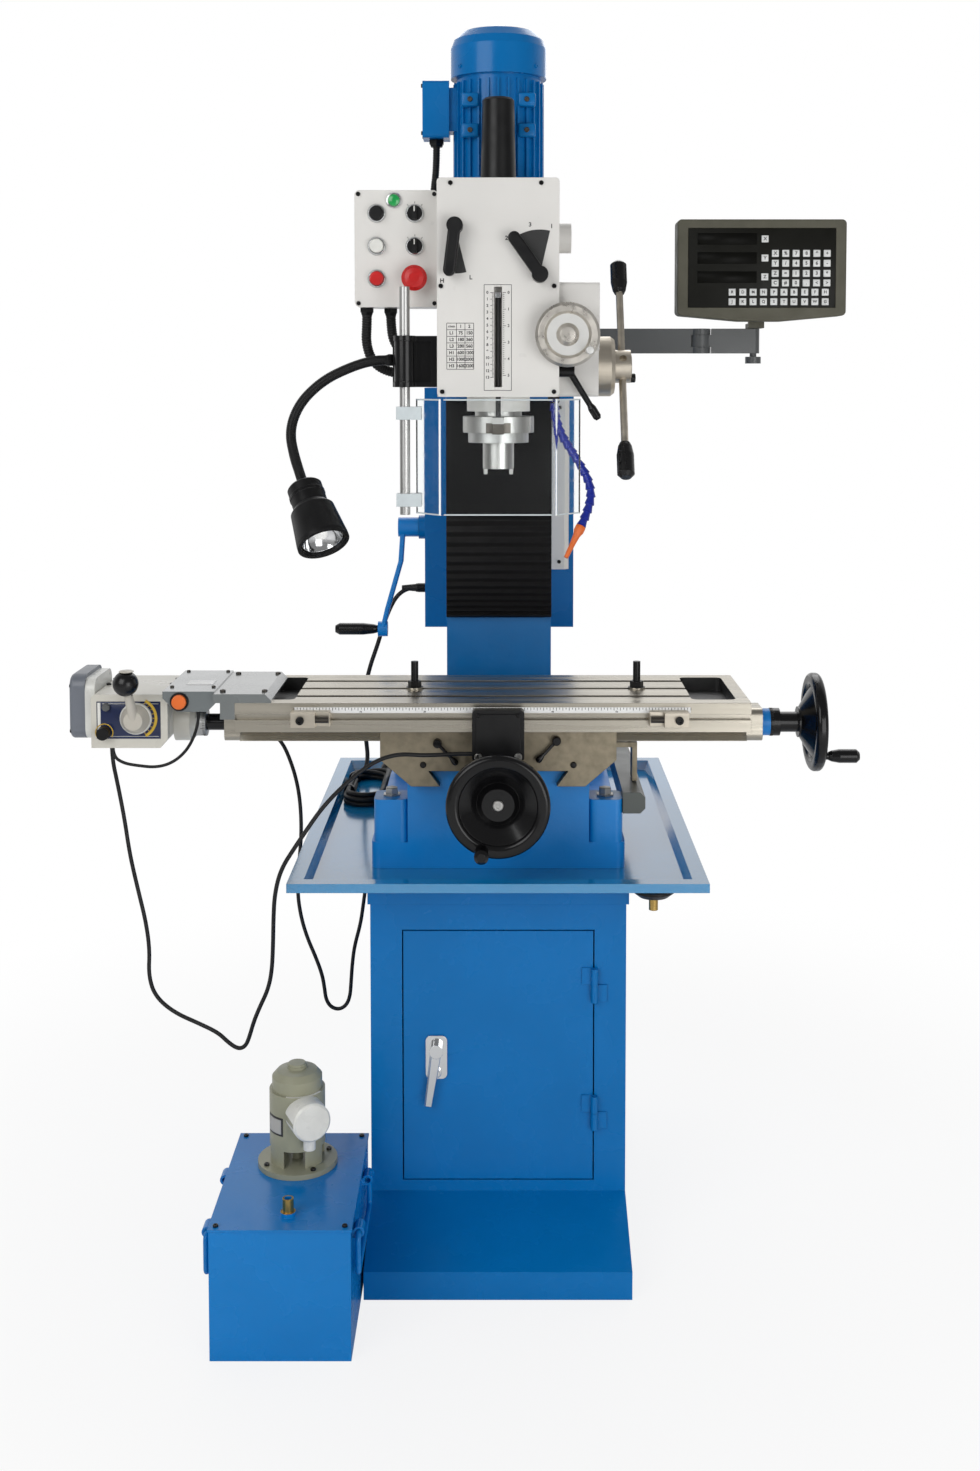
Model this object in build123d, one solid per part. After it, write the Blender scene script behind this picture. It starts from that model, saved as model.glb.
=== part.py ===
from build123d import *
import math
import os

# Fits
WAY_GAP = 0.3
RUN_GAP = 0.06
FREE_GAP = 0.4

# Stand: folded cabinet, door and lock
SHEET = 2.0
CABINET_W = 404.0
CABINET_H = 597.0
FOOT_DEPTH = 700.0
CABINET_FRONT_Y = -195.0
TOE_H = 43.0
TOE_TOP_Z = 91.0
BAND_H = 41.0
BAND_PROUD = 4.0
ANCHOR_SPAN_X = 340.0
ANCHOR_SPAN_Y = 600.0
ANCHOR_R = 7.0
DOOR_W = 300.0
DOOR_H = 402.0
DOOR_Z = 110.0
DOOR_PAN = 18.0
DOOR_SEAM = 2.0
HINGE_R = 5.5
HINGE_PIN_R = 3.0
HINGE_H = 54.0
HINGE_LEAF = 20.0
HINGE_OFF = 0.5
HINGE_OFFSETS = (83.0, 289.0)
LOCK_INSET = 52.0
LOCK_UP = 213.0
LOCK_PLATE = (34.0, 70.0, 3.0)
LOCK_HUB_R = 11.0
LOCK_HUB_L = 14.0
LOCK_SHAFT_R = 6.0
LOCK_LEVER_L = 90.0
LOCK_LEVER_ROOT = (18.0, 11.0, 4.0)
LOCK_LEVER_TIP = (13.0, 8.0, 3.0)
LOCK_LEAN = 8.3

# Chip tray
TRAY_SHEET = 3.0
TRAY_W = 642.0
TRAY_FRONT_Y = -293.0
TRAY_BACK_Y = 536.0
TRAY_RIM_H = 21.0
TRAY_RIM_W = 24.0
TRAY_LIP = 14.0
TRAY_WALL_RUN = 7.0
DRAIN_IN_X = 81.0
DRAIN_IN_Y = 48.0
DRAIN_R = 33.5
DRAIN_H = 12.0
DRAIN_EDGE = 4.0
NIPPLE_R = 7.0
NIPPLE_WALL = 2.0
NIPPLE_H = 22.0

# Base casting
BASE_FRONT_Y = -153.0
BASE_L = 548.0
BASE_OVER = 1.0
BASE_H = 137.0
BASE_CORNER_R = 14.0
SKIRT_H = 42.0
LUG_IN = 4.0
LUG_W = 54.0
LUG_L = 62.0
LUG_H = 111.0
LUG_EDGE_R = 12.0
BODY_W = 290.0
BASE_WALL = 22.0
CROSS_WAY_H = 24.0
CROSS_WAY_FOOT = 184.0
CROSS_WAY_TOP = 220.0
CROSS_WAY_L = 303.0
TROUGH_W = 92.0
TROUGH_FLOOR = 88.0
TROUGH_END = 10.0
CROSS_AXIS_DROP = 4.0
SCREW_R = 11.0
JOURNAL_R = 9.0
NUT_W = 40.0
NUT_L = 50.0
NUT_TOP = 8.0
CROSS_NUT_IN = 76.0

# Saddle
SADDLE_FRONT_Y = -172.0
SADDLE_L = 200.0
SADDLE_W = 374.0
SADDLE_FOOT_W = 276.0
SADDLE_H = 92.4
SADDLE_SIDE_H = 50.0
SCREW_PLATE_W = 80.0
SCREW_PLATE_T = 20.0
SCREW_PLATE_DROP = 30.0
SCREW_PLATE_R = 16.0
SCREW_BOSS_L = 12.0
SCREW_BOSS_R = 24.0
CROSS_TAIL = 12.0
SWITCH_W = 81.0
SWITCH_H = 80.0
SWITCH_T = 20.0
SWITCH_DROP = 40.0
SWITCH_STANDOFF = 33.0
SWITCH_LID = 3.0
READER_L = 40.0
READER_T = 8.0
READER_IN = 90.0
READER_OUT = 16.0

# Table
TABLE_L = 808.0
TABLE_X = -8.0
TABLE_W = 243.0
TABLE_Y = -77.0
TABLE_T = 46.0
TABLE_WAY_H = 24.0
TABLE_WAY_FOOT = 152.0
TABLE_WAY_NECK = 124.0
TABLE_AXIS_DROP = 9.0
CHANNEL_W = 40.0
CHANNEL_H = 12.0
TSLOT_COUNT = 3
TSLOT_PITCH = 65.0
TSLOT_W = 14.0
TSLOT_NECK_H = 12.0
TSLOT_HEAD_W = 24.0
TSLOT_HEAD_H = 10.0
TSLOT_RUNOUT = 12.0
POCKET_L = 70.0
POCKET_W = 192.0
POCKET_DEPTH = 22.0
POCKET_WALL = 20.0
POCKET_SHIFT = 3.0
POCKET_R = 10.0
GROOVE_TOP = 18.0
GROOVE_H = 9.0
GROOVE_DEPTH = 9.0
STUD_OFFSETS = (-129.0, 234.0)
STUD_R = 6.0
STUD_H = 45.0
STUD_WASHER = (14.0, 3.0)
STUD_NUT = (11.0, 10.0)
STOP_L = 60.0
STOP_H = 23.0
STOP_T = 24.0
STOP_NOTCH_L = 22.0
STOP_NOTCH_T = 10.0
LEFT_STOP_IN = 120.0
RIGHT_STOP_IN = 130.0
END_BRACKET_L = 32.0
END_BRACKET_W = 66.0
END_BRACKET_H = 53.0
END_BRACKET_DROP = 26.0
END_BRACKET_R = 12.0
END_BOSS_L = 15.0
END_BOSS_R = 22.0
DIAL_R = 22.5
DIAL_L = 16.0
SLEEVE_R = 16.5
SLEEVE_L = 30.0
LEFT_SLEEVE_R = 13.5

# Handwheels
WHEEL_R = 80.0
WHEEL_RIM_R = 9.5
WHEEL_RIM_W = 21.0
WHEEL_DISH = 28.0
WHEEL_HUB_R = 25.0
WHEEL_HUB_L = 22.0
WHEEL_WEB = 8.0
WHEEL_FOOT = 3.0
HANDLE_AT_R = 66.0
HANDLE_L = 64.0
HANDLE_R = 11.0
HANDLE_PIN_R = 6.0
CROSS_HANDLE_TURN = -112.0
TABLE_HANDLE_TURN = -46.0

# Power feed
FEED_STANDOFF = 115.0
FEED_L = 122.0
FEED_FORWARD = 73.0
FEED_W = 170.0
FEED_DROP = 27.0
FEED_H = 86.0
FEED_EDGE_R = 8.0
FEED_CUT = (12.0, 14.0)
FEED_NOSE_L = 34.0
FEED_NOSE_R = 30.0
FEED_NOSE_CUT = 8.0
FEED_SOCKET = 24.0
MOTOR_RING_L = 16.0
MOTOR_RING_DROP = 6.0
MOTOR_COVER_L = 26.0
MOTOR_COVER_H = 105.0
MOTOR_COVER_W = 118.0
MOTOR_COVER_UP = 7.0
MOTOR_COVER_R = 20.0
FEED_LEVER_IN = 50.0
FEED_LEVER_UP = 48.0
FEED_LEVER_SHAFT_R = 8.0
FEED_LEVER_SHAFT_L = 20.0
FEED_HUB_R = 23.0
FEED_HUB_L = 24.0
FEED_ARM = 62.0
FEED_ARM_LEAN = (24.0, -5.0)
FEED_BALL_R = 20.0
FEED_KNOB_IN = 101.0
FEED_KNOB_UP = 25.0
FEED_KNOB_R = 10.0
FEED_KNOB_L = 14.0
FEED_KNOB_STEM_R = 3.0
SWITCHBOX_L = 81.0
SWITCHBOX_FORWARD = 110.0
SWITCHBOX_BACK = 77.0
SWITCHBOX_TOP = 16.0
SWITCHBOX_H = 32.0
SWITCHBOX_CUT = 22.0
CLAMP_PLATE_T = 14.0
CLAMP_PLATE_L = 57.0
CLAMP_PLATE_CUT = 10.0
CLAMP_FLANGE_H = 26.0
CLAMP_FLANGE_T = 23.0
PUSH_R = 11.5
PUSH_L = 14.0
PUSH_PROUD = 4.0
PUSH_LEFT = 14.0
PUSH_TRAVEL = 4.0

# Column
COLUMN_W = 185.0
COLUMN_FACE_Y = 185.0
COLUMN_H = 903.0
COLUMN_WALL = 16.0
COLUMN_WAY_D = 20.0
COLUMN_WAY_NECK = 110.0
COLUMN_WAY_FACE = 134.0
COLUMN_FOOT_W = 230.0
COLUMN_FOOT_H = 20.0
COLUMN_FOOT_R = 8.0
LIFT_R = 12.0
LIFT_JOURNAL_R = 8.0
LIFT_BEHIND = 3.0
LIFT_GROOVE_W = 44.0
LIFT_GROOVE_D = 42.0
LIFT_FOOT = 23.0
WAY_COVER_T = 3.0
LIFT_TOP_CLEAR = 10.0
HOUSING_W = 276.0
HOUSING_WRAP = 95.0
HOUSING_BEHIND = 115.0
HOUSING_UP = 183.0
HOUSING_H = 445.0
HOUSING_SHEET = 3.0
REAR_DOOR_INSET = 16.0
REAR_DOOR_T = 4.0
REAR_DOOR_R = 10.0
GLAND_IN = 18.0
GLAND_UP = 49.0
GLAND_R = 9.0
GLAND_L = 23.0
GLAND_NUT = (13.0, 8.0)
CRANK_IN = 22.0
CRANK_UP = 185.0
CRANK_SHAFT_R = 8.0
CRANK_SHAFT_IN = 15.0
CRANK_BUSH_R = 22.0
CRANK_BUSH_L = 12.0
CRANK_HUB_R = 18.0
CRANK_HUB_L = 38.0
CRANK_THROW = 192.0
CRANK_BEND = 30.0
CRANK_ARM = (9.0, 26.0)
CRANK_EYE_R = 14.0
CRANK_EYE_L = 18.0
CRANK_GRIP_R = 11.0
CRANK_GRIP_L = 80.0

# Head carriage, apron and bellows
CARRIAGE_UP = 607.0
CARRIAGE_H = 296.0
CARRIAGE_T = 75.0
CARRIAGE_EDGE_R = 10.0
SWIVEL_R = 88.0
SWIVEL_T = 15.0
SPIGOT_R = 30.0
SPIGOT_L = 20.0
TILT_UP = 176.0
LIFT_NUT_UP = 16.0
LIFT_NUT_H = 60.0
LIFT_NUT_SIDE = 2.0
APRON_SHEET = 3.0
APRON_AHEAD = 35.0
APRON_L = 202.0
BELLOWS_W = 186.0
BELLOWS_L = 182.0
BELLOWS_FOLDS = 13
BELLOWS_D = 18.0
BELLOWS_FOLD_D = 6.0
BELLOWS_CLEAR = 2.0

# Geared head
SPINDLE_Y = -95.0
HEAD_W = 188.0
HEAD_FORWARD = 105.0
HEAD_RISE = 10.0
HEAD_H = 335.0
HEAD_EDGE_R = 14.0
PLATE_T = 5.0
PLATE_R = 6.0
SLOT_W = 12.0
SLOT_UP = 15.0
SLOT_H = 154.0
CHANNEL_SIDE = 2.0
CAVITY_WALL = 16.0
CAVITY_BEHIND = 95.0
QUILL_R = 37.5
QUILL_OUT = 74.0
QUILL_L = 320.0
QUILL_NOSE_R = 48.5
QUILL_NOSE_H = 16.0
CLAMP_RING_R = 57.0
CLAMP_RING_H = 26.0
CLAMP_LUG = 9.0
COLLAR_R = 50.5
COLLAR_H = 24.0
DEPTH_ROD_R = 4.0
DEPTH_ROD_IN = 10.0
DEPTH_ROD_UP = 160.0
POINTER_H = 8.0
POINTER_PROUD = 4.0
SPINDLE_R = 20.0
SPINDLE_BELOW_TOP = 29.0
BORE_END = 6.0
NOSE_R = 25.0
NOSE_L = 42.0
SOCKET_R = 12.07
SOCKET_MOUTH_R = 15.9
SOCKET_TAPER_L = 24.0
SOCKET_L = 104.0
DRAWBAR_R = 6.5
DOG_H = 9.0
DOG_W = 14.0
DOG_INSET = 1.5
CAP_FOOT_R = 28.5
CAP_TOP_R = 25.5
CAP_H = 138.0
CAP_EDGE = 4.0
FEEDBOX_W = 63.0
FEEDBOX_H = 177.0
FEEDBOX_BACK = 115.0
FEEDBOX_SET_BACK = 10.0
FEEDBOX_STEP = 25.0
FEEDBOX_STEP_H = 72.0
FEEDBOX_SLOPE = (60.0, 70.0)
FEEDBOX_R = 6.0
SIDE_BOSS_R = 24.0
SIDE_BOSS_L = 22.0
SIDE_BOSS_UP = 252.0

# Motor
MOTOR_BEHIND = 115.0
MOTOR_R = 70.0
MOTOR_BODY_H = 187.0
MOTOR_FLANGE_H = 10.0
MOTOR_FLANGE_R = 76.0
MOTOR_FINS = 28
MOTOR_FIN_T = 3.0
MOTOR_FIN_H = 5.0
MOTOR_FIN_LOW = 12.0
MOTOR_FIN_HIGH = 8.0
COWL_R = 79.0
COWL_H = 49.0
COWL_DOME_H = 33.0
TERMINAL_OUT = 11.0
TERMINAL_W = 44.0
TERMINAL_D = 60.0
TERMINAL_UP = 89.0
TERMINAL_H = 93.0
TERMINAL_R = 6.0
TERMINAL_PAD = 44.0

# Levers and wheels of the head
HUB_BEHIND = 59.0
HUB_UP = 48.0
HUB_R = 49.0
HUB_L = 32.0
HUB_COLLAR_R = 27.0
HUB_COLLAR_L = 27.0
PINION_R = 14.0
PINION_IN = 18.0
SPOKE_R = 6.0
SPOKE_L = 204.0
SPOKE_LEAN = 30.0
SPOKE_GRIP_R = 14.0
SPOKE_GRIP_L = 62.0
FINE_OUT = 12.0
FINE_UP = 95.0
FINE_R = 49.5
FINE_T = 22.0
FINE_STANDOFF = 28.0
FINE_SHAFT_R = 8.0
FINE_SHAFT_L = 56.0
FINE_NECK_R = 11.0
RANGE_X = -66.0
RANGE_UP = 261.0
RANGE_LEAN = 187.0
SPEED_X = 64.0
SPEED_UP = 187.0
SPEED_LEAN = 35.5
LEVER_L = 68.0
LEVER_HUB_R = 12.5
LEVER_W = 19.0
LEVER_T = 14.0
LEVER_STANDOFF = 12.0
LEVER_SHAFT_R = 7.0
LEVER_SHAFT_L = 34.0
QUILL_LOCK_IN = 18.0
QUILL_LOCK_UP = 40.0
QUILL_LOCK_R = 9.5
QUILL_LOCK_L = 24.0
QUILL_LOCK_DROP = 75.0
QUILL_LOCK_OUT = 46.0
QUILL_LOCK_SHAFT_R = 6.5
QUILL_LOCK_SHAFT_L = 26.0

# Control box
CONTROL_W = 131.0
CONTROL_SET_BACK = 50.0
CONTROL_D = 70.0
CONTROL_UP = 140.0
CONTROL_H = 182.0
CONTROL_SHEET = 2.5
CONTROL_R = 8.0
BUTTON_COLUMNS = (35.0, 94.5)
BUTTON_ROWS = (146.0, 95.0, 44.5)
BUTTON_R = 11.0
BUTTON_CAP = 9.0
BEZEL_R = 14.5
BEZEL_T = 4.0
STEM_R = 5.0
STEM_L = 12.0
MUSHROOM_R = 20.0
MUSHROOM_T = 16.0
MUSHROOM_TRAVEL = 6.0
MUSHROOM_STEM_R = 9.0
MUSHROOM_BEZEL_R = 16.5
MUSHROOM_BEZEL_T = 8.0
SELECTOR_R = 11.5
SELECTOR_T = 9.0
SELECTOR_BAR = (7.0, 9.0)

# Guard, lamp and coolant hose
ROD_OUT = 50.0
ROD_AHEAD = 2.0
ROD_R = 8.0
ROD_DROP = 182.0
ROD_L = 351.0
GUARD_BRACKET_UP = 15.0
GUARD_BRACKET_H = 79.0
GUARD_EAR = 8.0
GUARD_EAR_R = 17.0
GUARD_PAD_T = 10.0
GUARD_PAD_BACK = 52.0
BARREL_R = 16.0
SCREEN_T = 4.0
SCREEN_AHEAD = 33.0
SCREEN_WING = 12.0
SCREEN_HALF = 87.0
SCREEN_SPREAD = 126.0
SCREEN_BEND_R = 10.0
SCREEN_UP = 1.0
SCREEN_H = 178.0
SCREEN_GRIP_H = 20.0
SCREEN_GRIP_IN = 12.0
LAMP_BEHIND = 28.0
LAMP_WEB = 12.0
LAMP_WEB_L = 60.0
NECK_UP = 42.0
NECK_R = 7.5
NECK_RUNS = (
    (0, 0, 0), (-30, 0, 0), (-66, 0, -11), (-108, -1, -31), (-144, -5, -65), (-160, -14, -106),
    (-152, -32, -147), (-132, -64, -193))
LAMP_REACH = 106.0
LAMP_SOCKET_R = 27.0
LAMP_RIM_R = 40.0
LAMP_WALL = 6.0
HOSE_R = 8.0
HOSE_X = 90.0
HOSE_Y = -60.0
HOSE_RUNS = ((0, 0, 0), (0, 0, -24), (9, 0, -60), (35, -2, -100), (58, -8, -136), (62, -20, -174),
             (43, -35, -211))
NOZZLE_L = 57.0
NOZZLE_TIP_R = 3.5
CONDUIT_R = 8.0
MOTOR_CONDUIT_R = 6.0
CONTROL_ROUTES = (
    ((-208, -125, 1494), (-208, -125, 1470), (-210, -125, 1438), (-200, -125, 1408), (-174, -125, 1392),
     (-140, -125, 1390), (-116, -125, 1395), (-94, -125, 1395)),
    ((-172, -100, 1494), (-172, -100, 1470), (-168, -100, 1440), (-148, -100, 1418), (-120, -100, 1412),
     (-94, -100, 1412)))
MOTOR_ROUTE = (
    (-103, 20, 1778), (-103, 20, 1735), (-108, 18, 1690), (-110, -2, 1652), (-110, -40, 1640),
    (-110, -80, 1640))

# Digital readout
ARM_UP = 690.0
ARM_H = 44.0
ARM_BEHIND = 26.0
ARM_T = 22.0
ARM_PLATE_T = 12.0
ARM_PLATE_L = 60.0
ARM_PLATE_OVER = 8.0
ELBOW_OUT = 267.5
ELBOW_R = 18.0
ELBOW_CLEAR = 2.0
ELBOW_PIN_R = 6.0
FOREARM_L = 95.0
PANEL_LEFT = 145.0
PANEL_W = 294.0
PANEL_UP = 11.0
PANEL_H = 176.0
PANEL_AHEAD = 81.0
PANEL_D = 45.0
PANEL_EDGE_R = 8.0
PANEL_CHIN = 10.0
PANEL_BEZEL = 18.5
PANEL_BEZEL_TOP = 15.0
PANEL_BEZEL_LOW = 13.0
PANEL_RECESS = 2.0
PANEL_FACE_R = 3.0
YOKE_T = 8.0
YOKE_W = 28.0
YOKE_H = 60.0
ARM_KNOB_R = 14.0
ARM_KNOB_H = 18.0
COLUMN_SCALE = (34.0, 32.0, 309.0)
COLUMN_SCALE_BEHIND = 45.0
COLUMN_SCALE_UP = 299.0
BED_SCALE = (36.0, 350.0, 34.0)
BED_SCALE_UP = 88.0
BED_SCALE_IN = 3.0
SCALE_EDGE = 8.0

# Coolant tank, pump and bails
TANK_GAP = 4.0
TANK_W = 200.0
TANK_Y = -504.0
TANK_D = 294.0
TANK_H = 188.0
LID_T = 3.0
LID_OVER = 1.5
EAR_R = 8.0
EAR_L = 24.0
EAR_Z = 168.0
EAR_INSET = 36.0
EAR_SPAN = 176.0
BAIL_R = 4.0
BAIL_DROP = 55.0
BAIL_SIDE = 10.0
BAIL_TAIL = 14.0
PUMP_IN_X = 101.0
PUMP_IN_Y = 200.0
PUMP_FLANGE_R = 60.0
PUMP_FLANGE_T = 8.0
PUMP_R = 42.0
PUMP_WALL = 7.0
PUMP_STAND_H = 36.0
PUMP_WINDOW_W = 32.0
PUMP_WINDOW_TOP = 10.0
PUMP_SHAFT_R = 8.0
PUMP_BODY_H = 74.0
PUMP_DOME_H = 34.0
PUMP_CAP_R = 15.0
PUMP_BOX_R = 29.0
PUMP_BOX_L = 30.0
PUMP_BOX_TURN = 25.0
PUMP_BOX_UP = 90.0
PUMP_NECK = (9.0, 16.0)
OUTLET_IN_X = 107.0
OUTLET_IN_Y = 41.0
OUTLET_R = 8.0
OUTLET_WALL = 2.5
OUTLET_COLLAR = (11.0, 6.0)
OUTLET_H = 25.0

# Cords: radius and route of each
BEND_SHARE = 0.45
LEAST_TURN = 0.5
MAINS_R = 4.25
MAINS_ROUTE = (
    (-161, 492, 969), (-180, 492, 969), (-202, 491, 954), (-217, 488, 925), (-230, 484, 890), (-241, 479, 856),
    (-256, 474, 814), (-266, 474, 768), (-269, 486, 722), (-268, 500, 686), (-263, 505, 656), (-256, 498, 632),
    (-250, 482, 617), (-247, 463, 612.5), (-247, 445, 612.5))
COIL_X = -247.0
COIL_Y = 330.0
COIL_HALF_W = 25.0
COIL_HALF_L = 102.5
COIL_R = 12.5
PLUG_OFF = 4.0
PLUG_NECK = 10.0
PLUG_NECK_R = 8.0
PLUG_L = 30.0
PLUG_W = 36.0
PLUG_T = 25.0
PLUG_EDGE_R = 6.0
PIN_L = 14.0
PIN_W = 6.0
PIN_T = 2.4
PIN_SPOTS = ((-8.5, 3.0), (8.5, 3.0), (0.0, -6.0))
FEED_CORD_R = 3.25
FEED_CORD_IN = 99.0
FEED_CORD_BACK = 40.0
FEED_CORD_ROUTE = (
    (-626, -110, 794), (-626, -110, 768), (-617, -114, 729), (-605, -120, 672), (-596, -125, 614),
    (-582, -133, 560), (-568, -140, 508), (-561, -147, 464), (-562, -154, 426), (-551, -160, 394),
    (-519, -170, 371), (-474, -183, 357), (-444, -191, 346), (-426, -198, 332), (-410, -204, 325),
    (-398, -209, 332), (-391, -213, 350), (-384, -217, 374), (-373, -224, 401), (-359, -233, 431),
    (-351, -243, 464),
    (-346, -262, 512), (-342, -284, 560), (-337, -304, 606), (-326, -314, 647), (-305, -314, 680),
    (-287, -307, 706), (-267, -299, 734), (-243, -288, 759), (-212, -270, 784), (-183, -254, 800),
    (-152, -242, 806), (-117, -232, 801), (-86, -221, 799), (-62, -215, 799), (-40.5, -215, 799))
FEED_LOOP_R = 2.5
FEED_LOOP_IN = 91.0
FEED_LOOP_BACK = 15.0
FEED_LOOP_ROUTE = (
    (-618, -135, 794), (-618, -135, 777), (-602, -135, 766), (-579, -135, 762), (-550, -135, 759),
    (-524, -135, 766), (-502, -135, 784), (-488, -135, 808), (-480, -135, 836), (-480, -135, 860))
FEED_SUPPLY_R = 3.25
FEED_SUPPLY_IN = 57.0
FEED_SUPPLY_Y = 50.0
FEED_SUPPLY_Z = 533.0
FEED_SUPPLY_ROUTE = (
    (-470, 0, 876), (-470, 22, 876), (-467, 45, 867), (-456, 66, 842), (-436, 80, 808), (-406, 90, 776),
    (-378, 94, 750), (-362, 90, 714), (-350, 80, 678), (-343, 66, 640), (-341, 56, 594), (-345, 51, 545),
    (-348, 50, 496), (-342, 50, 452), (-331, 50, 415), (-317, 50, 382), (-306, 50, 351), (-302, 50, 326),
    (-300, 50, 308), (-292, 50, 294), (-278, 50, 289), (-265, 50, 296), (-258, 50, 312), (-256, 50, 338),
    (-254, 50, 368), (-250, 50, 401), (-239, 50, 441), (-234, 50, 476), (-230, 50, 506), (-221, 50, 533),
    (-202, 50, 533))

# Heights and places that follow from the sizes above
CABINET_BACK_Y = FOOT_DEPTH / 2
HINGE_X = DOOR_W / 2 + DOOR_SEAM
HINGE_Y = CABINET_FRONT_Y - HINGE_R - HINGE_OFF
LOCK_X = LOCK_INSET - DOOR_W / 2
LOCK_Z = DOOR_Z + LOCK_UP
TRAY_FLOOR_Z = CABINET_H + TRAY_SHEET
TRAY_RIM_Z = CABINET_H + TRAY_RIM_H
DRAIN_X = TRAY_W / 2 - DRAIN_IN_X
DRAIN_Y = TRAY_FRONT_Y + DRAIN_IN_Y
BASE_BACK_Y = BASE_FRONT_Y + BASE_L
BASE_W = CABINET_W + 2 * BASE_OVER
LUG_SPAN = BASE_W - 2 * LUG_IN
BASE_TOP_Z = TRAY_FLOOR_Z + BASE_H
CROSS_WAY_TOP_Z = BASE_TOP_Z + CROSS_WAY_H
TROUGH_Z = TRAY_FLOOR_Z + TROUGH_FLOOR
CROSS_AXIS_Z = BASE_TOP_Z - CROSS_AXIS_DROP
SADDLE_Z = BASE_TOP_Z + WAY_GAP
SADDLE_TOP_Z = SADDLE_Z + SADDLE_H
SADDLE_BACK_Y = SADDLE_FRONT_Y + SADDLE_L
SWITCH_Z = SADDLE_TOP_Z - SWITCH_DROP
TABLE_Z = SADDLE_TOP_Z + WAY_GAP
TABLE_TOP_Z = TABLE_Z + TABLE_T
TABLE_AXIS_Z = TABLE_Z - TABLE_AXIS_DROP
TABLE_LEFT_X = TABLE_X - TABLE_L / 2
TABLE_RIGHT_X = TABLE_X + TABLE_L / 2
TABLE_FRONT_Y = TABLE_Y - TABLE_W / 2
TABLE_BACK_Y = TABLE_Y + TABLE_W / 2
POCKET_INNER = TABLE_L / 2 - POCKET_WALL - POCKET_L
GROOVE_Z = TABLE_TOP_Z - GROOVE_TOP - GROOVE_H
FEED_X = TABLE_LEFT_X - FEED_STANDOFF
FEED_FRONT_Y = TABLE_Y - FEED_FORWARD
FEED_BOTTOM_Z = TABLE_AXIS_Z - FEED_DROP
FEED_LEVER_X = FEED_X - FEED_LEVER_IN
FEED_LEVER_Z = FEED_BOTTOM_Z + FEED_LEVER_UP
FEED_KNOB_X = FEED_X - FEED_KNOB_IN
FEED_KNOB_Z = FEED_BOTTOM_Z + FEED_KNOB_UP
SWITCHBOX_X = FEED_X + SWITCHBOX_L
SWITCHBOX_FRONT_Y = TABLE_Y - SWITCHBOX_FORWARD
SWITCHBOX_BACK_Y = TABLE_Y + SWITCHBOX_BACK
SWITCHBOX_TOP_Z = TABLE_TOP_Z + SWITCHBOX_TOP
PUSH_X = FEED_X + SWITCHBOX_L / 2 - PUSH_LEFT
PUSH_Z = SWITCHBOX_TOP_Z - SWITCHBOX_H / 2
COLUMN_BACK_Y = BASE_BACK_Y
COLUMN_TOP_Z = BASE_TOP_Z + COLUMN_H
COLUMN_WAY_Y = COLUMN_FACE_Y - COLUMN_WAY_D
LIFT_Y = COLUMN_FACE_Y + LIFT_BEHIND
HOUSING_SIDE_X = HOUSING_W / 2
HOUSING_FRONT_Y = COLUMN_BACK_Y - HOUSING_WRAP
HOUSING_BACK_Y = COLUMN_BACK_Y + HOUSING_BEHIND
HOUSING_Z = BASE_TOP_Z + HOUSING_UP
GLAND_Y = HOUSING_BACK_Y - GLAND_IN
GLAND_Z = HOUSING_Z + GLAND_UP
CRANK_Y = HOUSING_FRONT_Y + CRANK_IN
CRANK_Z = HOUSING_Z + CRANK_UP
CARRIAGE_Z = BASE_TOP_Z + CARRIAGE_UP
CARRIAGE_FRONT_Y = COLUMN_FACE_Y - CARRIAGE_T
TILT_Z = CARRIAGE_Z + TILT_UP
APRON_Y = COLUMN_FACE_Y - APRON_AHEAD
BELLOWS_TOP_Z = CARRIAGE_Z - APRON_L
BELLOWS_BOTTOM_Z = BELLOWS_TOP_Z - BELLOWS_L
SWIVEL_FACE_Y = CARRIAGE_FRONT_Y - SWIVEL_T
HEAD_BACK_Y = SWIVEL_FACE_Y - WAY_GAP
HEAD_FRONT_Y = SPINDLE_Y - HEAD_FORWARD
HEAD_Z = CARRIAGE_Z + HEAD_RISE
HEAD_TOP_Z = HEAD_Z + HEAD_H
HEAD_SIDE_X = HEAD_W / 2
PLATE_Y = HEAD_FRONT_Y - PLATE_T
SLOT_Z = HEAD_Z + SLOT_UP
COLLAR_Z = HEAD_Z - COLLAR_H
QUILL_LOW_Z = HEAD_Z - QUILL_OUT
DEPTH_ROD_Y = HEAD_FRONT_Y + DEPTH_ROD_IN
DEPTH_ROD_TOP_Z = HEAD_Z + DEPTH_ROD_UP
SPINDLE_TOP_Z = HEAD_TOP_Z - SPINDLE_BELOW_TOP
FEEDBOX_X = HEAD_SIDE_X + FEEDBOX_W
FEEDBOX_FRONT_Y = HEAD_FRONT_Y + FEEDBOX_SET_BACK
FEEDBOX_BACK_Y = SPINDLE_Y + FEEDBOX_BACK
MOTOR_Y = SPINDLE_Y + MOTOR_BEHIND
TERMINAL_Z = HEAD_TOP_Z + TERMINAL_UP
HUB_Y = SPINDLE_Y + HUB_BEHIND
HUB_Z = HEAD_Z + HUB_UP
FINE_X = HEAD_SIDE_X + FINE_OUT
FINE_Z = HEAD_Z + FINE_UP
RANGE_Z = HEAD_Z + RANGE_UP
SPEED_Z = HEAD_Z + SPEED_UP
QUILL_LOCK_Y = HEAD_FRONT_Y + QUILL_LOCK_IN
QUILL_LOCK_Z = HEAD_Z + QUILL_LOCK_UP
CONTROL_X = -HEAD_SIDE_X - CONTROL_W
CONTROL_FRONT_Y = HEAD_FRONT_Y + CONTROL_SET_BACK
CONTROL_Z = HEAD_Z + CONTROL_UP
BUTTON_XS = [CONTROL_X + along for along in BUTTON_COLUMNS]
BUTTON_ZS = [CONTROL_Z + up for up in BUTTON_ROWS]
ROD_X = -HEAD_SIDE_X - ROD_OUT
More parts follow.
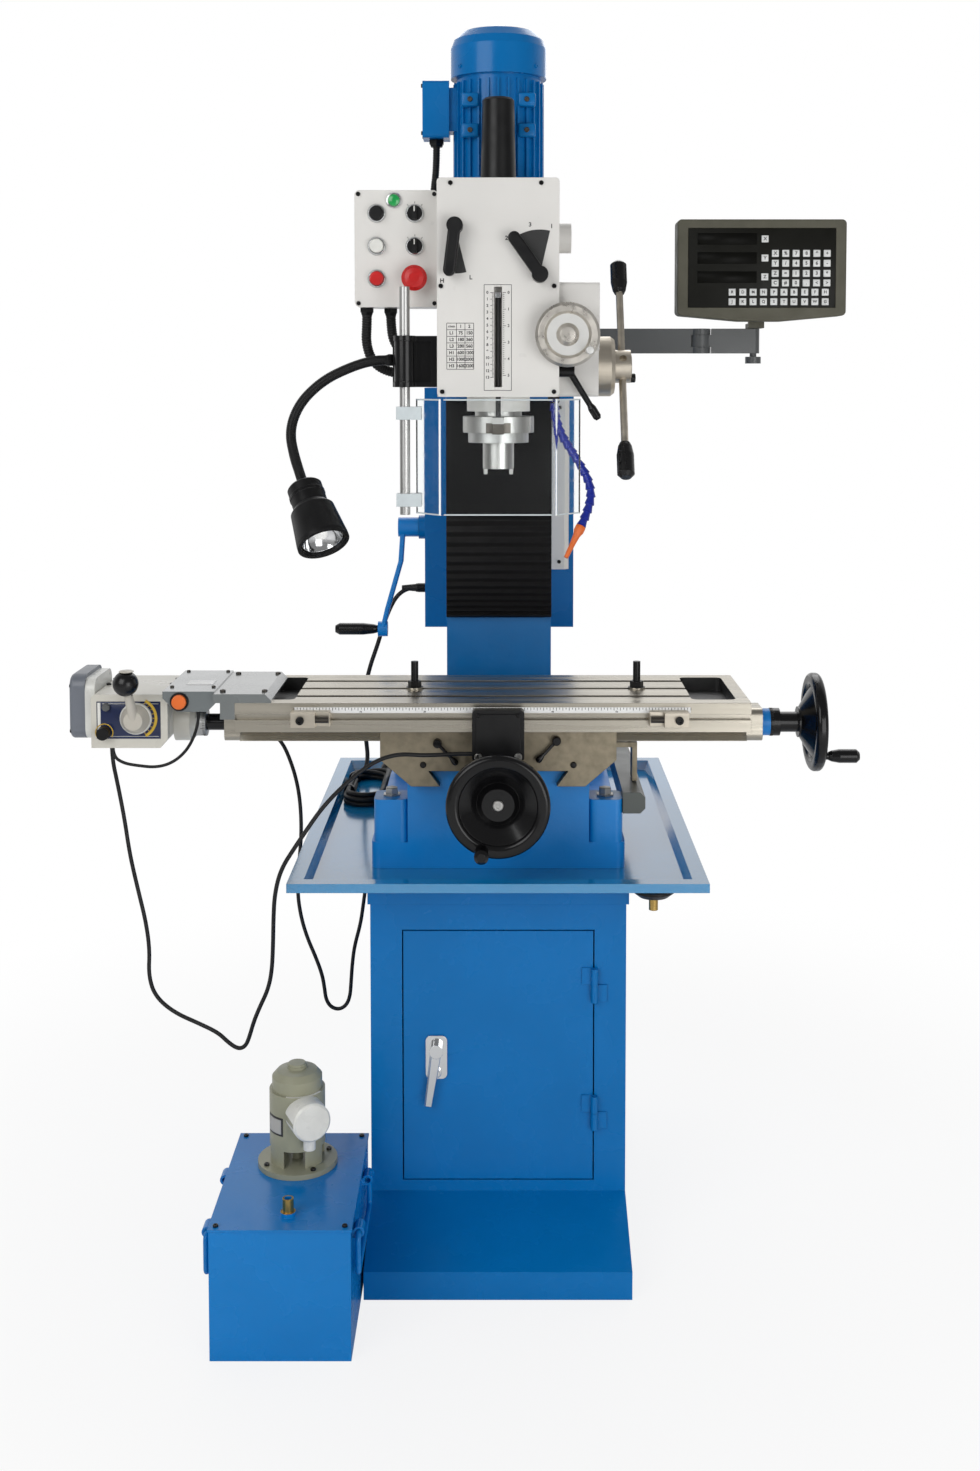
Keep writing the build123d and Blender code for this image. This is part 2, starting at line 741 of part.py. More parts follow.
ROD_Y = HEAD_FRONT_Y - ROD_AHEAD
ROD_Z = HEAD_Z - ROD_DROP
GUARD_Z = HEAD_Z + GUARD_BRACKET_UP
GUARD_TOP_Z = GUARD_Z + GUARD_BRACKET_H
SCREEN_Y = ROD_Y - SCREEN_AHEAD
SCREEN_BACK_Y = ROD_Y + SCREEN_WING
SCREEN_Z = ROD_Z + SCREEN_UP
LAMP_Y = ROD_Y + LAMP_BEHIND
LAMP_X = -HEAD_SIDE_X - GUARD_PAD_T - LAMP_WEB_L
ARM_Z = BASE_TOP_Z + ARM_UP
ARM_Y = COLUMN_FACE_Y + ARM_BEHIND
ELBOW_X = COLUMN_W / 2 + ELBOW_OUT
WRIST_X = ELBOW_X + FOREARM_L
PANEL_X = WRIST_X - PANEL_LEFT
PANEL_Z = ARM_Z + ARM_H + PANEL_UP
PANEL_FRONT_Y = ARM_Y - PANEL_AHEAD
BED_SCALE_Z = TRAY_FLOOR_Z + BED_SCALE_UP
TANK_X = -CABINET_W / 2 - TANK_GAP - TANK_W
TANK_TOP_Z = TANK_H + LID_T
COIL_Z = TRAY_FLOOR_Z + COIL_R


def block(x0, x1, y0, y1, z0, z1):
    """A box between two corners."""
    centre = Pos((x0 + x1) / 2, (y0 + y1) / 2, (z0 + z1) / 2)
    return centre * Box(x1 - x0, y1 - y0, z1 - z0)


def rod_x(radius, x0, x1, y, z):
    """A cylinder along X."""
    return Pos((x0 + x1) / 2, y, z) * Rot(0, 90, 0) * Cylinder(radius, x1 - x0)


def rod_y(radius, y0, y1, x, z):
    """A cylinder along Y."""
    return Pos(x, (y0 + y1) / 2, z) * Rot(90, 0, 0) * Cylinder(radius, y1 - y0)


def rod_z(radius, z0, z1, x, y):
    """A cylinder along Z."""
    return Pos(x, y, (z0 + z1) / 2) * Cylinder(radius, z1 - z0)


def prism_x(outline, x0, x1):
    """A (y, z) outline pushed along X."""
    face = make_face(Polyline([(x0, y, z) for y, z in outline], close=True))
    return extrude(face, amount=x1 - x0, dir=(1, 0, 0))


def prism_y(outline, y0, y1):
    """An (x, z) outline pushed along Y."""
    face = make_face(Polyline([(x, y0, z) for x, z in outline], close=True))
    return extrude(face, amount=y1 - y0, dir=(0, 1, 0))


def prism_z(outline, z0, z1):
    """An (x, y) outline pushed along Z."""
    face = make_face(Polyline([(x, y, z0) for x, y in outline], close=True))
    return extrude(face, amount=z1 - z0, dir=(0, 0, 1))


def turned(outline):
    """A (radius, height) outline turned about Z."""
    face = make_face(Polyline([(radius, 0, height) for radius, height in outline], close=True))
    return revolve(face, Axis.Z)


def round_upright(body, radius):
    """Round the upright edges."""
    return fillet(body.edges().filter_by(Axis.Z), radius)


def mirrored(half):
    """An outline given on +X, closed by its mirror image."""
    return list(half) + [(-x, v) for x, v in reversed(half)]


def facing_front(body, x, y, z):
    """Turn a body made along +Z to face the operator."""
    return Pos(x, y, z) * Rot(90, 0, 0) * body


def facing_right(body, x, y, z):
    """Turn a body made along +Z to face +X."""
    return Pos(x, y, z) * Rot(0, 90, 0) * body


def anchored(route, start, end):
    """A route moved so that its ends meet two places, the middle following."""
    head = Vector(*start) - Vector(*route[0])
    tail = Vector(*end) - Vector(*route[-1])
    last = len(route) - 3
    points = []
    for index, point in enumerate(route):
        share = min(max(index - 1, 0), last) / last
        points.append(Vector(*point) + head * (1 - share) + tail * share)
    return points


def tube(name, points, radius):
    """A cord along straight runs joined by the largest arcs that fit."""
    spots = [Vector(*point) for point in points]
    inner = [b for a, b, c in zip(spots, spots[1:], spots[2:]) if (b - a).get_angle(c - b) > LEAST_TURN]
    spots = [spots[0]] + inner + [spots[-1]]
    runs = [(b - a) for a, b in zip(spots, spots[1:])]
    radii = []
    for before, after in zip(runs, runs[1:]):
        half_turn = math.radians(before.get_angle(after)) / 2
        radii.append(BEND_SHARE * min(before.length, after.length) / math.tan(half_turn))
    path = FilletPolyline(*spots, radius=radii)
    body = sweep(Plane(origin=path @ 0, z_dir=path % 0) * Circle(radius), path=path)
    wanted = math.pi * radius**2 * path.length
    print(f"{name}: length {path.length:.0f}, least radius {min(radii):.1f}, volume {body.volume / wanted:.4f}")
    return body


def hinge_half(side, z0):
    """A hinge knuckle with the leaf that lies on the sheet."""
    knuckle = rod_z(HINGE_R, z0, z0 + HINGE_H / 2, HINGE_X, HINGE_Y)
    edge = HINGE_X + side * HINGE_LEAF
    leaf = block(min(HINGE_X, edge), max(HINGE_X, edge), HINGE_Y + HINGE_R - SHEET, CABINET_FRONT_Y, z0,
                 z0 + HINGE_H / 2)
    return knuckle + leaf


def cabinet_shell():
    """Folded cabinet with a sloping toe, a top band and the door opening."""
    half = CABINET_W / 2
    toe_y = -FOOT_DEPTH / 2
    side = [(toe_y, 0), (toe_y, TOE_H), (CABINET_FRONT_Y, TOE_TOP_Z), (CABINET_FRONT_Y, CABINET_H),
            (CABINET_BACK_Y, CABINET_H), (CABINET_BACK_Y, 0)]
    skin = make_face(Polyline([(0, y, z) for y, z in side], close=True))
    room = offset(skin, amount=-SHEET, kind=Kind.INTERSECTION)
    shell = Pos(-half, 0, 0) * extrude(skin, amount=CABINET_W, dir=(1, 0, 0))
    shell -= Pos(SHEET - half, 0, 0) * extrude(room, amount=CABINET_W - 2 * SHEET, dir=(1, 0, 0))
    wide = half + BAND_PROUD
    band = block(-wide, wide, CABINET_FRONT_Y - BAND_PROUD, CABINET_BACK_Y + BAND_PROUD, CABINET_H - BAND_H,
                 CABINET_H)
    inside = half - SHEET
    band -= block(-inside, inside, CABINET_FRONT_Y + SHEET, CABINET_BACK_Y - SHEET, CABINET_H - BAND_H,
                  CABINET_H - SHEET)
    shell += band
    x1 = DOOR_W / 2 + DOOR_SEAM
    z0 = DOOR_Z - DOOR_SEAM
    z1 = DOOR_Z + DOOR_H + DOOR_SEAM
    deep = CABINET_FRONT_Y + DOOR_PAN + SHEET
    shell += block(-x1 - SHEET, x1 + SHEET, CABINET_FRONT_Y, deep, z0 - SHEET, z1 + SHEET)
    shell -= block(-x1, x1, CABINET_FRONT_Y - SHEET, deep, z0, z1)
    for x in (-ANCHOR_SPAN_X / 2, ANCHOR_SPAN_X / 2):
        for y in (-ANCHOR_SPAN_Y / 2, ANCHOR_SPAN_Y / 2):
            shell -= rod_z(ANCHOR_R, 0, SHEET, x, y)
    for up in HINGE_OFFSETS:
        z = DOOR_Z + up
        shell += hinge_half(1, z) + rod_z(HINGE_PIN_R, z, z + HINGE_H - WAY_GAP, HINGE_X, HINGE_Y)
    return [shell]


def cabinet_door():
    """Pan-shaped door with its hinge halves, and the lock plate."""
    half = DOOR_W / 2
    door = block(-half, half, CABINET_FRONT_Y, CABINET_FRONT_Y + DOOR_PAN, DOOR_Z, DOOR_Z + DOOR_H)
    door -= block(SHEET - half, half - SHEET, CABINET_FRONT_Y + SHEET, CABINET_FRONT_Y + DOOR_PAN,
                  DOOR_Z + SHEET, DOOR_Z + DOOR_H - SHEET)
    for up in HINGE_OFFSETS:
        z = DOOR_Z + up + HINGE_H / 2 + WAY_GAP
        door += hinge_half(-1, z)
        door -= rod_z(HINGE_PIN_R + RUN_GAP, z, z + HINGE_H / 2, HINGE_X, HINGE_Y)
    wide, high, thick = LOCK_PLATE
    plate = block(LOCK_X - wide / 2, LOCK_X + wide / 2, CABINET_FRONT_Y - thick, CABINET_FRONT_Y,
                  LOCK_Z - high * 0.7, LOCK_Z + high * 0.3)
    plate = fillet(plate.edges().filter_by(Axis.Y), wide / 4)
    hole = rod_y(LOCK_SHAFT_R + RUN_GAP, CABINET_FRONT_Y - thick, CABINET_FRONT_Y + SHEET, LOCK_X, LOCK_Z)
    return [door - hole, plate - hole]


def lock_handle():
    """Lever handle that hangs from its shaft."""
    front = CABINET_FRONT_Y - LOCK_PLATE[2] - WAY_GAP
    hub = rod_y(LOCK_HUB_R, front - LOCK_HUB_L, front, LOCK_X, LOCK_Z)
    shaft = rod_y(LOCK_SHAFT_R, front, CABINET_FRONT_Y + DOOR_PAN / 2, LOCK_X, LOCK_Z)
    root = RectangleRounded(*LOCK_LEVER_ROOT)
    tip = Pos(0, 0, LOCK_LEVER_L) * RectangleRounded(*LOCK_LEVER_TIP)
    lever = loft([root, tip])
    lever = Pos(LOCK_X, front - LOCK_HUB_L / 2, LOCK_Z) * Rot(0, 180 + LOCK_LEAN, 0) * lever
    return [hub + shaft + lever]


def rectangle_at(grow, z):
    """The tray's floor outline, grown outwards, at one height."""
    inset = TRAY_RIM_W + TRAY_WALL_RUN
    width = TRAY_W - 2 * inset + 2 * grow
    depth = TRAY_BACK_Y - TRAY_FRONT_Y - 2 * inset + 2 * grow
    return Pos(0, (TRAY_FRONT_Y + TRAY_BACK_Y) / 2, z) * Rectangle(width, depth)


def tray():
    """Chip tray with sloping walls, a flat rim and a turned-down lip, and its drain."""
    pan = loft([rectangle_at(SHEET, CABINET_H), rectangle_at(TRAY_WALL_RUN + SHEET, TRAY_RIM_Z)])
    half = TRAY_W / 2
    rim = block(-half, half, TRAY_FRONT_Y, TRAY_BACK_Y, TRAY_RIM_Z - TRAY_LIP, TRAY_RIM_Z)
    rim -= block(SHEET - half, half - SHEET, TRAY_FRONT_Y + SHEET, TRAY_BACK_Y - SHEET,
                 TRAY_RIM_Z - TRAY_LIP, TRAY_RIM_Z - SHEET)
    pan += rim
    pan -= loft([rectangle_at(0, TRAY_FLOOR_Z), rectangle_at(TRAY_WALL_RUN, TRAY_RIM_Z)])
    pan -= rod_z(NIPPLE_R, CABINET_H, TRAY_FLOOR_Z, DRAIN_X, DRAIN_Y)
    dome = turned([(NIPPLE_R - NIPPLE_WALL, 0), (DRAIN_R, 0), (DRAIN_R, -DRAIN_EDGE),
                   (DRAIN_R * 0.7, -DRAIN_H), (NIPPLE_R, -DRAIN_H),
                   (NIPPLE_R, -DRAIN_H - NIPPLE_H), (NIPPLE_R - NIPPLE_WALL, -DRAIN_H - NIPPLE_H)])
    return [pan, Pos(DRAIN_X, DRAIN_Y, CABINET_H) * dome]


def base_casting():
    """Hollow bed with four bolt lugs, dovetail ways and a trough for the cross screw."""
    z = TRAY_FLOOR_Z
    half = BASE_W / 2
    bed = round_upright(block(-half, half, BASE_FRONT_Y, BASE_BACK_Y, z, z + SKIRT_H), BASE_CORNER_R)
    bed += block(-BODY_W / 2, BODY_W / 2, BASE_FRONT_Y, BASE_BACK_Y, z, BASE_TOP_Z)
    for x0, x1 in ((-LUG_SPAN / 2, LUG_W - LUG_SPAN / 2), (LUG_SPAN / 2 - LUG_W, LUG_SPAN / 2)):
        for y0 in (BASE_FRONT_Y, BASE_BACK_Y - LUG_L):
            bed += round_upright(block(x0, x1, y0, y0 + LUG_L, z, z + LUG_H), LUG_EDGE_R)
    inner = BODY_W / 2 - BASE_WALL
    bed -= block(-inner, inner, BASE_FRONT_Y + BASE_WALL, BASE_BACK_Y - BASE_WALL, z, TROUGH_Z - BASE_WALL)
    ways = mirrored([(CROSS_WAY_FOOT / 2, BASE_TOP_Z), (CROSS_WAY_TOP / 2, CROSS_WAY_TOP_Z)])
    bed += prism_y(ways, BASE_FRONT_Y, BASE_FRONT_Y + CROSS_WAY_L)
    half = TROUGH_W / 2
    bed -= block(-half, half, BASE_FRONT_Y, BASE_FRONT_Y + CROSS_WAY_L - TROUGH_END, TROUGH_Z, CROSS_WAY_TOP_Z)
    nut_y = BASE_FRONT_Y + CROSS_NUT_IN
    nut = block(-NUT_W / 2, NUT_W / 2, nut_y, nut_y + NUT_L, TROUGH_Z, CROSS_AXIS_Z + SCREW_R + NUT_TOP)
    nut -= rod_y(SCREW_R + FREE_GAP, nut_y, nut_y + NUT_L, 0, CROSS_AXIS_Z)
    return [bed, nut]


def column():
    """Hollow column with a dovetail and a groove for the elevating screw."""
    half = COLUMN_W / 2
    outline = mirrored([(COLUMN_WAY_FACE / 2, COLUMN_WAY_Y), (COLUMN_WAY_NECK / 2, COLUMN_FACE_Y),
                        (half, COLUMN_FACE_Y), (half, COLUMN_BACK_Y)])
    post = prism_z(outline, BASE_TOP_Z, COLUMN_TOP_Z)
    foot = COLUMN_FOOT_W / 2
    post += round_upright(block(-foot, foot, COLUMN_FACE_Y, COLUMN_BACK_Y, BASE_TOP_Z,
                                BASE_TOP_Z + COLUMN_FOOT_H), COLUMN_FOOT_R)
    groove_back = COLUMN_WAY_Y + LIFT_GROOVE_D
    room = half - COLUMN_WALL
    post -= block(-room, room, groove_back + COLUMN_WALL, COLUMN_BACK_Y - COLUMN_WALL,
                  BASE_TOP_Z, COLUMN_TOP_Z - COLUMN_WALL)
    foot_z = BASE_TOP_Z + LIFT_FOOT
    groove = LIFT_GROOVE_W / 2
    post -= block(-groove, groove, COLUMN_WAY_Y, groove_back, foot_z, COLUMN_TOP_Z)
    post -= rod_z(LIFT_JOURNAL_R + RUN_GAP, BASE_TOP_Z, foot_z, 0, LIFT_Y)
    cover_top = BELLOWS_BOTTOM_Z - BELLOWS_CLEAR
    post += block(-half, half, COLUMN_WAY_Y - WAY_COVER_T, COLUMN_WAY_Y, BASE_TOP_Z, cover_top)
    return [post]


def elevating_screw():
    """Screw that lifts the head, standing in the column groove."""
    foot_z = BASE_TOP_Z + LIFT_FOOT + WAY_GAP
    screw = rod_z(LIFT_R, foot_z, COLUMN_TOP_Z - LIFT_TOP_CLEAR, 0, LIFT_Y)
    return [screw + rod_z(LIFT_JOURNAL_R, BASE_TOP_Z + WAY_GAP, foot_z, 0, LIFT_Y)]


def electrical_box():
    """Sheet housing that wraps the column sides and back, with its gland and crank bush."""
    outer = HOUSING_SIDE_X
    inner = COLUMN_W / 2
    outline = mirrored([(inner, COLUMN_BACK_Y), (inner, HOUSING_FRONT_Y), (outer, HOUSING_FRONT_Y),
                        (outer, HOUSING_BACK_Y)])
    skin = make_face(Polyline([(x, y, 0) for x, y in outline], close=True))
    room = offset(skin, amount=-HOUSING_SHEET, kind=Kind.INTERSECTION)
    top = HOUSING_Z + HOUSING_H
    box = Pos(0, 0, HOUSING_Z) * extrude(skin, amount=HOUSING_H, dir=(0, 0, 1))
    box -= Pos(0, 0, HOUSING_Z + HOUSING_SHEET) * extrude(room, amount=HOUSING_H - 2 * HOUSING_SHEET,
                                                          dir=(0, 0, 1))
    half = outer - REAR_DOOR_INSET
    door = block(-half, half, HOUSING_BACK_Y, HOUSING_BACK_Y + REAR_DOOR_T,
                 HOUSING_Z + REAR_DOOR_INSET, top - REAR_DOOR_INSET)
    box += fillet(door.edges().filter_by(Axis.Y), REAR_DOOR_R)
    bush = rod_x(CRANK_BUSH_R, -outer - CRANK_BUSH_L, -outer, CRANK_Y, CRANK_Z)
    hole = rod_x(CRANK_SHAFT_R + RUN_GAP, -outer - CRANK_BUSH_L, HOUSING_SHEET - outer, CRANK_Y, CRANK_Z)
    gland = rod_x(GLAND_R, -outer - GLAND_L, -outer, GLAND_Y, GLAND_Z)
    nut = extrude(RegularPolygon(GLAND_NUT[0], 6), amount=GLAND_NUT[1])
    gland += Pos(-outer, GLAND_Y, GLAND_Z) * Rot(0, -90, 0) * nut
    return [box - hole, bush - hole, gland]


def turned_grip(radius, length):
    """A waisted hand grip along +Z."""
    return turned([(0, 0), (radius * 0.6, 0), (radius * 0.8, length * 0.1), (radius, length * 0.35),
                   (radius, length * 0.9), (radius * 0.6, length), (0, length)])


def elevating_crank():
    """Cranked handle with a turned grip."""
    x = -HOUSING_SIDE_X - CRANK_BUSH_L - WAY_GAP
    outer = x - CRANK_HUB_L
    hub = rod_x(CRANK_HUB_R, outer, x, CRANK_Y, CRANK_Z)
    hub += rod_x(CRANK_SHAFT_R, x, CRANK_SHAFT_IN - HOUSING_SIDE_X, CRANK_Y, CRANK_Z)
    low = CRANK_Z - CRANK_THROW
    thick, wide = CRANK_ARM
    end = outer - CRANK_BEND
    route = Polyline((outer + thick, CRANK_Y, CRANK_Z),
                     (outer + thick / 2, CRANK_Y, CRANK_Z - CRANK_THROW / 3),
                     (end + thick, CRANK_Y, low + CRANK_THROW / 5), (end, CRANK_Y, low))
    arm = sweep(Plane(origin=route @ 0, z_dir=route % 0) * RectangleRounded(thick, wide, thick * 0.4),
                path=route,
                transition=Transition.ROUND)
    boss = rod_x(CRANK_EYE_R, end - CRANK_EYE_L / 2, end + CRANK_EYE_L / 2, CRANK_Y, low)
    grip = Pos(end - CRANK_EYE_L / 2, CRANK_Y, low) * Rot(0, -90, 0) * turned_grip(CRANK_GRIP_R, CRANK_GRIP_L)
    return [hub + arm + boss, grip]


def handwheel():
    """Dished wheel with a broad rim and a turned handle, hub at z 0 and rim outwards."""
    inner = WHEEL_R - WHEEL_RIM_W
    low = WHEEL_DISH - WHEEL_WEB / 2
    high = WHEEL_DISH + WHEEL_WEB / 2
    web = turned([(JOURNAL_R, 0), (WHEEL_HUB_R, 0), (WHEEL_HUB_R, WHEEL_FOOT), (inner, low),
                  (inner + WHEEL_WEB, low), (inner + WHEEL_WEB, high), (inner, high),
                  (WHEEL_HUB_R + WHEEL_WEB, WHEEL_FOOT + WHEEL_WEB), (WHEEL_HUB_R, WHEEL_HUB_L),
                  (JOURNAL_R, WHEEL_HUB_L)])
    section = RectangleRounded(WHEEL_RIM_W, 2 * WHEEL_RIM_R, WHEEL_RIM_R * 0.8)
    wheel = web + revolve(Plane.XZ * Pos(WHEEL_R - WHEEL_RIM_W / 2, WHEEL_DISH) * section, Axis.Z)
    pin_l = WHEEL_RIM_R * 1.5
    wheel += Pos(HANDLE_AT_R, 0, WHEEL_DISH) * rod_z(HANDLE_PIN_R, 0, pin_l, 0, 0)
    return wheel + Pos(HANDLE_AT_R, 0, WHEEL_DISH + pin_l) * turned_grip(HANDLE_R, HANDLE_L - pin_l)


def saddle():
    """Saddle with crossed dovetails, the table nut, the cross-screw bracket and the scale reader arm."""
    half = SADDLE_W / 2
    flank = FREE_GAP
    ceiling = CROSS_WAY_TOP_Z + 1
    slope = (CROSS_WAY_TOP - CROSS_WAY_FOOT) / 2 / CROSS_WAY_H
    foot = CROSS_WAY_FOOT / 2 + flank + slope * WAY_GAP
    neck = CROSS_WAY_TOP / 2 + flank
    outline = mirrored([(half, SADDLE_TOP_Z), (half, SADDLE_TOP_Z - SADDLE_SIDE_H),
                        (SADDLE_FOOT_W / 2, SADDLE_Z),
                        (foot, SADDLE_Z), (neck, CROSS_WAY_TOP_Z), (neck, ceiling)])
    body = prism_y(outline, SADDLE_FRONT_Y, SADDLE_BACK_Y)
    floor = SADDLE_TOP_Z - TABLE_WAY_H
    top = TABLE_WAY_NECK / 2 + flank
    low = TABLE_WAY_FOOT / 2 + flank
    slot = [(TABLE_Y - top, SADDLE_TOP_Z), (TABLE_Y - low, floor), (TABLE_Y + low, floor),
            (TABLE_Y + top, SADDLE_TOP_Z)]
    body -= prism_x(slot, -half, half)
    clear = CHANNEL_H / 3
    wide = CHANNEL_W / 2 - clear
    nut = block(-NUT_L / 2, NUT_L / 2, TABLE_Y - wide, TABLE_Y + wide, floor, TABLE_Z + CHANNEL_H - clear)
    nut -= rod_x(SCREW_R + FREE_GAP, -NUT_L / 2, NUT_L / 2, TABLE_Y, TABLE_AXIS_Z)
    front = SADDLE_FRONT_Y
    wide = SCREW_PLATE_W / 2
    face = front - SCREW_PLATE_T
    bracket = block(-wide, wide, face, front, TROUGH_Z + clear, SADDLE_TOP_Z - SCREW_PLATE_DROP)
    bracket = fillet(bracket.edges().filter_by(Axis.Y), SCREW_PLATE_R)
    bracket += rod_y(SCREW_BOSS_R, face - SCREW_BOSS_L, face, 0, CROSS_AXIS_Z)
    bracket -= rod_y(JOURNAL_R + RUN_GAP, face - SCREW_BOSS_L, front, 0, CROSS_AXIS_Z)
    out = BASE_W / 2 + READER_OUT
    low = BED_SCALE_Z + BED_SCALE[2] + READER_T / 4
    top = SADDLE_TOP_Z - SADDLE_SIDE_H + READER_T
    arm = [(half, top), (out + READER_T, top), (out + READER_T, low), (out, low), (out, top - READER_T),
           (half, top - READER_T)]
    return [body, nut, bracket, prism_y(arm, front + READER_IN, front + READER_IN + READER_L)]


def limit_switch():
    """Switch box that the table stops press, on a foot bolted to the saddle front."""
    back = SADDLE_FRONT_Y - SWITCH_STANDOFF
    half = SWITCH_W / 2
    low = SWITCH_Z
    rim = 2 * SWITCH_LID
    box = block(-half, half, back - SWITCH_T, back, low, low + SWITCH_H)
    box = fillet(box.edges().filter_by(Axis.Y), rim)
    lid_y = back - SWITCH_T
    box += block(rim - half, half - rim, lid_y - SWITCH_LID, lid_y, low + rim, low + SWITCH_H - rim)
    foot = block(-SWITCH_W / 3, SWITCH_W / 3, back, SADDLE_FRONT_Y, low + 2 * rim, low + SWITCH_DROP - rim)
    return [box, foot]


def cross_handwheel():
    """Cross screw with its dial, sleeve and handwheel."""
    boss = SADDLE_FRONT_Y - SCREW_PLATE_T - SCREW_BOSS_L - WAY_GAP
    dial_end = boss - DIAL_L
    wheel_y = dial_end - SLEEVE_L
    step = SADDLE_FRONT_Y + SCREW_BOSS_L
    shaft = rod_y(JOURNAL_R, wheel_y - WHEEL_HUB_L, step, 0, CROSS_AXIS_Z)
    shaft += rod_y(SCREW_R, step, SADDLE_BACK_Y + CROSS_TAIL, 0, CROSS_AXIS_Z)
    bore = rod_y(JOURNAL_R, wheel_y, boss, 0, CROSS_AXIS_Z)
    dial = rod_y(DIAL_R, dial_end, boss, 0, CROSS_AXIS_Z) - bore
    sleeve = rod_y(SLEEVE_R, wheel_y, dial_end, 0, CROSS_AXIS_Z) - bore
    wheel = facing_front(Rot(0, 0, CROSS_HANDLE_TURN) * handwheel(), 0, wheel_y, CROSS_AXIS_Z)
    return [shaft, dial, sleeve, wheel]


def table():
    """Table with T-slots, end pockets, a stop groove and dovetail, its end brackets and two studs."""
    x0, x1 = TABLE_LEFT_X, TABLE_RIGHT_X
    slab = block(x0, x1, TABLE_FRONT_Y, TABLE_BACK_Y, TABLE_Z, TABLE_TOP_Z)
    neck = TABLE_WAY_NECK / 2
    foot = TABLE_WAY_FOOT / 2
    low = TABLE_Z - TABLE_WAY_H
    way = [(TABLE_Y - neck, TABLE_Z), (TABLE_Y - foot, low), (TABLE_Y + foot, low), (TABLE_Y + neck, TABLE_Z)]
    slab += prism_x(way, x0, x1)
    half = CHANNEL_W / 2
    slab -= block(x0, x1, TABLE_Y - half, TABLE_Y + half, low, TABLE_Z + CHANNEL_H)
    for side in (-1, 1):
        x = TABLE_X + side * (POCKET_INNER + POCKET_L / 2)
        y = TABLE_Y + POCKET_SHIFT
        pocket = block(x - POCKET_L / 2, x + POCKET_L / 2, y - POCKET_W / 2, y + POCKET_W / 2,
                       TABLE_TOP_Z - POCKET_DEPTH, TABLE_TOP_Z)
        slab -= round_upright(pocket, POCKET_R)
    near, far = TABLE_X - POCKET_INNER - TSLOT_RUNOUT, TABLE_X + POCKET_INNER + TSLOT_RUNOUT
    neck_z = TABLE_TOP_Z - TSLOT_NECK_H
    for index in range(TSLOT_COUNT):
        y = TABLE_Y + TSLOT_PITCH * (index - (TSLOT_COUNT - 1) / 2)
        slab -= block(near, far, y - TSLOT_W / 2, y + TSLOT_W / 2, neck_z, TABLE_TOP_Z)
        slab -= block(near, far, y - TSLOT_HEAD_W / 2, y + TSLOT_HEAD_W / 2, neck_z - TSLOT_HEAD_H, neck_z)
    slab -= block(x0, x1, TABLE_FRONT_Y, TABLE_FRONT_Y + GROOVE_DEPTH, GROOVE_Z, GROOVE_Z + GROOVE_H)
    studs = [table_stud(TABLE_X + along) for along in STUD_OFFSETS]
    return [slab, end_bracket(1, x1), end_bracket(-1, x0)] + studs


def end_bracket(side, x):
    """Screw bearing bolted to a table end, with its boss."""
    half = END_BRACKET_W / 2
    outer = x + side * END_BRACKET_L
    tip = outer + (END_BOSS_L if side > 0 else 0)
    low = TABLE_AXIS_Z - END_BRACKET_DROP
    plate = block(min(x, outer), max(x, outer), TABLE_Y - half, TABLE_Y + half, low, low + END_BRACKET_H)
    plate = fillet(plate.edges().filter_by(Axis.X), END_BRACKET_R)
    if side > 0:
        plate += rod_x(END_BOSS_R, outer, tip, TABLE_Y, TABLE_AXIS_Z)
    return plate - rod_x(JOURNAL_R + RUN_GAP, min(x, tip), max(x, tip), TABLE_Y, TABLE_AXIS_Z)


def table_stud(x):
    """Clamping stud with its T-nut, washer and nut."""
    neck_z = TABLE_TOP_Z - TSLOT_NECK_H
    size = TSLOT_HEAD_W / 2 - FREE_GAP
    stud = block(x - size, x + size, TABLE_Y - size, TABLE_Y + size, neck_z - TSLOT_HEAD_H + FREE_GAP, neck_z)
    stud += rod_z(STUD_R, neck_z, TABLE_TOP_Z + STUD_H, x, TABLE_Y)
    washer_r, washer_t = STUD_WASHER
    stud += rod_z(washer_r, TABLE_TOP_Z, TABLE_TOP_Z + washer_t, x, TABLE_Y)
    nut_r, nut_h = STUD_NUT
    return stud + Pos(x, TABLE_Y, TABLE_TOP_Z + washer_t) * extrude(RegularPolygon(nut_r, 6), amount=nut_h)


def table_handwheel():
    """Table screw with both dials, the sleeve and the right handwheel."""
    right = TABLE_RIGHT_X + END_BRACKET_L + END_BOSS_L + WAY_GAP
    wheel_x = right + DIAL_L + SLEEVE_L
    left = TABLE_LEFT_X - END_BRACKET_L
    left_dial = FEED_X + FEED_NOSE_L + FREE_GAP
    tail = FEED_X - FEED_SOCKET + FREE_GAP
    shaft = rod_x(JOURNAL_R, tail, wheel_x + WHEEL_HUB_L, TABLE_Y, TABLE_AXIS_Z)
    shaft += rod_x(SCREW_R, TABLE_LEFT_X + WAY_GAP, TABLE_RIGHT_X - WAY_GAP, TABLE_Y, TABLE_AXIS_Z)
    rings = [(DIAL_R, right, right + DIAL_L), (SLEEVE_R, right + DIAL_L, wheel_x),
             (DIAL_R, left_dial, left_dial + DIAL_L), (LEFT_SLEEVE_R, left_dial + DIAL_L, left - WAY_GAP)]
    parts = [shaft]
    for radius, x0, x1 in rings:
        parts.append(rod_x(radius, x0, x1, TABLE_Y, TABLE_AXIS_Z) - rod_x(JOURNAL_R, x0, x1, TABLE_Y,
                                                                          TABLE_AXIS_Z))
    parts.append(facing_right(Rot(0, 0, TABLE_HANDLE_TURN) * handwheel(), wheel_x, TABLE_Y, TABLE_AXIS_Z))
    return parts


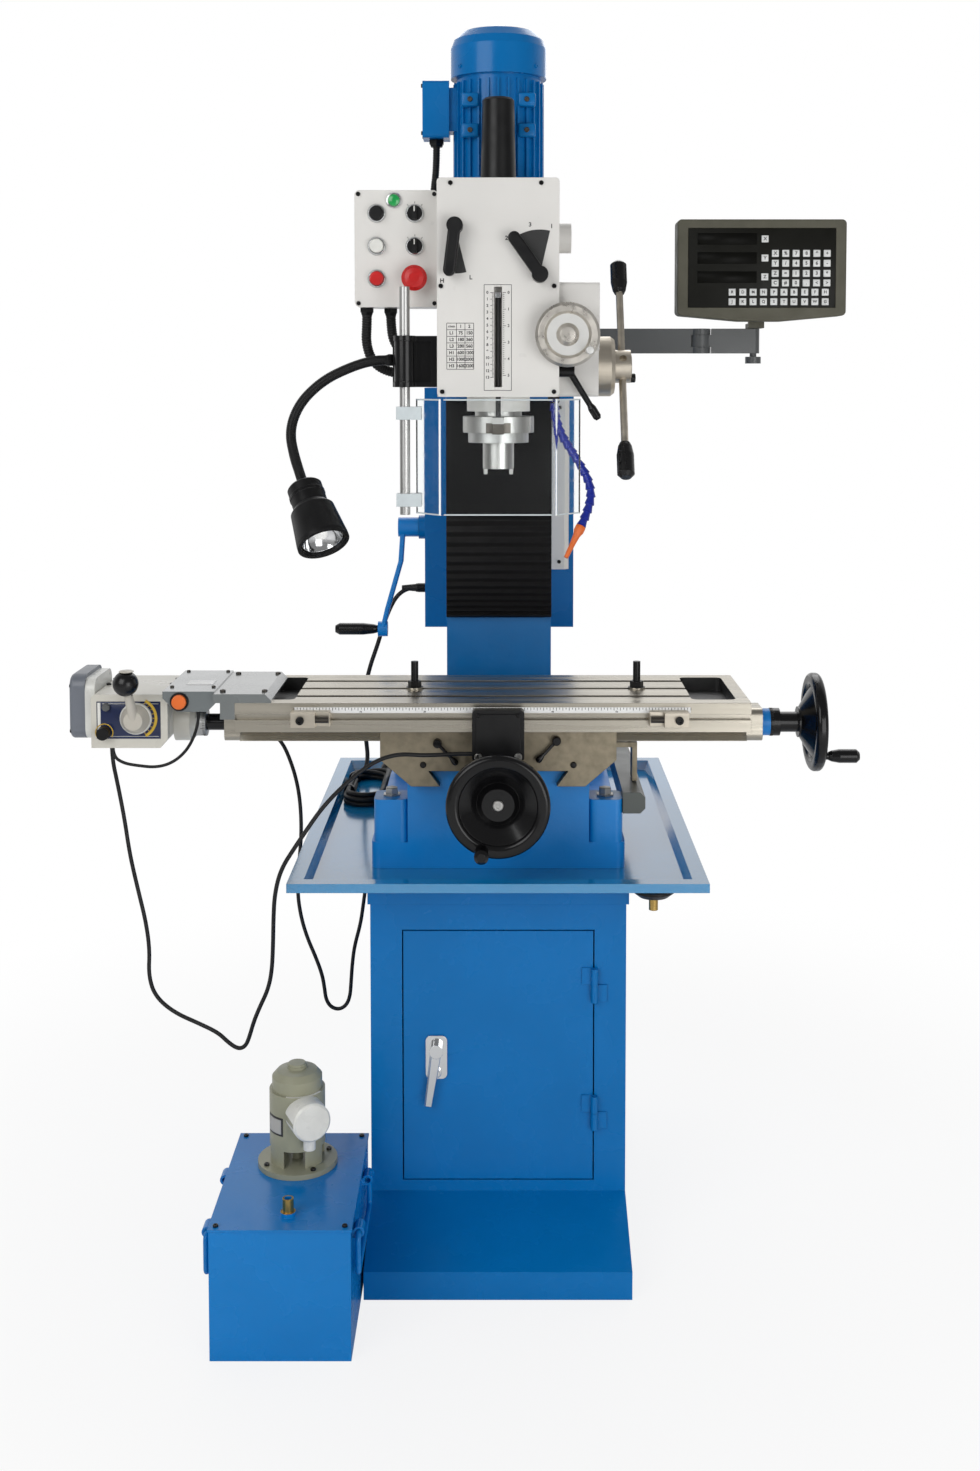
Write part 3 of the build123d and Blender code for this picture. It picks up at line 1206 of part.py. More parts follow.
def table_stop(x, side):
    """Stop block keyed in the table groove, with an adjusting screw towards the switch."""
    middle = GROOVE_Z + GROOVE_H / 2
    front = TABLE_FRONT_Y - WAY_GAP
    half = STOP_L / 2
    low, high = middle - STOP_H / 2, middle + STOP_H / 2
    body = block(x - half, x + half, front - STOP_T, front, low, high)
    end = x + side * half
    body -= block(end - STOP_NOTCH_L, end + STOP_NOTCH_L, front - STOP_T, front - STOP_T + STOP_NOTCH_T,
                  low, high)
    tongue_y = TABLE_FRONT_Y + GROOVE_DEPTH - WAY_GAP
    body += block(x - half, x + half, front, tongue_y, GROOVE_Z + WAY_GAP, GROOVE_Z + GROOVE_H - WAY_GAP)
    return [body]


def feed_housing():
    """Power-feed gearbox with its nose, motor ring and end cover."""
    x0 = FEED_X - FEED_L
    y1 = FEED_FRONT_Y + FEED_W
    top = FEED_BOTTOM_Z + FEED_H
    in_x, up_z = FEED_CUT
    outline = [(x0, FEED_BOTTOM_Z), (FEED_X - in_x, FEED_BOTTOM_Z), (FEED_X, FEED_BOTTOM_Z + up_z),
               (FEED_X, top), (x0, top)]
    box = prism_y(outline, FEED_FRONT_Y, y1)
    box = fillet(box.edges().filter_by(Axis.Y).group_by(Axis.Z)[-1], FEED_EDGE_R)
    nose = rod_x(FEED_NOSE_R, FEED_X, FEED_X + FEED_NOSE_L, TABLE_Y, TABLE_AXIS_Z)
    nose = chamfer(nose.edges().group_by(Axis.X)[-1], FEED_NOSE_CUT)
    box += nose
    box -= rod_x(JOURNAL_R + FREE_GAP, FEED_X - FEED_SOCKET, FEED_X + FEED_NOSE_L, TABLE_Y, TABLE_AXIS_Z)
    shaft_end = FEED_FRONT_Y + FEED_LEVER_SHAFT_L + FREE_GAP
    box -= rod_y(FEED_LEVER_SHAFT_R + RUN_GAP, FEED_FRONT_Y, shaft_end, FEED_LEVER_X, FEED_LEVER_Z)
    box -= rod_y(FEED_KNOB_STEM_R + RUN_GAP, FEED_FRONT_Y, FEED_FRONT_Y + FEED_KNOB_L, FEED_KNOB_X,
                 FEED_KNOB_Z)
    middle = (FEED_FRONT_Y + y1) / 2
    low = FEED_BOTTOM_Z + MOTOR_COVER_UP
    wide = MOTOR_COVER_W / 2
    ring = block(x0 - MOTOR_RING_L, x0, middle - wide, middle + wide, low,
                 low + MOTOR_COVER_H - MOTOR_RING_DROP)
    ring = fillet(ring.edges().filter_by(Axis.X), MOTOR_COVER_R)
    cover_x = x0 - MOTOR_RING_L
    cover = block(cover_x - MOTOR_COVER_L, cover_x, middle - wide, middle + wide, low, low + MOTOR_COVER_H)
    cover = fillet(cover.edges().filter_by(Axis.X), MOTOR_COVER_R)
    cover = fillet(cover.edges().group_by(Axis.X)[0], MOTOR_COVER_R / 3)
    return [box, ring, cover]


def feed_lever():
    """Direction lever with a ball knob."""
    front = FEED_FRONT_Y - WAY_GAP
    outline = [(0, 0), (FEED_HUB_R, 0), (FEED_HUB_R, FEED_HUB_L / 3), (FEED_HUB_R * 0.65, FEED_HUB_L),
               (0, FEED_HUB_L)]
    hub = facing_front(turned(outline), FEED_LEVER_X, front, FEED_LEVER_Z)
    hub += rod_y(FEED_LEVER_SHAFT_R, front, FEED_FRONT_Y + FEED_LEVER_SHAFT_L, FEED_LEVER_X, FEED_LEVER_Z)
    arm = turned([(0, 0), (FEED_BALL_R * 0.45, 0), (FEED_BALL_R * 0.3, FEED_ARM), (0, FEED_ARM)])
    place = Pos(FEED_LEVER_X, front - FEED_HUB_L * 0.6, FEED_LEVER_Z) * Rot(*FEED_ARM_LEAN, 0)
    ball = Pos(0, 0, FEED_ARM + FEED_BALL_R * 0.4) * Sphere(FEED_BALL_R)
    return [hub + place * (arm + ball)]


def feed_knob():
    """Speed knob with a pointer flat."""
    front = FEED_FRONT_Y - WAY_GAP
    outline = [(0, 0), (FEED_KNOB_R * 1.1, 0), (FEED_KNOB_R, FEED_KNOB_L), (0, FEED_KNOB_L)]
    knob = facing_front(turned(outline), FEED_KNOB_X, front, FEED_KNOB_Z)
    return [knob + rod_y(FEED_KNOB_STEM_R, front, front + FEED_KNOB_L, FEED_KNOB_X, FEED_KNOB_Z)]


def switch_box():
    """Feed switch box and the clamp plate that carries it on the table end."""
    top = SWITCHBOX_TOP_Z
    low = top - SWITCHBOX_H
    x1 = SWITCHBOX_X
    cut = SWITCHBOX_CUT
    outline = [(FEED_X, top), (x1, top), (x1, low + cut / 2), (x1 - cut / 2, low), (FEED_X + cut, low),
               (FEED_X, top - cut / 2)]
    box = prism_y(outline, SWITCHBOX_FRONT_Y, SWITCHBOX_BACK_Y)
    box -= rod_y(PUSH_R + FREE_GAP, SWITCHBOX_FRONT_Y, SWITCHBOX_FRONT_Y + PUSH_L, PUSH_X, PUSH_Z)
    plate = block(x1, TABLE_LEFT_X + CLAMP_PLATE_L, TABLE_FRONT_Y, SWITCHBOX_BACK_Y,
                  TABLE_TOP_Z, TABLE_TOP_Z + CLAMP_PLATE_T)
    plate = chamfer(plate.edges().group_by(Axis.X)[-1].filter_by(Axis.Y).group_by(Axis.Z)[-1], CLAMP_PLATE_CUT)
    plate += block(TABLE_LEFT_X - CLAMP_FLANGE_T, TABLE_LEFT_X, TABLE_FRONT_Y, SWITCHBOX_BACK_Y,
                   TABLE_TOP_Z - CLAMP_FLANGE_H, TABLE_TOP_Z)
    return [box, plate]


def switch_button():
    """Round push button of the feed switch box."""
    depth = SWITCHBOX_FRONT_Y + PUSH_L - PUSH_TRAVEL - WAY_GAP
    button = rod_y(PUSH_R, SWITCHBOX_FRONT_Y - PUSH_TRAVEL - PUSH_PROUD, depth, PUSH_X, PUSH_Z)
    return [fillet(button.edges().group_by(Axis.Y)[0], PUSH_PROUD / 2)]


def head_carriage():
    """Carriage on the column dovetail with the swivel face and the lift nut."""
    half = COLUMN_W / 2
    back = COLUMN_FACE_Y - WAY_GAP
    top = CARRIAGE_Z + CARRIAGE_H
    body = block(-half, half, CARRIAGE_FRONT_Y, back, CARRIAGE_Z, top)
    body = fillet(body.edges().filter_by(Axis.Z).group_by(Axis.Y)[0], CARRIAGE_EDGE_R)
    slope = (COLUMN_WAY_FACE - COLUMN_WAY_NECK) / 2 / COLUMN_WAY_D
    face = COLUMN_WAY_FACE / 2 + FREE_GAP + slope * WAY_GAP
    neck = COLUMN_WAY_NECK / 2 + FREE_GAP + slope * WAY_GAP
    slot_y = COLUMN_WAY_Y - WAY_GAP
    body -= prism_z(mirrored([(face, slot_y), (neck, back)]), CARRIAGE_Z, top)
    body += rod_y(SWIVEL_R, SWIVEL_FACE_Y, CARRIAGE_FRONT_Y, 0, TILT_Z)
    body += rod_y(SPIGOT_R, SWIVEL_FACE_Y - SPIGOT_L, SWIVEL_FACE_Y, 0, TILT_Z)
    z0 = CARRIAGE_Z + LIFT_NUT_UP
    wide = LIFT_GROOVE_W / 2 - LIFT_NUT_SIDE
    nut = block(-wide, wide, slot_y, COLUMN_WAY_Y + LIFT_GROOVE_D - LIFT_NUT_SIDE, z0, z0 + LIFT_NUT_H)
    nut -= rod_z(LIFT_R + FREE_GAP, z0, z0 + LIFT_NUT_H, 0, LIFT_Y)
    return [body, nut]


def column_bellows():
    """Apron below the carriage and the folded bellows under it."""
    half = BELLOWS_W / 2
    apron = block(-half, half, APRON_Y, APRON_Y + APRON_SHEET, BELLOWS_TOP_Z, CARRIAGE_Z)
    back = COLUMN_WAY_Y - BELLOWS_CLEAR
    valley = back - BELLOWS_D + BELLOWS_FOLD_D
    pitch = (BELLOWS_TOP_Z - BELLOWS_BOTTOM_Z) / BELLOWS_FOLDS
    outline = [(back, BELLOWS_BOTTOM_Z)]
    for fold in range(BELLOWS_FOLDS):
        z = BELLOWS_BOTTOM_Z + pitch * fold
        outline += [(valley, z), (back - BELLOWS_D, z + pitch / 2)]
    outline += [(valley, BELLOWS_TOP_Z), (back, BELLOWS_TOP_Z)]
    return [apron, prism_x(outline, -half, half)]


def head_housing():
    """Geared head with the quill bore, gear space, depth-rod channel and feed gearbox."""
    half = HEAD_SIDE_X
    head = block(-half, half, HEAD_FRONT_Y, HEAD_BACK_Y, HEAD_Z, HEAD_TOP_Z)
    head = round_upright(head, HEAD_EDGE_R)
    head += rod_z(COLLAR_R, COLLAR_Z, HEAD_Z, 0, SPINDLE_Y)
    wall = CAVITY_WALL
    head -= block(wall - half, half - wall, SPINDLE_Y + CAVITY_BEHIND, HEAD_BACK_Y - wall, HEAD_Z + wall,
                  HEAD_TOP_Z - wall)
    head -= rod_y(SPIGOT_R + RUN_GAP, SWIVEL_FACE_Y - SPIGOT_L - WAY_GAP, HEAD_BACK_Y, 0, TILT_Z)
    head -= rod_z(QUILL_R + RUN_GAP, COLLAR_Z, SPINDLE_TOP_Z + BORE_END, 0, SPINDLE_Y)
    channel = SLOT_W / 2 + CHANNEL_SIDE
    channel_y = DEPTH_ROD_Y + DEPTH_ROD_R + CHANNEL_SIDE
    head -= block(-channel, channel, HEAD_FRONT_Y, channel_y, HEAD_Z, SLOT_Z + SLOT_H)
    x0, x1 = half, FEEDBOX_X
    top = HEAD_Z + FEEDBOX_H
    step_y = FEEDBOX_FRONT_Y + FEEDBOX_STEP
    step_z = HEAD_Z + FEEDBOX_STEP_H
    run, drop = FEEDBOX_SLOPE
    side = [(step_y, HEAD_Z), (FEEDBOX_BACK_Y, HEAD_Z), (FEEDBOX_BACK_Y, top - drop),
            (FEEDBOX_BACK_Y - run, top),
            (FEEDBOX_FRONT_Y, top), (FEEDBOX_FRONT_Y, step_z), (step_y, step_z)]
    gearbox = prism_x(side, x0, x1)
    gearbox = fillet(gearbox.edges().filter_by(Axis.X), FEEDBOX_R)
    gearbox += rod_x(SIDE_BOSS_R, x0, x0 + SIDE_BOSS_L, SPINDLE_Y, HEAD_Z + SIDE_BOSS_UP)
    head += gearbox
    head -= rod_x(PINION_R + RUN_GAP, -PINION_IN - WAY_GAP, x1, HUB_Y, HUB_Z)
    head -= rod_y(FINE_SHAFT_R + RUN_GAP, FEEDBOX_FRONT_Y, FEEDBOX_FRONT_Y + FINE_SHAFT_L + WAY_GAP, FINE_X,
                  FINE_Z)
    lock_x = half - QUILL_LOCK_SHAFT_L - WAY_GAP
    head -= rod_x(QUILL_LOCK_SHAFT_R + RUN_GAP, lock_x, half, QUILL_LOCK_Y, QUILL_LOCK_Z)
    for x, z in ((RANGE_X, RANGE_Z), (SPEED_X, SPEED_Z)):
        head -= rod_y(LEVER_SHAFT_R + RUN_GAP, HEAD_FRONT_Y, HEAD_FRONT_Y + LEVER_SHAFT_L + WAY_GAP, x, z)
    return [head]


def front_plate():
    """Face plate with the depth-scale slot and the lever holes."""
    half = HEAD_SIDE_X
    plate = block(-half, half, PLATE_Y, HEAD_FRONT_Y, HEAD_Z, HEAD_TOP_Z)
    plate = fillet(plate.edges().filter_by(Axis.Y), PLATE_R)
    plate -= block(-SLOT_W / 2, SLOT_W / 2, PLATE_Y, HEAD_FRONT_Y, SLOT_Z, SLOT_Z + SLOT_H)
    for x, z in ((RANGE_X, RANGE_Z), (SPEED_X, SPEED_Z)):
        plate -= rod_y(LEVER_SHAFT_R + RUN_GAP, PLATE_Y, HEAD_FRONT_Y, x, z)
    return [plate]


def motor():
    """Finned motor with its flange, fan cowl and terminal box."""
    flange_z = HEAD_TOP_Z
    top = flange_z + MOTOR_BODY_H
    body = rod_z(MOTOR_FLANGE_R, flange_z, flange_z + MOTOR_FLANGE_H, 0, MOTOR_Y)
    body += rod_z(MOTOR_R, flange_z + MOTOR_FLANGE_H, top, 0, MOTOR_Y)
    fin_z = flange_z + MOTOR_FLANGE_H + MOTOR_FIN_LOW
    fin = block(0, MOTOR_R + MOTOR_FIN_H, -MOTOR_FIN_T / 2, MOTOR_FIN_T / 2, fin_z, top - MOTOR_FIN_HIGH)
    for index in range(MOTOR_FINS):
        body += Pos(0, MOTOR_Y, 0) * Rot(0, 0, 360 * index / MOTOR_FINS) * fin
    dome = COWL_H + COWL_DOME_H
    cowl = turned([(0, 0), (COWL_R, 0), (COWL_R, COWL_H), (COWL_R * 0.94, COWL_H + COWL_DOME_H * 0.4),
                   (COWL_R * 0.75, dome - COWL_DOME_H * 0.18), (COWL_R * 0.43, dome), (0, dome)])
    x1 = -MOTOR_R - TERMINAL_OUT
    z0, z1 = TERMINAL_Z, TERMINAL_Z + TERMINAL_H
    terminal = block(x1 - TERMINAL_W, x1, MOTOR_Y - TERMINAL_D / 2, MOTOR_Y + TERMINAL_D / 2, z0, z1)
    terminal = fillet(terminal.edges().filter_by(Axis.X), TERMINAL_R)
    half = TERMINAL_PAD / 2
    pad = block(x1, TERMINAL_OUT - MOTOR_R, MOTOR_Y - half, MOTOR_Y + half, z0 + TERMINAL_OUT,
                z1 - TERMINAL_OUT)
    return [body + terminal + pad, Pos(0, MOTOR_Y, top) * cowl]


def drawbar_cap():
    """Tapered cover over the drawbar."""
    cap = turned([(0, 0), (CAP_FOOT_R, 0), (CAP_TOP_R, CAP_H - CAP_EDGE), (CAP_TOP_R - CAP_EDGE, CAP_H),
                  (0, CAP_H)])
    return [Pos(0, SPINDLE_Y, HEAD_TOP_Z) * cap]


def quill():
    """Quill sleeve with its nose ring, clamp ring, depth rod and pointer."""
    low = QUILL_LOW_Z
    clamp_z = low + QUILL_NOSE_H
    sleeve = rod_z(QUILL_R, low, low + QUILL_L, 0, SPINDLE_Y) + rod_z(QUILL_NOSE_R, low, clamp_z, 0, SPINDLE_Y)
    sleeve -= rod_z(SPINDLE_R + RUN_GAP, low, low + QUILL_L, 0, SPINDLE_Y)
    ring = rod_z(CLAMP_RING_R, clamp_z, clamp_z + CLAMP_RING_H, 0, SPINDLE_Y)
    ring += block(-CLAMP_LUG, CLAMP_LUG, DEPTH_ROD_Y - CLAMP_LUG, SPINDLE_Y - QUILL_R, clamp_z,
                  clamp_z + CLAMP_RING_H)
    ring -= rod_z(QUILL_R, clamp_z, clamp_z + CLAMP_RING_H, 0, SPINDLE_Y)
    ring += rod_z(DEPTH_ROD_R, clamp_z + CLAMP_RING_H, DEPTH_ROD_TOP_Z, 0, DEPTH_ROD_Y)
    ring += block(-DEPTH_ROD_R, DEPTH_ROD_R, PLATE_Y - POINTER_PROUD, DEPTH_ROD_Y,
                  DEPTH_ROD_TOP_Z - POINTER_H, DEPTH_ROD_TOP_Z)
    return [sleeve, ring]


def spindle():
    """Spindle with its nose, drive dogs and taper socket."""
    low = QUILL_LOW_Z - WAY_GAP - NOSE_L
    body = rod_z(NOSE_R, low, low + NOSE_L, 0, SPINDLE_Y) + rod_z(SPINDLE_R, low + NOSE_L, SPINDLE_TOP_Z, 0,
                                                                  SPINDLE_Y)
    for side in (-1, 1):
        near, far = side * (SOCKET_MOUTH_R + DOG_INSET), side * (NOSE_R - DOG_INSET)
        body += block(min(near, far), max(near, far), SPINDLE_Y - DOG_W / 2, SPINDLE_Y + DOG_W / 2,
                      low - DOG_H, low)
    socket = turned([(0, 0), (SOCKET_MOUTH_R, 0), (SOCKET_R, SOCKET_TAPER_L), (SOCKET_R, SOCKET_L),
                     (DRAWBAR_R, SOCKET_L),
                     (DRAWBAR_R, SPINDLE_TOP_Z - low), (0, SPINDLE_TOP_Z - low)])
    return [body - Pos(0, SPINDLE_Y, low) * socket]


def downfeed_hub():
    """Down-feed drum on the pinion shaft, with two spokes and grips."""
    x = FEEDBOX_X + WAY_GAP
    end = HUB_L + HUB_COLLAR_L
    outline = [(0, 0), (HUB_R, 0), (HUB_R, HUB_L * 0.8), (HUB_R * 0.9, HUB_L), (HUB_COLLAR_R, HUB_L),
               (HUB_COLLAR_R, end), (0, end)]
    hub = facing_right(turned(outline), x, HUB_Y, HUB_Z)
    hub += rod_x(PINION_R, -PINION_IN, x, HUB_Y, HUB_Z)
    spoke_x = x + HUB_L + HUB_COLLAR_L / 2
    hole = rod_z(SPOKE_R, HUB_COLLAR_R - 2 * SPOKE_R, HUB_COLLAR_R, 0, 0)
    hub -= Pos(spoke_x, HUB_Y, HUB_Z) * Rot(90 - SPOKE_LEAN, 0, 0) * hole
    grips = []
    for turn in (-SPOKE_LEAN, 180 - SPOKE_LEAN):
        place = Pos(spoke_x, HUB_Y, HUB_Z) * Rot(turn, 0, 0)
        foot = SPOKE_L - SPOKE_GRIP_L
        hub += place * rod_z(SPOKE_R, HUB_COLLAR_R - SPOKE_R, foot, 0, 0)
        grips.append(place * Pos(0, 0, foot) * turned_grip(SPOKE_GRIP_R, SPOKE_GRIP_L))
    return [hub] + grips


def fine_feed_wheel():
    """Knurled fine-feed wheel on the worm shaft."""
    back = FEEDBOX_FRONT_Y - FINE_STANDOFF
    edge = FINE_T / 5
    wheel = turned([(0, 0), (FINE_R - edge, 0), (FINE_R, edge), (FINE_R, FINE_T - edge),
                    (FINE_R - edge, FINE_T),
                    (FINE_R - 3 * edge, FINE_T), (FINE_R - 4 * edge, FINE_T - edge), (4 * edge, FINE_T - edge),
                    (3 * edge, FINE_T), (0, FINE_T)])
    wheel = facing_front(wheel, FINE_X, back, FINE_Z)
    seat = FEEDBOX_FRONT_Y - WAY_GAP
    wheel += rod_y(FINE_NECK_R, back, seat, FINE_X, FINE_Z)
    return [wheel + rod_y(FINE_SHAFT_R, seat, FEEDBOX_FRONT_Y + FINE_SHAFT_L, FINE_X, FINE_Z)]


def quill_lock():
    """Clamp lever on the side of the head."""
    x = HEAD_SIDE_X + WAY_GAP
    hub = rod_x(QUILL_LOCK_R, x, x + QUILL_LOCK_L, QUILL_LOCK_Y, QUILL_LOCK_Z)
    hub += rod_x(QUILL_LOCK_SHAFT_R, HEAD_SIDE_X - QUILL_LOCK_SHAFT_L, x, QUILL_LOCK_Y, QUILL_LOCK_Z)
    reach = math.hypot(QUILL_LOCK_DROP, QUILL_LOCK_OUT)
    thick = QUILL_LOCK_SHAFT_R
    arm = turned([(0, 0), (thick * 0.8, 0), (thick * 0.7, reach * 0.7), (thick, reach * 0.77),
                  (thick, reach * 0.95),
                  (thick * 0.6, reach), (0, reach)])
    lean = math.degrees(math.atan2(QUILL_LOCK_OUT, QUILL_LOCK_DROP))
    return [hub + Pos(x + QUILL_LOCK_L * 0.67, QUILL_LOCK_Y, QUILL_LOCK_Z) * Rot(0, 180 - lean, 0) * arm]


def gear_lever(x, z, lean):
    """Gear lever with a round hub and a rounded arm on the face plate."""
    back = PLATE_Y - WAY_GAP
    hub = rod_y(LEVER_HUB_R, back - LEVER_STANDOFF - LEVER_T, back, x, z)
    hub += rod_y(LEVER_SHAFT_R, back, HEAD_FRONT_Y + LEVER_SHAFT_L, x, z)
    arm = Pos(0, LEVER_L / 2) * SlotOverall(LEVER_L + LEVER_W, LEVER_W, rotation=90)
    arm = fillet(extrude(arm, amount=LEVER_T).edges().group_by(Axis.Z)[-1], LEVER_T / 4)
    place = Pos(x, back - LEVER_STANDOFF, z) * Rot(0, lean, 0) * Rot(90, 0, 0)
    return [hub + place * arm]


def control_box():
    """Hollow control box with raised rings for its buttons."""
    x1 = CONTROL_X + CONTROL_W
    y1 = CONTROL_FRONT_Y + CONTROL_D
    top = CONTROL_Z + CONTROL_H
    box = block(CONTROL_X, x1, CONTROL_FRONT_Y, y1, CONTROL_Z, top)
    box = fillet(box.edges().filter_by(Axis.Y), CONTROL_R)
    wall = CONTROL_SHEET
    box -= block(CONTROL_X + wall, x1 - wall, CONTROL_FRONT_Y + wall, y1 - wall, CONTROL_Z + wall, top - wall)
    for column_index, x in enumerate(BUTTON_XS):
        for row, z in enumerate(BUTTON_ZS):
            stem, bore, outer, thick = STEM_R, SELECTOR_R, BEZEL_R, BEZEL_T
            if (column_index, row) == (1, 2):
                stem, bore, outer, thick = MUSHROOM_STEM_R, MUSHROOM_STEM_R, MUSHROOM_BEZEL_R, MUSHROOM_BEZEL_T
            ring = rod_y(outer, CONTROL_FRONT_Y - thick, CONTROL_FRONT_Y, x, z)
            ring -= rod_y(bore + FREE_GAP, CONTROL_FRONT_Y - thick, CONTROL_FRONT_Y, x, z)
            box += ring
            box -= rod_y(stem + RUN_GAP, CONTROL_FRONT_Y, CONTROL_FRONT_Y + wall, x, z)
    return [box]


def push_button(column_index, row):
    """Sprung round button."""
    x, z = BUTTON_XS[column_index], BUTTON_ZS[row]
    back = CONTROL_FRONT_Y - PUSH_TRAVEL - WAY_GAP
    cap = rod_y(BUTTON_R, back - BUTTON_CAP, back, x, z)
    cap = fillet(cap.edges().group_by(Axis.Y)[0], BUTTON_CAP / 4)
    return [cap + rod_y(STEM_R, back, CONTROL_FRONT_Y + STEM_L, x, z)]


def emergency_stop():
    """Mushroom button."""
    x, z = BUTTON_XS[1], BUTTON_ZS[2]
    back = CONTROL_FRONT_Y - MUSHROOM_BEZEL_T - MUSHROOM_TRAVEL - WAY_GAP
    head = turned([(0, 0), (MUSHROOM_R * 0.85, 0), (MUSHROOM_R, MUSHROOM_T * 0.25),
                   (MUSHROOM_R, MUSHROOM_T * 0.6),
                   (MUSHROOM_R * 0.75, MUSHROOM_T * 0.94), (MUSHROOM_R * 0.4, MUSHROOM_T), (0, MUSHROOM_T)])
    return [facing_front(head, x, back, z) + rod_y(MUSHROOM_STEM_R, back, CONTROL_FRONT_Y + STEM_L, x, z)]


def selector(row):
    """Selector knob with a grip bar."""
    x, z = BUTTON_XS[1], BUTTON_ZS[row]
    back = CONTROL_FRONT_Y - WAY_GAP
    knob = rod_y(SELECTOR_R, back - SELECTOR_T, back, x, z)
    wide, tall = SELECTOR_BAR
    face = back - SELECTOR_T
    reach = SELECTOR_R * 0.9
    knob += block(x - wide / 2, x + wide / 2, face - tall, face, z - reach, z + reach)
    return [knob + rod_y(STEM_R, back, CONTROL_FRONT_Y + STEM_L, x, z)]


def guard_bracket():
    """Fork on the head side that holds the guard barrel, with a web for the lamp."""
    z0, z1 = GUARD_Z, GUARD_TOP_Z
    x1 = -HEAD_SIDE_X
    x0 = x1 - GUARD_PAD_T
    front = ROD_Y + ROD_R
    bracket = block(x0, x1, front, ROD_Y + GUARD_PAD_BACK, z0, z1)
    bracket += block(LAMP_X, x0, LAMP_Y - LAMP_WEB / 2, LAMP_Y + LAMP_WEB / 2, z0, z1)
    for z in (z0, z1 - GUARD_EAR):
        bracket += rod_z(GUARD_EAR_R, z, z + GUARD_EAR, ROD_X, ROD_Y)
        bracket += block(ROD_X - GUARD_EAR_R, ROD_X + GUARD_EAR_R, ROD_Y, LAMP_Y, z, z + GUARD_EAR)
        bracket += block(ROD_X, x0, front, LAMP_Y, z, z + GUARD_EAR)
    return [bracket - rod_z(ROD_R + FREE_GAP, z0, z1, ROD_X, ROD_Y)]


def guard_barrel():
    """Turning barrel between the fork ears."""
    z0 = GUARD_Z + GUARD_EAR + WAY_GAP
    z1 = GUARD_TOP_Z - GUARD_EAR - WAY_GAP
    return [rod_z(BARREL_R, z0, z1, ROD_X, ROD_Y) - rod_z(ROD_R + RUN_GAP, z0, z1, ROD_X, ROD_Y)]


def guard_rod():
    """Height rod of the guard."""
    return [rod_z(ROD_R, ROD_Z, ROD_Z + ROD_L, ROD_X, ROD_Y)]


def guard_screen():
    """Bent screen with the two blocks that grip the rod."""
    line = Polyline((-SCREEN_SPREAD, SCREEN_BACK_Y), (-SCREEN_HALF, SCREEN_Y), (SCREEN_HALF, SCREEN_Y),
                    (SCREEN_SPREAD, SCREEN_BACK_Y))
    line = fillet(line.vertices().group_by(Axis.Y)[0], SCREEN_BEND_R)
    band = trace(line, line_width=SCREEN_T)
    screen = Pos(0, 0, SCREEN_Z) * extrude(band, amount=SCREEN_H)
    parts = [screen]
    reach = 1.6 * ROD_R
    for z in (SCREEN_Z + SCREEN_GRIP_IN, SCREEN_Z + SCREEN_H - SCREEN_GRIP_IN - SCREEN_GRIP_H):
        grip = block(ROD_X - reach, ROD_R - SCREEN_SPREAD, ROD_Y - reach, ROD_Y + reach, z, z + SCREEN_GRIP_H)
        grip -= rod_z(ROD_R, z, z + SCREEN_GRIP_H, ROD_X, ROD_Y)
        parts.append(grip - screen)
    return parts


def work_lamp():
    """Gooseneck with a flared lamp head."""
    points = [(LAMP_X + x, LAMP_Y + y, GUARD_Z + NECK_UP + z) for x, y, z in NECK_RUNS]
    neck = tube("lamp neck", points, NECK_R)
    tail = Vector(*points[-1])
    aim = (tail - Vector(*points[-2])).normalized()
    frame = Plane(origin=tail, z_dir=aim)
    shoulder, flare = LAMP_REACH * 0.36, LAMP_REACH * 0.44
    back = LAMP_REACH * 0.66
    mouth = LAMP_RIM_R - LAMP_WALL
    shade = turned([(0, 0), (LAMP_SOCKET_R * 0.9, 0), (LAMP_SOCKET_R, LAMP_WALL / 2),
                    (LAMP_SOCKET_R, shoulder), (mouth, flare), (LAMP_RIM_R, LAMP_REACH - LAMP_WALL),
                    (LAMP_RIM_R, LAMP_REACH), (mouth, LAMP_REACH), (mouth - LAMP_WALL, back), (0, back)])
    return [neck, frame * shade]


def coolant_hose():
    """Segmented hose under the head with its nozzle."""
    points = [(HOSE_X + x, HOSE_Y + y, HEAD_Z + z) for x, y, z in HOSE_RUNS]
    hose = tube("coolant hose", points, HOSE_R)
    tail = Vector(*points[-1])
    aim = (tail - Vector(*points[-2])).normalized()
    nozzle = turned([(0, 0), (HOSE_R, 0), (HOSE_R, NOZZLE_L * 0.18), (NOZZLE_TIP_R * 1.6, NOZZLE_L * 0.3),
                     (NOZZLE_TIP_R, NOZZLE_L), (0, NOZZLE_L)])
    return [hose, Plane(origin=tail, z_dir=aim) * nozzle]


def control_conduits():
    """Flexible conduits from the control box and the motor to the head."""
    conduits = []
    for route in CONTROL_ROUTES:
        start = (route[0][0], route[0][1], CONTROL_Z)
        end = (-HEAD_SIDE_X, route[-1][1], route[-1][2])
        conduits.append(tube("control conduit", anchored(route, start, end), CONDUIT_R))
    start = (-MOTOR_R - TERMINAL_OUT - TERMINAL_W / 2, MOTOR_Y, TERMINAL_Z)
    end = (MOTOR_ROUTE[-1][0], CONTROL_FRONT_Y + CONTROL_D, CONTROL_Z + CONTROL_H * 0.8)
    return conduits + [tube("motor conduit", anchored(MOTOR_ROUTE, start, end), MOTOR_CONDUIT_R)]


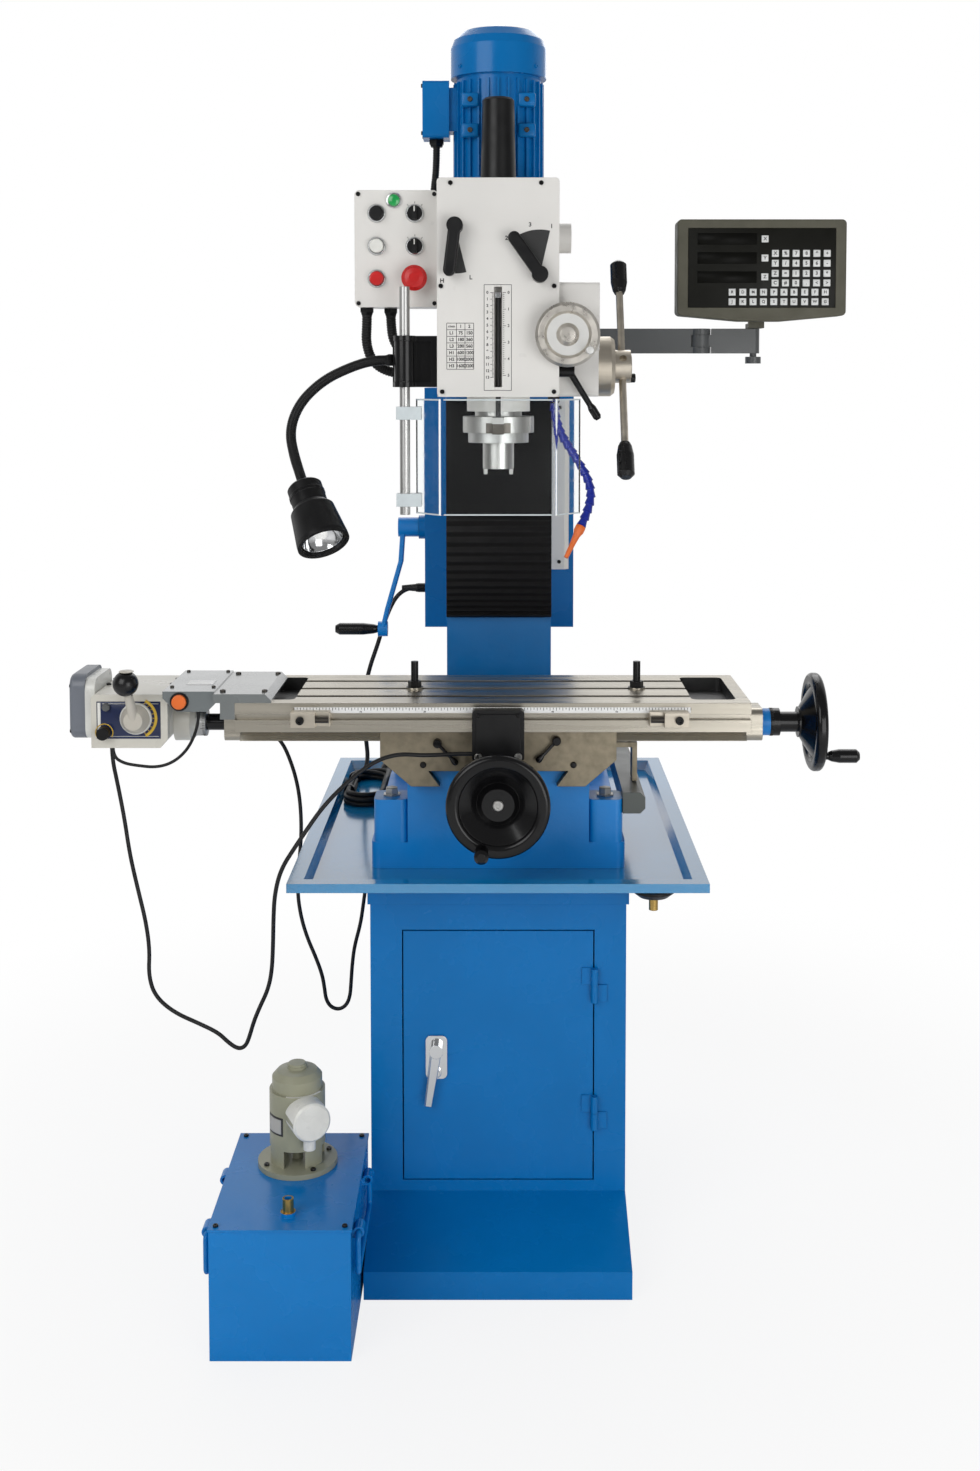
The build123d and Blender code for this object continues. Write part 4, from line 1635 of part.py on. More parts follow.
def readout_bracket():
    """Fixed readout arm on the column, with the column scale cover and the bed scale bar."""
    x0 = COLUMN_W / 2
    z1 = ARM_Z + ARM_H
    y0, y1 = ARM_Y - ARM_T / 2, ARM_Y + ARM_T / 2
    arm = block(x0, x0 + ARM_PLATE_T, y0, y0 + ARM_PLATE_L, ARM_Z - ARM_PLATE_OVER, z1 + ARM_PLATE_OVER)
    arm += block(x0, ELBOW_X, y0, y1, ARM_Z, z1)
    arm -= rod_z(ELBOW_R + ELBOW_CLEAR, ARM_Z, z1, ELBOW_X, ARM_Y)
    ear = ARM_H / 4
    for z in (ARM_Z, z1 - ear):
        arm += rod_z(ELBOW_R, z, z + ear, ELBOW_X, ARM_Y)
        arm += block(ELBOW_X - ELBOW_R - 2 * ELBOW_CLEAR, ELBOW_X, y0, y1, z, z + ear)
    arm += rod_z(ELBOW_PIN_R, ARM_Z, z1, ELBOW_X, ARM_Y)
    wide, deep, high = COLUMN_SCALE
    y, z = COLUMN_FACE_Y + COLUMN_SCALE_BEHIND, BASE_TOP_Z + COLUMN_SCALE_UP
    cover = block(x0, x0 + wide, y, y + deep, z, z + high)
    cover = chamfer(cover.edges().filter_by(Axis.Z).group_by(Axis.X)[-1], SCALE_EDGE)
    wide, long, high = BED_SCALE
    bar_x = LUG_SPAN / 2
    y = BASE_FRONT_Y + BED_SCALE_IN
    bar = block(bar_x, bar_x + wide, y, y + long, BED_SCALE_Z, BED_SCALE_Z + high)
    bar = chamfer(bar.edges().filter_by(Axis.Y).group_by(Axis.X)[-1], SCALE_EDGE)
    return [arm, cover, bar]


def readout_arm():
    """Outer readout arm with the wrist pin and its clamp knob."""
    z1 = ARM_Z + ARM_H
    ear = ARM_H / 4 + WAY_GAP
    y0, y1 = ARM_Y - ARM_T / 2, ARM_Y + ARM_T / 2
    eye = rod_z(ELBOW_R, ARM_Z + ear, z1 - ear, ELBOW_X, ARM_Y)
    start = ELBOW_X + ELBOW_R + ELBOW_CLEAR
    eye += block(ELBOW_X, start, y0, y1, ARM_Z + ear, z1 - ear)
    eye -= rod_z(ELBOW_PIN_R + RUN_GAP, ARM_Z, z1, ELBOW_X, ARM_Y)
    arm = eye + block(start, WRIST_X, y0, y1, ARM_Z, z1) + rod_z(ARM_T / 2, ARM_Z, z1, WRIST_X, ARM_Y)
    arm += rod_z(ELBOW_PIN_R, z1, z1 + WAY_GAP + YOKE_T, WRIST_X, ARM_Y)
    knob_z = ARM_Z - ELBOW_PIN_R
    knob = rod_z(ARM_KNOB_R, ARM_Z - ARM_KNOB_H, knob_z, WRIST_X, ARM_Y) + rod_z(ELBOW_PIN_R, knob_z, ARM_Z,
                                                                                 WRIST_X, ARM_Y)
    return [arm, knob]


def readout_panel():
    """Readout display with its rear yoke on the wrist pin."""
    y1 = PANEL_FRONT_Y + PANEL_D
    x0, x1 = PANEL_X, PANEL_X + PANEL_W
    low, top = PANEL_Z + PANEL_CHIN, PANEL_Z + PANEL_H
    flat = PANEL_W / 8
    middle = (x0 + x1) / 2
    outline = [(x0, low), (middle - flat, PANEL_Z), (middle + flat, PANEL_Z), (x1, low), (x1, top), (x0, top)]
    panel = prism_y(outline, PANEL_FRONT_Y, y1)
    panel = fillet(panel.edges().filter_by(Axis.Y), PANEL_EDGE_R)
    panel = fillet(panel.edges().group_by(Axis.Y)[0], PANEL_FACE_R)
    panel -= block(x0 + PANEL_BEZEL, x1 - PANEL_BEZEL, PANEL_FRONT_Y, PANEL_FRONT_Y + PANEL_RECESS,
                   low + PANEL_BEZEL_LOW, top - PANEL_BEZEL_TOP)
    z0 = ARM_Z + ARM_H + WAY_GAP
    half = YOKE_W / 2
    yoke = block(WRIST_X - half, WRIST_X + half, y1, ARM_Y, z0, z0 + YOKE_T)
    yoke += rod_z(half, z0, z0 + YOKE_T, WRIST_X, ARM_Y)
    yoke -= rod_z(ELBOW_PIN_R + RUN_GAP, z0, z0 + YOKE_T, WRIST_X, ARM_Y)
    yoke += block(WRIST_X - half, WRIST_X + half, y1, y1 + YOKE_T, z0, z0 + YOKE_H)
    return [panel, yoke]


def coolant_tank():
    """Sheet tank with a screwed lid, bail ears and the return nipple."""
    x1 = TANK_X + TANK_W
    y1 = TANK_Y + TANK_D
    shell = block(TANK_X, x1, TANK_Y, y1, 0, TANK_H)
    shell -= block(TANK_X + SHEET, x1 - SHEET, TANK_Y + SHEET, y1 - SHEET, SHEET, TANK_H)
    for side, x in ((-1, TANK_X - EAR_R), (1, x1 + EAR_R)):
        for y in ear_places():
            ear = rod_y(EAR_R, y, y + EAR_L, x, EAR_Z)
            ear += block(min(x, x - side * EAR_R), max(x, x - side * EAR_R), y, y + EAR_L, EAR_Z - EAR_R,
                         EAR_Z)
            shell += ear - rod_y(BAIL_R + FREE_GAP, y, y + EAR_L, x, EAR_Z)
    lid = block(TANK_X - LID_OVER, x1 + LID_OVER, TANK_Y - LID_OVER, y1 + LID_OVER, TANK_H, TANK_TOP_Z)
    bore = OUTLET_R - OUTLET_WALL
    collar_r, collar_h = OUTLET_COLLAR
    outlet = turned([(bore, 0), (collar_r, 0), (collar_r, collar_h), (OUTLET_R, collar_h),
                     (OUTLET_R, OUTLET_H), (bore, OUTLET_H)])
    return [shell, lid, Pos(TANK_X + OUTLET_IN_X, TANK_Y + OUTLET_IN_Y, TANK_TOP_Z) * outlet]


def ear_places():
    """The near edge of the two bail ears."""
    first = TANK_Y + EAR_INSET
    return (first, first + EAR_SPAN - EAR_L)


def bail(x):
    """Wire bail hanging from its two ears."""
    first, last = ear_places()
    end = last + EAR_L
    near, far, low = first - BAIL_SIDE, end + BAIL_SIDE, EAR_Z - BAIL_DROP
    points = [(x, first + BAIL_TAIL, EAR_Z), (x, near, EAR_Z), (x, near, low), (x, far, low), (x, far, EAR_Z),
              (x, end - BAIL_TAIL, EAR_Z)]
    path = FilletPolyline(*[Vector(*point) for point in points], radius=2 * BAIL_R)
    return [sweep(Plane(origin=path @ 0, z_dir=path % 0) * Circle(BAIL_R), path=path)]


def coolant_pump():
    """Immersion pump on its flange, with a windowed stand and a round terminal box."""
    stand_z = PUMP_FLANGE_T
    body_z = stand_z + PUMP_STAND_H
    dome_z = body_z + PUMP_BODY_H
    top = dome_z + PUMP_DOME_H
    flange = rod_z(PUMP_FLANGE_R, 0, stand_z, 0, 0)
    stand = rod_z(PUMP_R, stand_z, body_z, 0, 0) - rod_z(PUMP_R - PUMP_WALL, stand_z, body_z, 0, 0)
    for turn in (0, 90):
        window = block(-PUMP_WINDOW_W / 2, PUMP_WINDOW_W / 2, -PUMP_R, PUMP_R, stand_z,
                       body_z - PUMP_WINDOW_TOP)
        stand -= Rot(0, 0, turn) * window
    dome_r = PUMP_R * 0.9
    body = turned([(0, body_z), (PUMP_R, body_z), (PUMP_R, dome_z), (dome_r, dome_z),
                   (dome_r, top - PUMP_DOME_H * 0.45),
                   (dome_r * 0.8, top - PUMP_DOME_H * 0.2), (PUMP_CAP_R, top - PUMP_DOME_H * 0.12),
                   (PUMP_CAP_R, top), (0, top)])
    shaft = rod_z(PUMP_SHAFT_R, stand_z, body_z, 0, 0)
    reach = PUMP_R + PUMP_BOX_L
    box = turned([(0, 0), (PUMP_BOX_R, 0), (PUMP_BOX_R, reach * 0.96), (PUMP_BOX_R * 0.9, reach), (0, reach)])
    box = Rot(0, 0, PUMP_BOX_TURN) * facing_front(box, 0, 0, PUMP_BOX_UP)
    neck_r, neck_l = PUMP_NECK
    neck = rod_z(neck_r, PUMP_BOX_UP - PUMP_BOX_R - neck_l, PUMP_BOX_UP, 0, PUMP_BOX_L / 2 - reach)
    neck = Rot(0, 0, PUMP_BOX_TURN) * neck
    housing = flange + stand + body + shaft
    place = Pos(TANK_X + PUMP_IN_X, TANK_Y + PUMP_IN_Y, TANK_TOP_Z)
    return [place * housing, place * (box + neck - rod_z(PUMP_R, 0, top, 0, 0))]


def tray_coil():
    """The tied hank of mains cable on the tray floor, as its outer shape."""
    z = COIL_Z
    ends = [(COIL_X - COIL_HALF_W, COIL_Y - COIL_HALF_L), (COIL_X + COIL_HALF_W, COIL_Y - COIL_HALF_L),
            (COIL_X + COIL_HALF_W, COIL_Y + COIL_HALF_L), (COIL_X - COIL_HALF_W, COIL_Y + COIL_HALF_L)]
    path = FilletPolyline(*[Vector(x, y, z) for x, y in ends], radius=COIL_HALF_W * 0.96, close=True)
    return [sweep(Plane(origin=path @ 0, z_dir=path % 0) * Circle(COIL_R), path=path), mains_plug()]


def mains_plug():
    """Moulded plug that lies on the tray behind the hank, its pins away from it."""
    x = COIL_X + COIL_HALF_W
    z = TRAY_FLOOR_Z + PLUG_T / 2
    y = COIL_Y + COIL_HALF_L + COIL_R + PLUG_OFF + PLUG_NECK
    body = block(x - PLUG_W / 2, x + PLUG_W / 2, y, y + PLUG_L, z - PLUG_T / 2, z + PLUG_T / 2)
    body = fillet(body.edges().filter_by(Axis.Y), PLUG_EDGE_R)
    body += rod_y(PLUG_NECK_R, y - PLUG_NECK, y, x, z)
    for along, up in PIN_SPOTS:
        pin = block(x + along - PIN_W / 2, x + along + PIN_W / 2, y + PLUG_L, y + PLUG_L + PIN_L,
                    z + up - PIN_T / 2, z + up + PIN_T / 2)
        body += pin
    return body


def mains_cable():
    """Mains cable from the gland down to the hank on the tray."""
    start = (-HOUSING_SIDE_X - GLAND_L, GLAND_Y, GLAND_Z)
    end = (COIL_X, COIL_Y + COIL_HALF_L + COIL_R, COIL_Z)
    return [tube("mains cable", anchored(MAINS_ROUTE, start, end), MAINS_R)]


def feed_cord():
    """Cord that hangs from the power feed and rises to the limit switch."""
    start = (FEED_X - FEED_CORD_IN, FEED_FRONT_Y + FEED_CORD_BACK, FEED_BOTTOM_Z)
    end = (-SWITCH_W / 2, SADDLE_FRONT_Y - SWITCH_STANDOFF - SWITCH_T / 2, SWITCH_Z + SWITCH_T / 2)
    return [tube("feed cord", anchored(FEED_CORD_ROUTE, start, end), FEED_CORD_R)]


def feed_loop():
    """Short loop from the feed gearbox up to the switch box."""
    y = FEED_FRONT_Y + FEED_LOOP_BACK
    start = (FEED_X - FEED_LOOP_IN, y, FEED_BOTTOM_Z)
    end = (FEED_X + SWITCHBOX_L * 0.58, y, SWITCHBOX_TOP_Z - SWITCHBOX_H)
    return [tube("feed loop", anchored(FEED_LOOP_ROUTE, start, end), FEED_LOOP_R)]


def feed_supply_cord():
    """Supply cord from the back of the switch box to the cabinet side."""
    start = (FEED_X + FEED_SUPPLY_IN, SWITCHBOX_BACK_Y, PUSH_Z)
    end = (-CABINET_W / 2, FEED_SUPPLY_Y, FEED_SUPPLY_Z)
    return [tube("feed supply cord", anchored(FEED_SUPPLY_ROUTE, start, end), FEED_SUPPLY_R)]


NODES = {
    "cabinet_shell": cabinet_shell(),
    "tray": tray(),
    "base_casting": base_casting(),
    "column": column(),
    "electrical_box": electrical_box(),
    "readout_bracket": readout_bracket(),
    "coolant_tank": coolant_tank(),
    "coolant_pump": coolant_pump(),
    "mains_cable": mains_cable(),
    "tray_coil": tray_coil(),
    "elevating_screw": elevating_screw(),
    "elevating_crank": elevating_crank(),
    "cabinet_door": cabinet_door(),
    "lock_handle": lock_handle(),
    "head_carriage": head_carriage(),
    "column_bellows": column_bellows(),
    "head_housing": head_housing(),
    "front_plate": front_plate(),
    "motor": motor(),
    "drawbar_cap": drawbar_cap(),
    "control_box": control_box(),
    "guard_bracket": guard_bracket(),
    "work_lamp": work_lamp(),
    "coolant_hose": coolant_hose(),
    "control_conduits": control_conduits(),
    "quill": quill(),
    "spindle": spindle(),
    "downfeed_hub": downfeed_hub(),
    "fine_feed_wheel": fine_feed_wheel(),
    "quill_lock": quill_lock(),
    "range_lever": gear_lever(RANGE_X, RANGE_Z, RANGE_LEAN),
    "speed_lever": gear_lever(SPEED_X, SPEED_Z, -SPEED_LEAN),
    "black_button": push_button(0, 0),
    "white_button": push_button(0, 1),
    "stop_button": push_button(0, 2),
    "emergency_stop": emergency_stop(),
    "upper_selector": selector(0),
    "lower_selector": selector(1),
    "guard_barrel": guard_barrel(),
    "guard_rod": guard_rod(),
    "guard_screen": guard_screen(),
    "saddle": saddle(),
    "limit_switch": limit_switch(),
    "feed_cord": feed_cord(),
    "cross_handwheel": cross_handwheel(),
    "table": table(),
    "feed_housing": feed_housing(),
    "switch_box": switch_box(),
    "feed_loop": feed_loop(),
    "feed_supply_cord": feed_supply_cord(),
    "table_handwheel": table_handwheel(),
    "left_stop": table_stop(TABLE_LEFT_X + LEFT_STOP_IN, 1),
    "right_stop": table_stop(TABLE_RIGHT_X - RIGHT_STOP_IN, -1),
    "feed_lever": feed_lever(),
    "feed_knob": feed_knob(),
    "switch_button": switch_button(),
    "readout_arm": readout_arm(),
    "readout_panel": readout_panel(),
    "left_bail": bail(TANK_X - EAR_R),
    "right_bail": bail(TANK_X + TANK_W + EAR_R),
}

os.makedirs("parts", exist_ok=True)
for name, pieces in NODES.items():
    solids = [solid for piece in pieces for solid in piece.solids()]
    shape = solids[0] if len(solids) == 1 else Compound(children=solids)
    shape.label = name
    export_step(shape, f"parts/{name}.step")
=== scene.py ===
"""Looks of a geared-head mill drill: its finishes, cords, plates and fasteners, and the studio round it."""

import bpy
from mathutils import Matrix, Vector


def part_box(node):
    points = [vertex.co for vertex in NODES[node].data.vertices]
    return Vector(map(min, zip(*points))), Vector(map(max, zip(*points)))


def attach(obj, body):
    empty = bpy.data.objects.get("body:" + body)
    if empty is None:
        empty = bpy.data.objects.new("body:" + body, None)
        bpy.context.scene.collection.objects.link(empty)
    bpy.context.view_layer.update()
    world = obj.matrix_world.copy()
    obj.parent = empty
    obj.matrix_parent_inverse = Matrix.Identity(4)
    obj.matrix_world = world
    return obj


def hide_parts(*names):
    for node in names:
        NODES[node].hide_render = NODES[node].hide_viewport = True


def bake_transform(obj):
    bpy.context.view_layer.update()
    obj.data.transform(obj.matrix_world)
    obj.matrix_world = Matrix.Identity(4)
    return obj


bl_info = {
    "name": "Mill Drill Looks",
    "version": (1, 0, 0),
    "blender": (4, 5, 0),
    "location": "View3D > Sidebar > Mill Drill",
    "description": "Dresses the solid parts of a geared-head mill drill and lights them in a plain studio",
    "category": "Object",
}

import math

import bpy
from bpy.props import FloatProperty, FloatVectorProperty, PointerProperty
from mathutils import Matrix, Vector

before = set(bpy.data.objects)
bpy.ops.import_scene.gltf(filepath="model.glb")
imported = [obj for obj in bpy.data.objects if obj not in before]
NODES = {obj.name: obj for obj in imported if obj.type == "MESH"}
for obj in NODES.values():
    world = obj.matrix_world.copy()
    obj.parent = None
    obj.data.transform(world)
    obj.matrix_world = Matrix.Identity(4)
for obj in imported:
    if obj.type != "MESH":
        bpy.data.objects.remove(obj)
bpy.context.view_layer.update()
MM = 0.001

# Turns that bring a piece made upright, its face up, to face another way.
FACING = {
    "up": Matrix.Identity(4),
    "down": Matrix.Rotation(math.pi, 4, "X"),
    "front": Matrix.Rotation(math.pi / 2, 4, "X"),
    "back": Matrix.Rotation(-math.pi / 2, 4, "X"),
    "right": Matrix.Rotation(math.pi / 2, 4, "Y"),
    "left": Matrix.Rotation(-math.pi / 2, 4, "Y"),
}

# Cord routes in millimetres, from the place where each cord leaves the machine.
MAINS_ROUTE = (
    (-161, 492, 969), (-180, 492, 969), (-203, 491, 954), (-219, 488, 924), (-231, 484, 890), (-241, 479, 856),
    (-256, 474, 814), (-266, 474, 768), (-269, 486, 722), (-269, 500, 686), (-266, 506, 656), (-263, 501, 631),
    (-264, 485, 613), (-271, 464, 605.5), (-280, 442, 604.3), (-286, 418, 604.3))
FEED_CORD_ROUTE = (
    (-626, -110, 794), (-626, -110, 768), (-617, -114, 729), (-605, -120, 672), (-596, -125, 614),
    (-582, -133, 560), (-568, -140, 508), (-561, -147, 464), (-562, -154, 426), (-551, -160, 394),
    (-519, -170, 371), (-474, -183, 357), (-444, -191, 346), (-426, -198, 332), (-410, -204, 325),
    (-398, -209, 332), (-391, -213, 350), (-384, -217, 374), (-373, -224, 401), (-359, -233, 431), (-351, -243, 464),
    (-346, -262, 512), (-342, -284, 560), (-337, -304, 606), (-326, -314, 647), (-305, -314, 680),
    (-287, -307, 706), (-267, -299, 734), (-243, -288, 759), (-212, -270, 784), (-183, -254, 800),
    (-152, -242, 806), (-117, -232, 801), (-86, -221, 799.7), (-62, -215, 799.7), (-40.5, -215, 799.7))
FEED_LOOP_ROUTE = (
    (-618, -135, 794), (-618, -135, 777), (-602, -135, 766), (-579, -135, 762), (-550, -135, 759),
    (-524, -135, 766), (-502, -135, 784), (-488, -135, 808), (-480, -135, 836), (-480, -135, 860))
SUPPLY_ROUTE = (
    (-470, 0, 876), (-470, 22, 876), (-467, 45, 867), (-456, 66, 842), (-436, 80, 808), (-406, 90, 776),
    (-378, 94, 750), (-362, 90, 714), (-350, 80, 678), (-343, 66, 640), (-341, 56, 594), (-345, 51, 545),
    (-348, 50, 496), (-342, 50, 452), (-331, 50, 415), (-317, 50, 382), (-306, 50, 351), (-302, 50, 326),
    (-300, 50, 308), (-292, 50, 294), (-278, 50, 289), (-265, 50, 296), (-258, 50, 312), (-256, 50, 338),
    (-254, 50, 368), (-250, 50, 401), (-239, 50, 441), (-234, 50, 476), (-230, 50, 506), (-221, 50, 533),
    (-202, 50, 533))
CONDUIT_ROUTES = (
    ((-208, -125, 1494), (-208, -125, 1470), (-210, -125, 1438), (-200, -125, 1408), (-174, -125, 1392),
     (-140, -125, 1390), (-116, -125, 1395), (-94, -125, 1395)),
    ((-172, -100, 1494), (-172, -100, 1470), (-168, -100, 1440), (-148, -100, 1418), (-120, -100, 1412),
     (-94, -100, 1412)),
)
MOTOR_CONDUIT_ROUTE = (
    (-103, 20, 1778), (-103, 20, 1735), (-108, 18, 1689.9), (-110, -2, 1651.7), (-110, -40, 1639.6),
    (-110, -80, 1639.6))
HOSE_ROUTE = (
    (90, -60, 1354), (90, -60, 1330), (99, -60, 1294), (125, -62, 1254), (148, -68, 1218), (152, -80, 1180),
    (133, -95, 1143))
NECK_ROUTE = (
    (-164, -174, 1411), (-194, -174, 1411), (-230, -174, 1400), (-272, -175, 1380), (-308, -179, 1346),
    (-324, -188, 1305), (-316, -206, 1264), (-296, -238, 1218))

# The hank of mains cable on the tray: its middle, half the length of its straight legs, the half width and height of
# each turn, how far each turn has moved to the next one at the last four points of its back end, and the run to its
# plug.
HANK = (-247, 330)
HANK_LEG = 70
HANK_TURNS = ((36.7, 604.3), (28.0, 604.3), (28.0, 613.0), (32.3, 621.4), (36.7, 613.0))
HANK_SHIFTS = ((0, 0, 0.2, 0.6), (0, 0, 0.35, 0.75), (0, 0, 0.3, 0.7), (0, 0.45, 0.9, 1))
PLUG_RUN = ((-210.6, 382, 613), (-211.8, 404, 613), (-214.6, 424, 612.8), (-216, 441, 612.5), (-216, 458, 612.5))

# Faces, levels and axes that small pieces keep to, in millimetres.
PLATE_Y = -205
BOX_Y = -150
FEED_Y = -150
SADDLE_Y = -172
SWITCH_Y = -228
READOUT_Y = 131
KEY_TOP_Y = 128.85
HUB_FACE_X = 216.3
COWL_FLAT_Z = 1958
SUPPLY_CUT_Z = 640
DEPTH_ZERO = 1514
HUB_YZ = (-36, 1402)
WHEEL_XZ = (106, 1449)
CROSS_SCREW_Z = 733
TABLE_SCREW_YZ = (-77, 821)
QUILL_XY = (0, -95)
MOTOR_XY = (0, 20)
PUMP_XY = (-305, -304)
FEED_DIAL = (-577, FEED_Y, 842)
INCH = 25.4

# Radii of the cords and the hoses in millimetres.
MAINS_RADIUS = 4.25
LINK_RADIUS = 2.5
FEED_CORD_RADIUS = 3.25
CONDUIT_RADIUS = 8.0
MOTOR_CONDUIT_RADIUS = 6.0
HOSE_RADIUS = 8.0


# Property groups


def swatch(label, what, value):
    """A colour setting."""
    return FloatVectorProperty(name=label, description=what, default=value, subtype="COLOR", min=0, max=1)


def setting(label, what, value, **kind):
    """A number setting."""
    return FloatProperty(name=label, description=what, default=value, **kind)


class MillColours(bpy.types.PropertyGroup):
    """Colours of the machine's finishes."""

    blue: swatch("Blue paint", "Gloss paint of the stand, column and motor", (0.0, 0.155, 0.45))
    white: swatch("White paint", "Paint of the head, its front plate and the control box", (0.75, 0.735, 0.705))
    cream: swatch("Feed paint", "Paint of the power feed's gearbox", (0.62, 0.60, 0.535))
    black: swatch("Black", "Knobs, grips, levers and handwheels", (0.004, 0.004, 0.0045))
    iron: swatch("Machined iron", "Ground and milled iron of the table and saddle", (0.43, 0.40, 0.34))
    bright: swatch("Bright steel", "Turned steel of the spindle, spokes and dials", (0.46, 0.455, 0.44))
    grey: swatch("Grey paint", "Readout arms", (0.085, 0.09, 0.092))
    pump: swatch("Pump paint", "Grey green of the pump casting", (0.30, 0.30, 0.215))
    hose: swatch("Hose blue", "Segments of the coolant hose", (0.006, 0.02, 0.30))
    red: swatch("Stop red", "Stop buttons", (0.55, 0.012, 0.012))
    orange: swatch("Nozzle orange", "Nozzle of the coolant hose", (0.76, 0.15, 0.02))
    brass: swatch("Brass", "Hose nipples", (0.46, 0.31, 0.10))
    navy: swatch("Panel navy", "Front panel of the power feed", (0.006, 0.014, 0.06))
    gold: swatch("Panel gold", "Printed marks on the power feed's panel", (0.62, 0.40, 0.03))


class MillSizes(bpy.types.PropertyGroup):
    """Sizes of the small pieces that dress the solids."""

    tick: setting("Tick width", "Width of a scale mark", 0.0008, unit="LENGTH")
    key: setting("Key size", "Side of a readout key inside its rounded edge", 0.0105, unit="LENGTH")
    rib: setting("Conduit rib", "Pitch of the ribs on a conduit", 0.004, unit="LENGTH")
    edge: setting("Edge softness", "Radius that rounds the look of sharp edges", 0.0012, unit="LENGTH")


class StudioSettings(bpy.types.PropertyGroup):
    """Camera and lights of the studio."""

    lens: setting("Lens", "Focal length of the camera in millimetres", 40.14)
    tilt: setting("Tilt", "How far the camera looks down", math.radians(3.5), subtype="ANGLE")
    shift_x: setting("Shift across", "How far the picture is moved across", -0.0095)
    shift_y: setting("Shift up", "How far the picture is moved up", -0.1748)
    eye: FloatVectorProperty(name="Eye", description="Where the camera stands", default=(0.009, -2.735, 1.383),
                             subtype="XYZ", unit="LENGTH")
    key: setting("Key light", "Power of the large light at the left", 54, subtype="POWER")
    fill: setting("Fill light", "Power of the low light at the right", 40, subtype="POWER")
    room: setting("Room light", "Strength of the even light before the machine", 0.26)
    backdrop: setting("Backdrop light", "Strength of the white wall behind it", 0.9)
    floor: swatch("Floor", "Colour of the floor", (0.86, 0.86, 0.86))


# Nodes of the finishes


def put(tree, kind, sockets=(), **settings):
    """A new shader node with its settings, its socket values and its links."""
    made = tree.nodes.new("ShaderNode" + kind)
    for key, value in settings.items():
        setattr(made, key, value)
    for key, value in dict(sockets).items():
        if isinstance(value, bpy.types.NodeSocket):
            tree.links.new(value, made.inputs[key])
        else:
            made.inputs[key].default_value = value
    return made


def shader(name, rough, metal=0.0, **constants):
    """A new finish, its node tree and its main shader."""
    finish = bpy.data.materials.new(name)
    finish.use_nodes = True
    body = finish.node_tree.nodes["Principled BSDF"]
    body.inputs["Roughness"].default_value = rough
    body.inputs["Metallic"].default_value = metal
    for key, value in constants.items():
        body.inputs[key.replace("_", " ")].default_value = value
    return finish, finish.node_tree, body


def noise(tree, scale, low, high, stretch=(1, 1, 1), detail=3.0):
    """Noise over the piece, stretched along its axes and brought between two values."""
    where = put(tree, "TexCoord")
    place = put(tree, "Mapping", {"Vector": where.outputs["Object"], "Scale": stretch})
    grain = put(tree, "TexNoise", {"Vector": place.outputs[0], "Scale": scale, "Detail": detail})
    span = {"Value": grain.outputs[0], "From Min": 0.3, "From Max": 0.7, "To Min": low, "To Max": high}
    return put(tree, "MapRange", span).outputs[0]


def tinted(tree, body, colour, spread, scale, stretch=(1, 1, 1)):
    """Lets the colour drift a little darker and lighter over the piece."""
    dark = [c * (1 - spread) for c in colour]
    light = [min(1, c * (1 + spread)) for c in colour]
    mix = put(tree, "MixRGB", {"Fac": noise(tree, scale, 0, 1, stretch), "Color1": (*dark, 1), "Color2": (*light, 1)})
    tree.links.new(mix.outputs[0], body.inputs["Base Color"])
    return mix.outputs[0]


def relief(tree, body, height, strength, depth=0.0004):
    """A fine relief on faces whose edges look softly rounded."""
    soft = put(tree, "Bevel", {"Radius": bpy.context.scene.mill_sizes.edge}, samples=4)
    bump = put(tree, "Bump", {"Height": height, "Strength": strength, "Distance": depth, "Normal": soft.outputs[0]})
    tree.links.new(bump.outputs[0], body.inputs["Normal"])
    return soft


def worn(tree, body, colour, soft, bare, amount):
    """Lightens the colour along the edges, in patches, where the softened normal leaves the face's own."""
    face = put(tree, "NewGeometry")
    lean = put(tree, "VectorMath", {0: soft.outputs[0], 1: face.outputs["Normal"]}, operation="DOT_PRODUCT")
    span = {"Value": lean.outputs["Value"], "From Min": 0.97, "From Max": 0.75, "To Max": amount}
    edge = put(tree, "MapRange", span)
    patch = put(tree, "Math", {0: edge.outputs[0], 1: noise(tree, 55, 0, 1)}, operation="MULTIPLY")
    mix = put(tree, "MixRGB", {"Fac": patch.outputs[0], "Color1": colour, "Color2": (*bare, 1)})
    tree.links.new(mix.outputs[0], body.inputs["Base Color"])


def gloss_paint(name, colour, rough=0.24, spread=0.05, edge_lift=0.35, coat=0.25, dense=1.5, shine=0.4):
    """Sprayed gloss paint with a faint orange peel and lighter edges."""
    finish, tree, body = shader(name, rough, Coat_Weight=coat, Coat_Roughness=0.12, Coat_IOR=dense,
                                Specular_IOR_Level=shine)
    drift = tinted(tree, body, colour, spread, 7)
    tree.links.new(noise(tree, 14, rough * 0.8, rough * 1.35), body.inputs["Roughness"])
    soft = relief(tree, body, noise(tree, 420, 0, 1), 0.10)
    worn(tree, body, drift, soft, [min(1, c * 1.5 + 0.06) for c in colour], edge_lift)
    return finish


def sand_casting(name, colour, rough=0.36):
    """Gloss paint over a sand casting, its skin uneven."""
    finish, tree, body = shader(name, rough, Coat_Weight=0.15, Coat_Roughness=0.2, Specular_IOR_Level=0.4)
    drift = tinted(tree, body, colour, 0.07, 9)
    tree.links.new(noise(tree, 20, rough * 0.8, rough * 1.3), body.inputs["Roughness"])
    soft = relief(tree, body, noise(tree, 75, 0, 1, detail=6), 0.22, 0.0008)
    worn(tree, body, drift, soft, [min(1, c * 1.4 + 0.05) for c in colour], 0.3)
    return finish


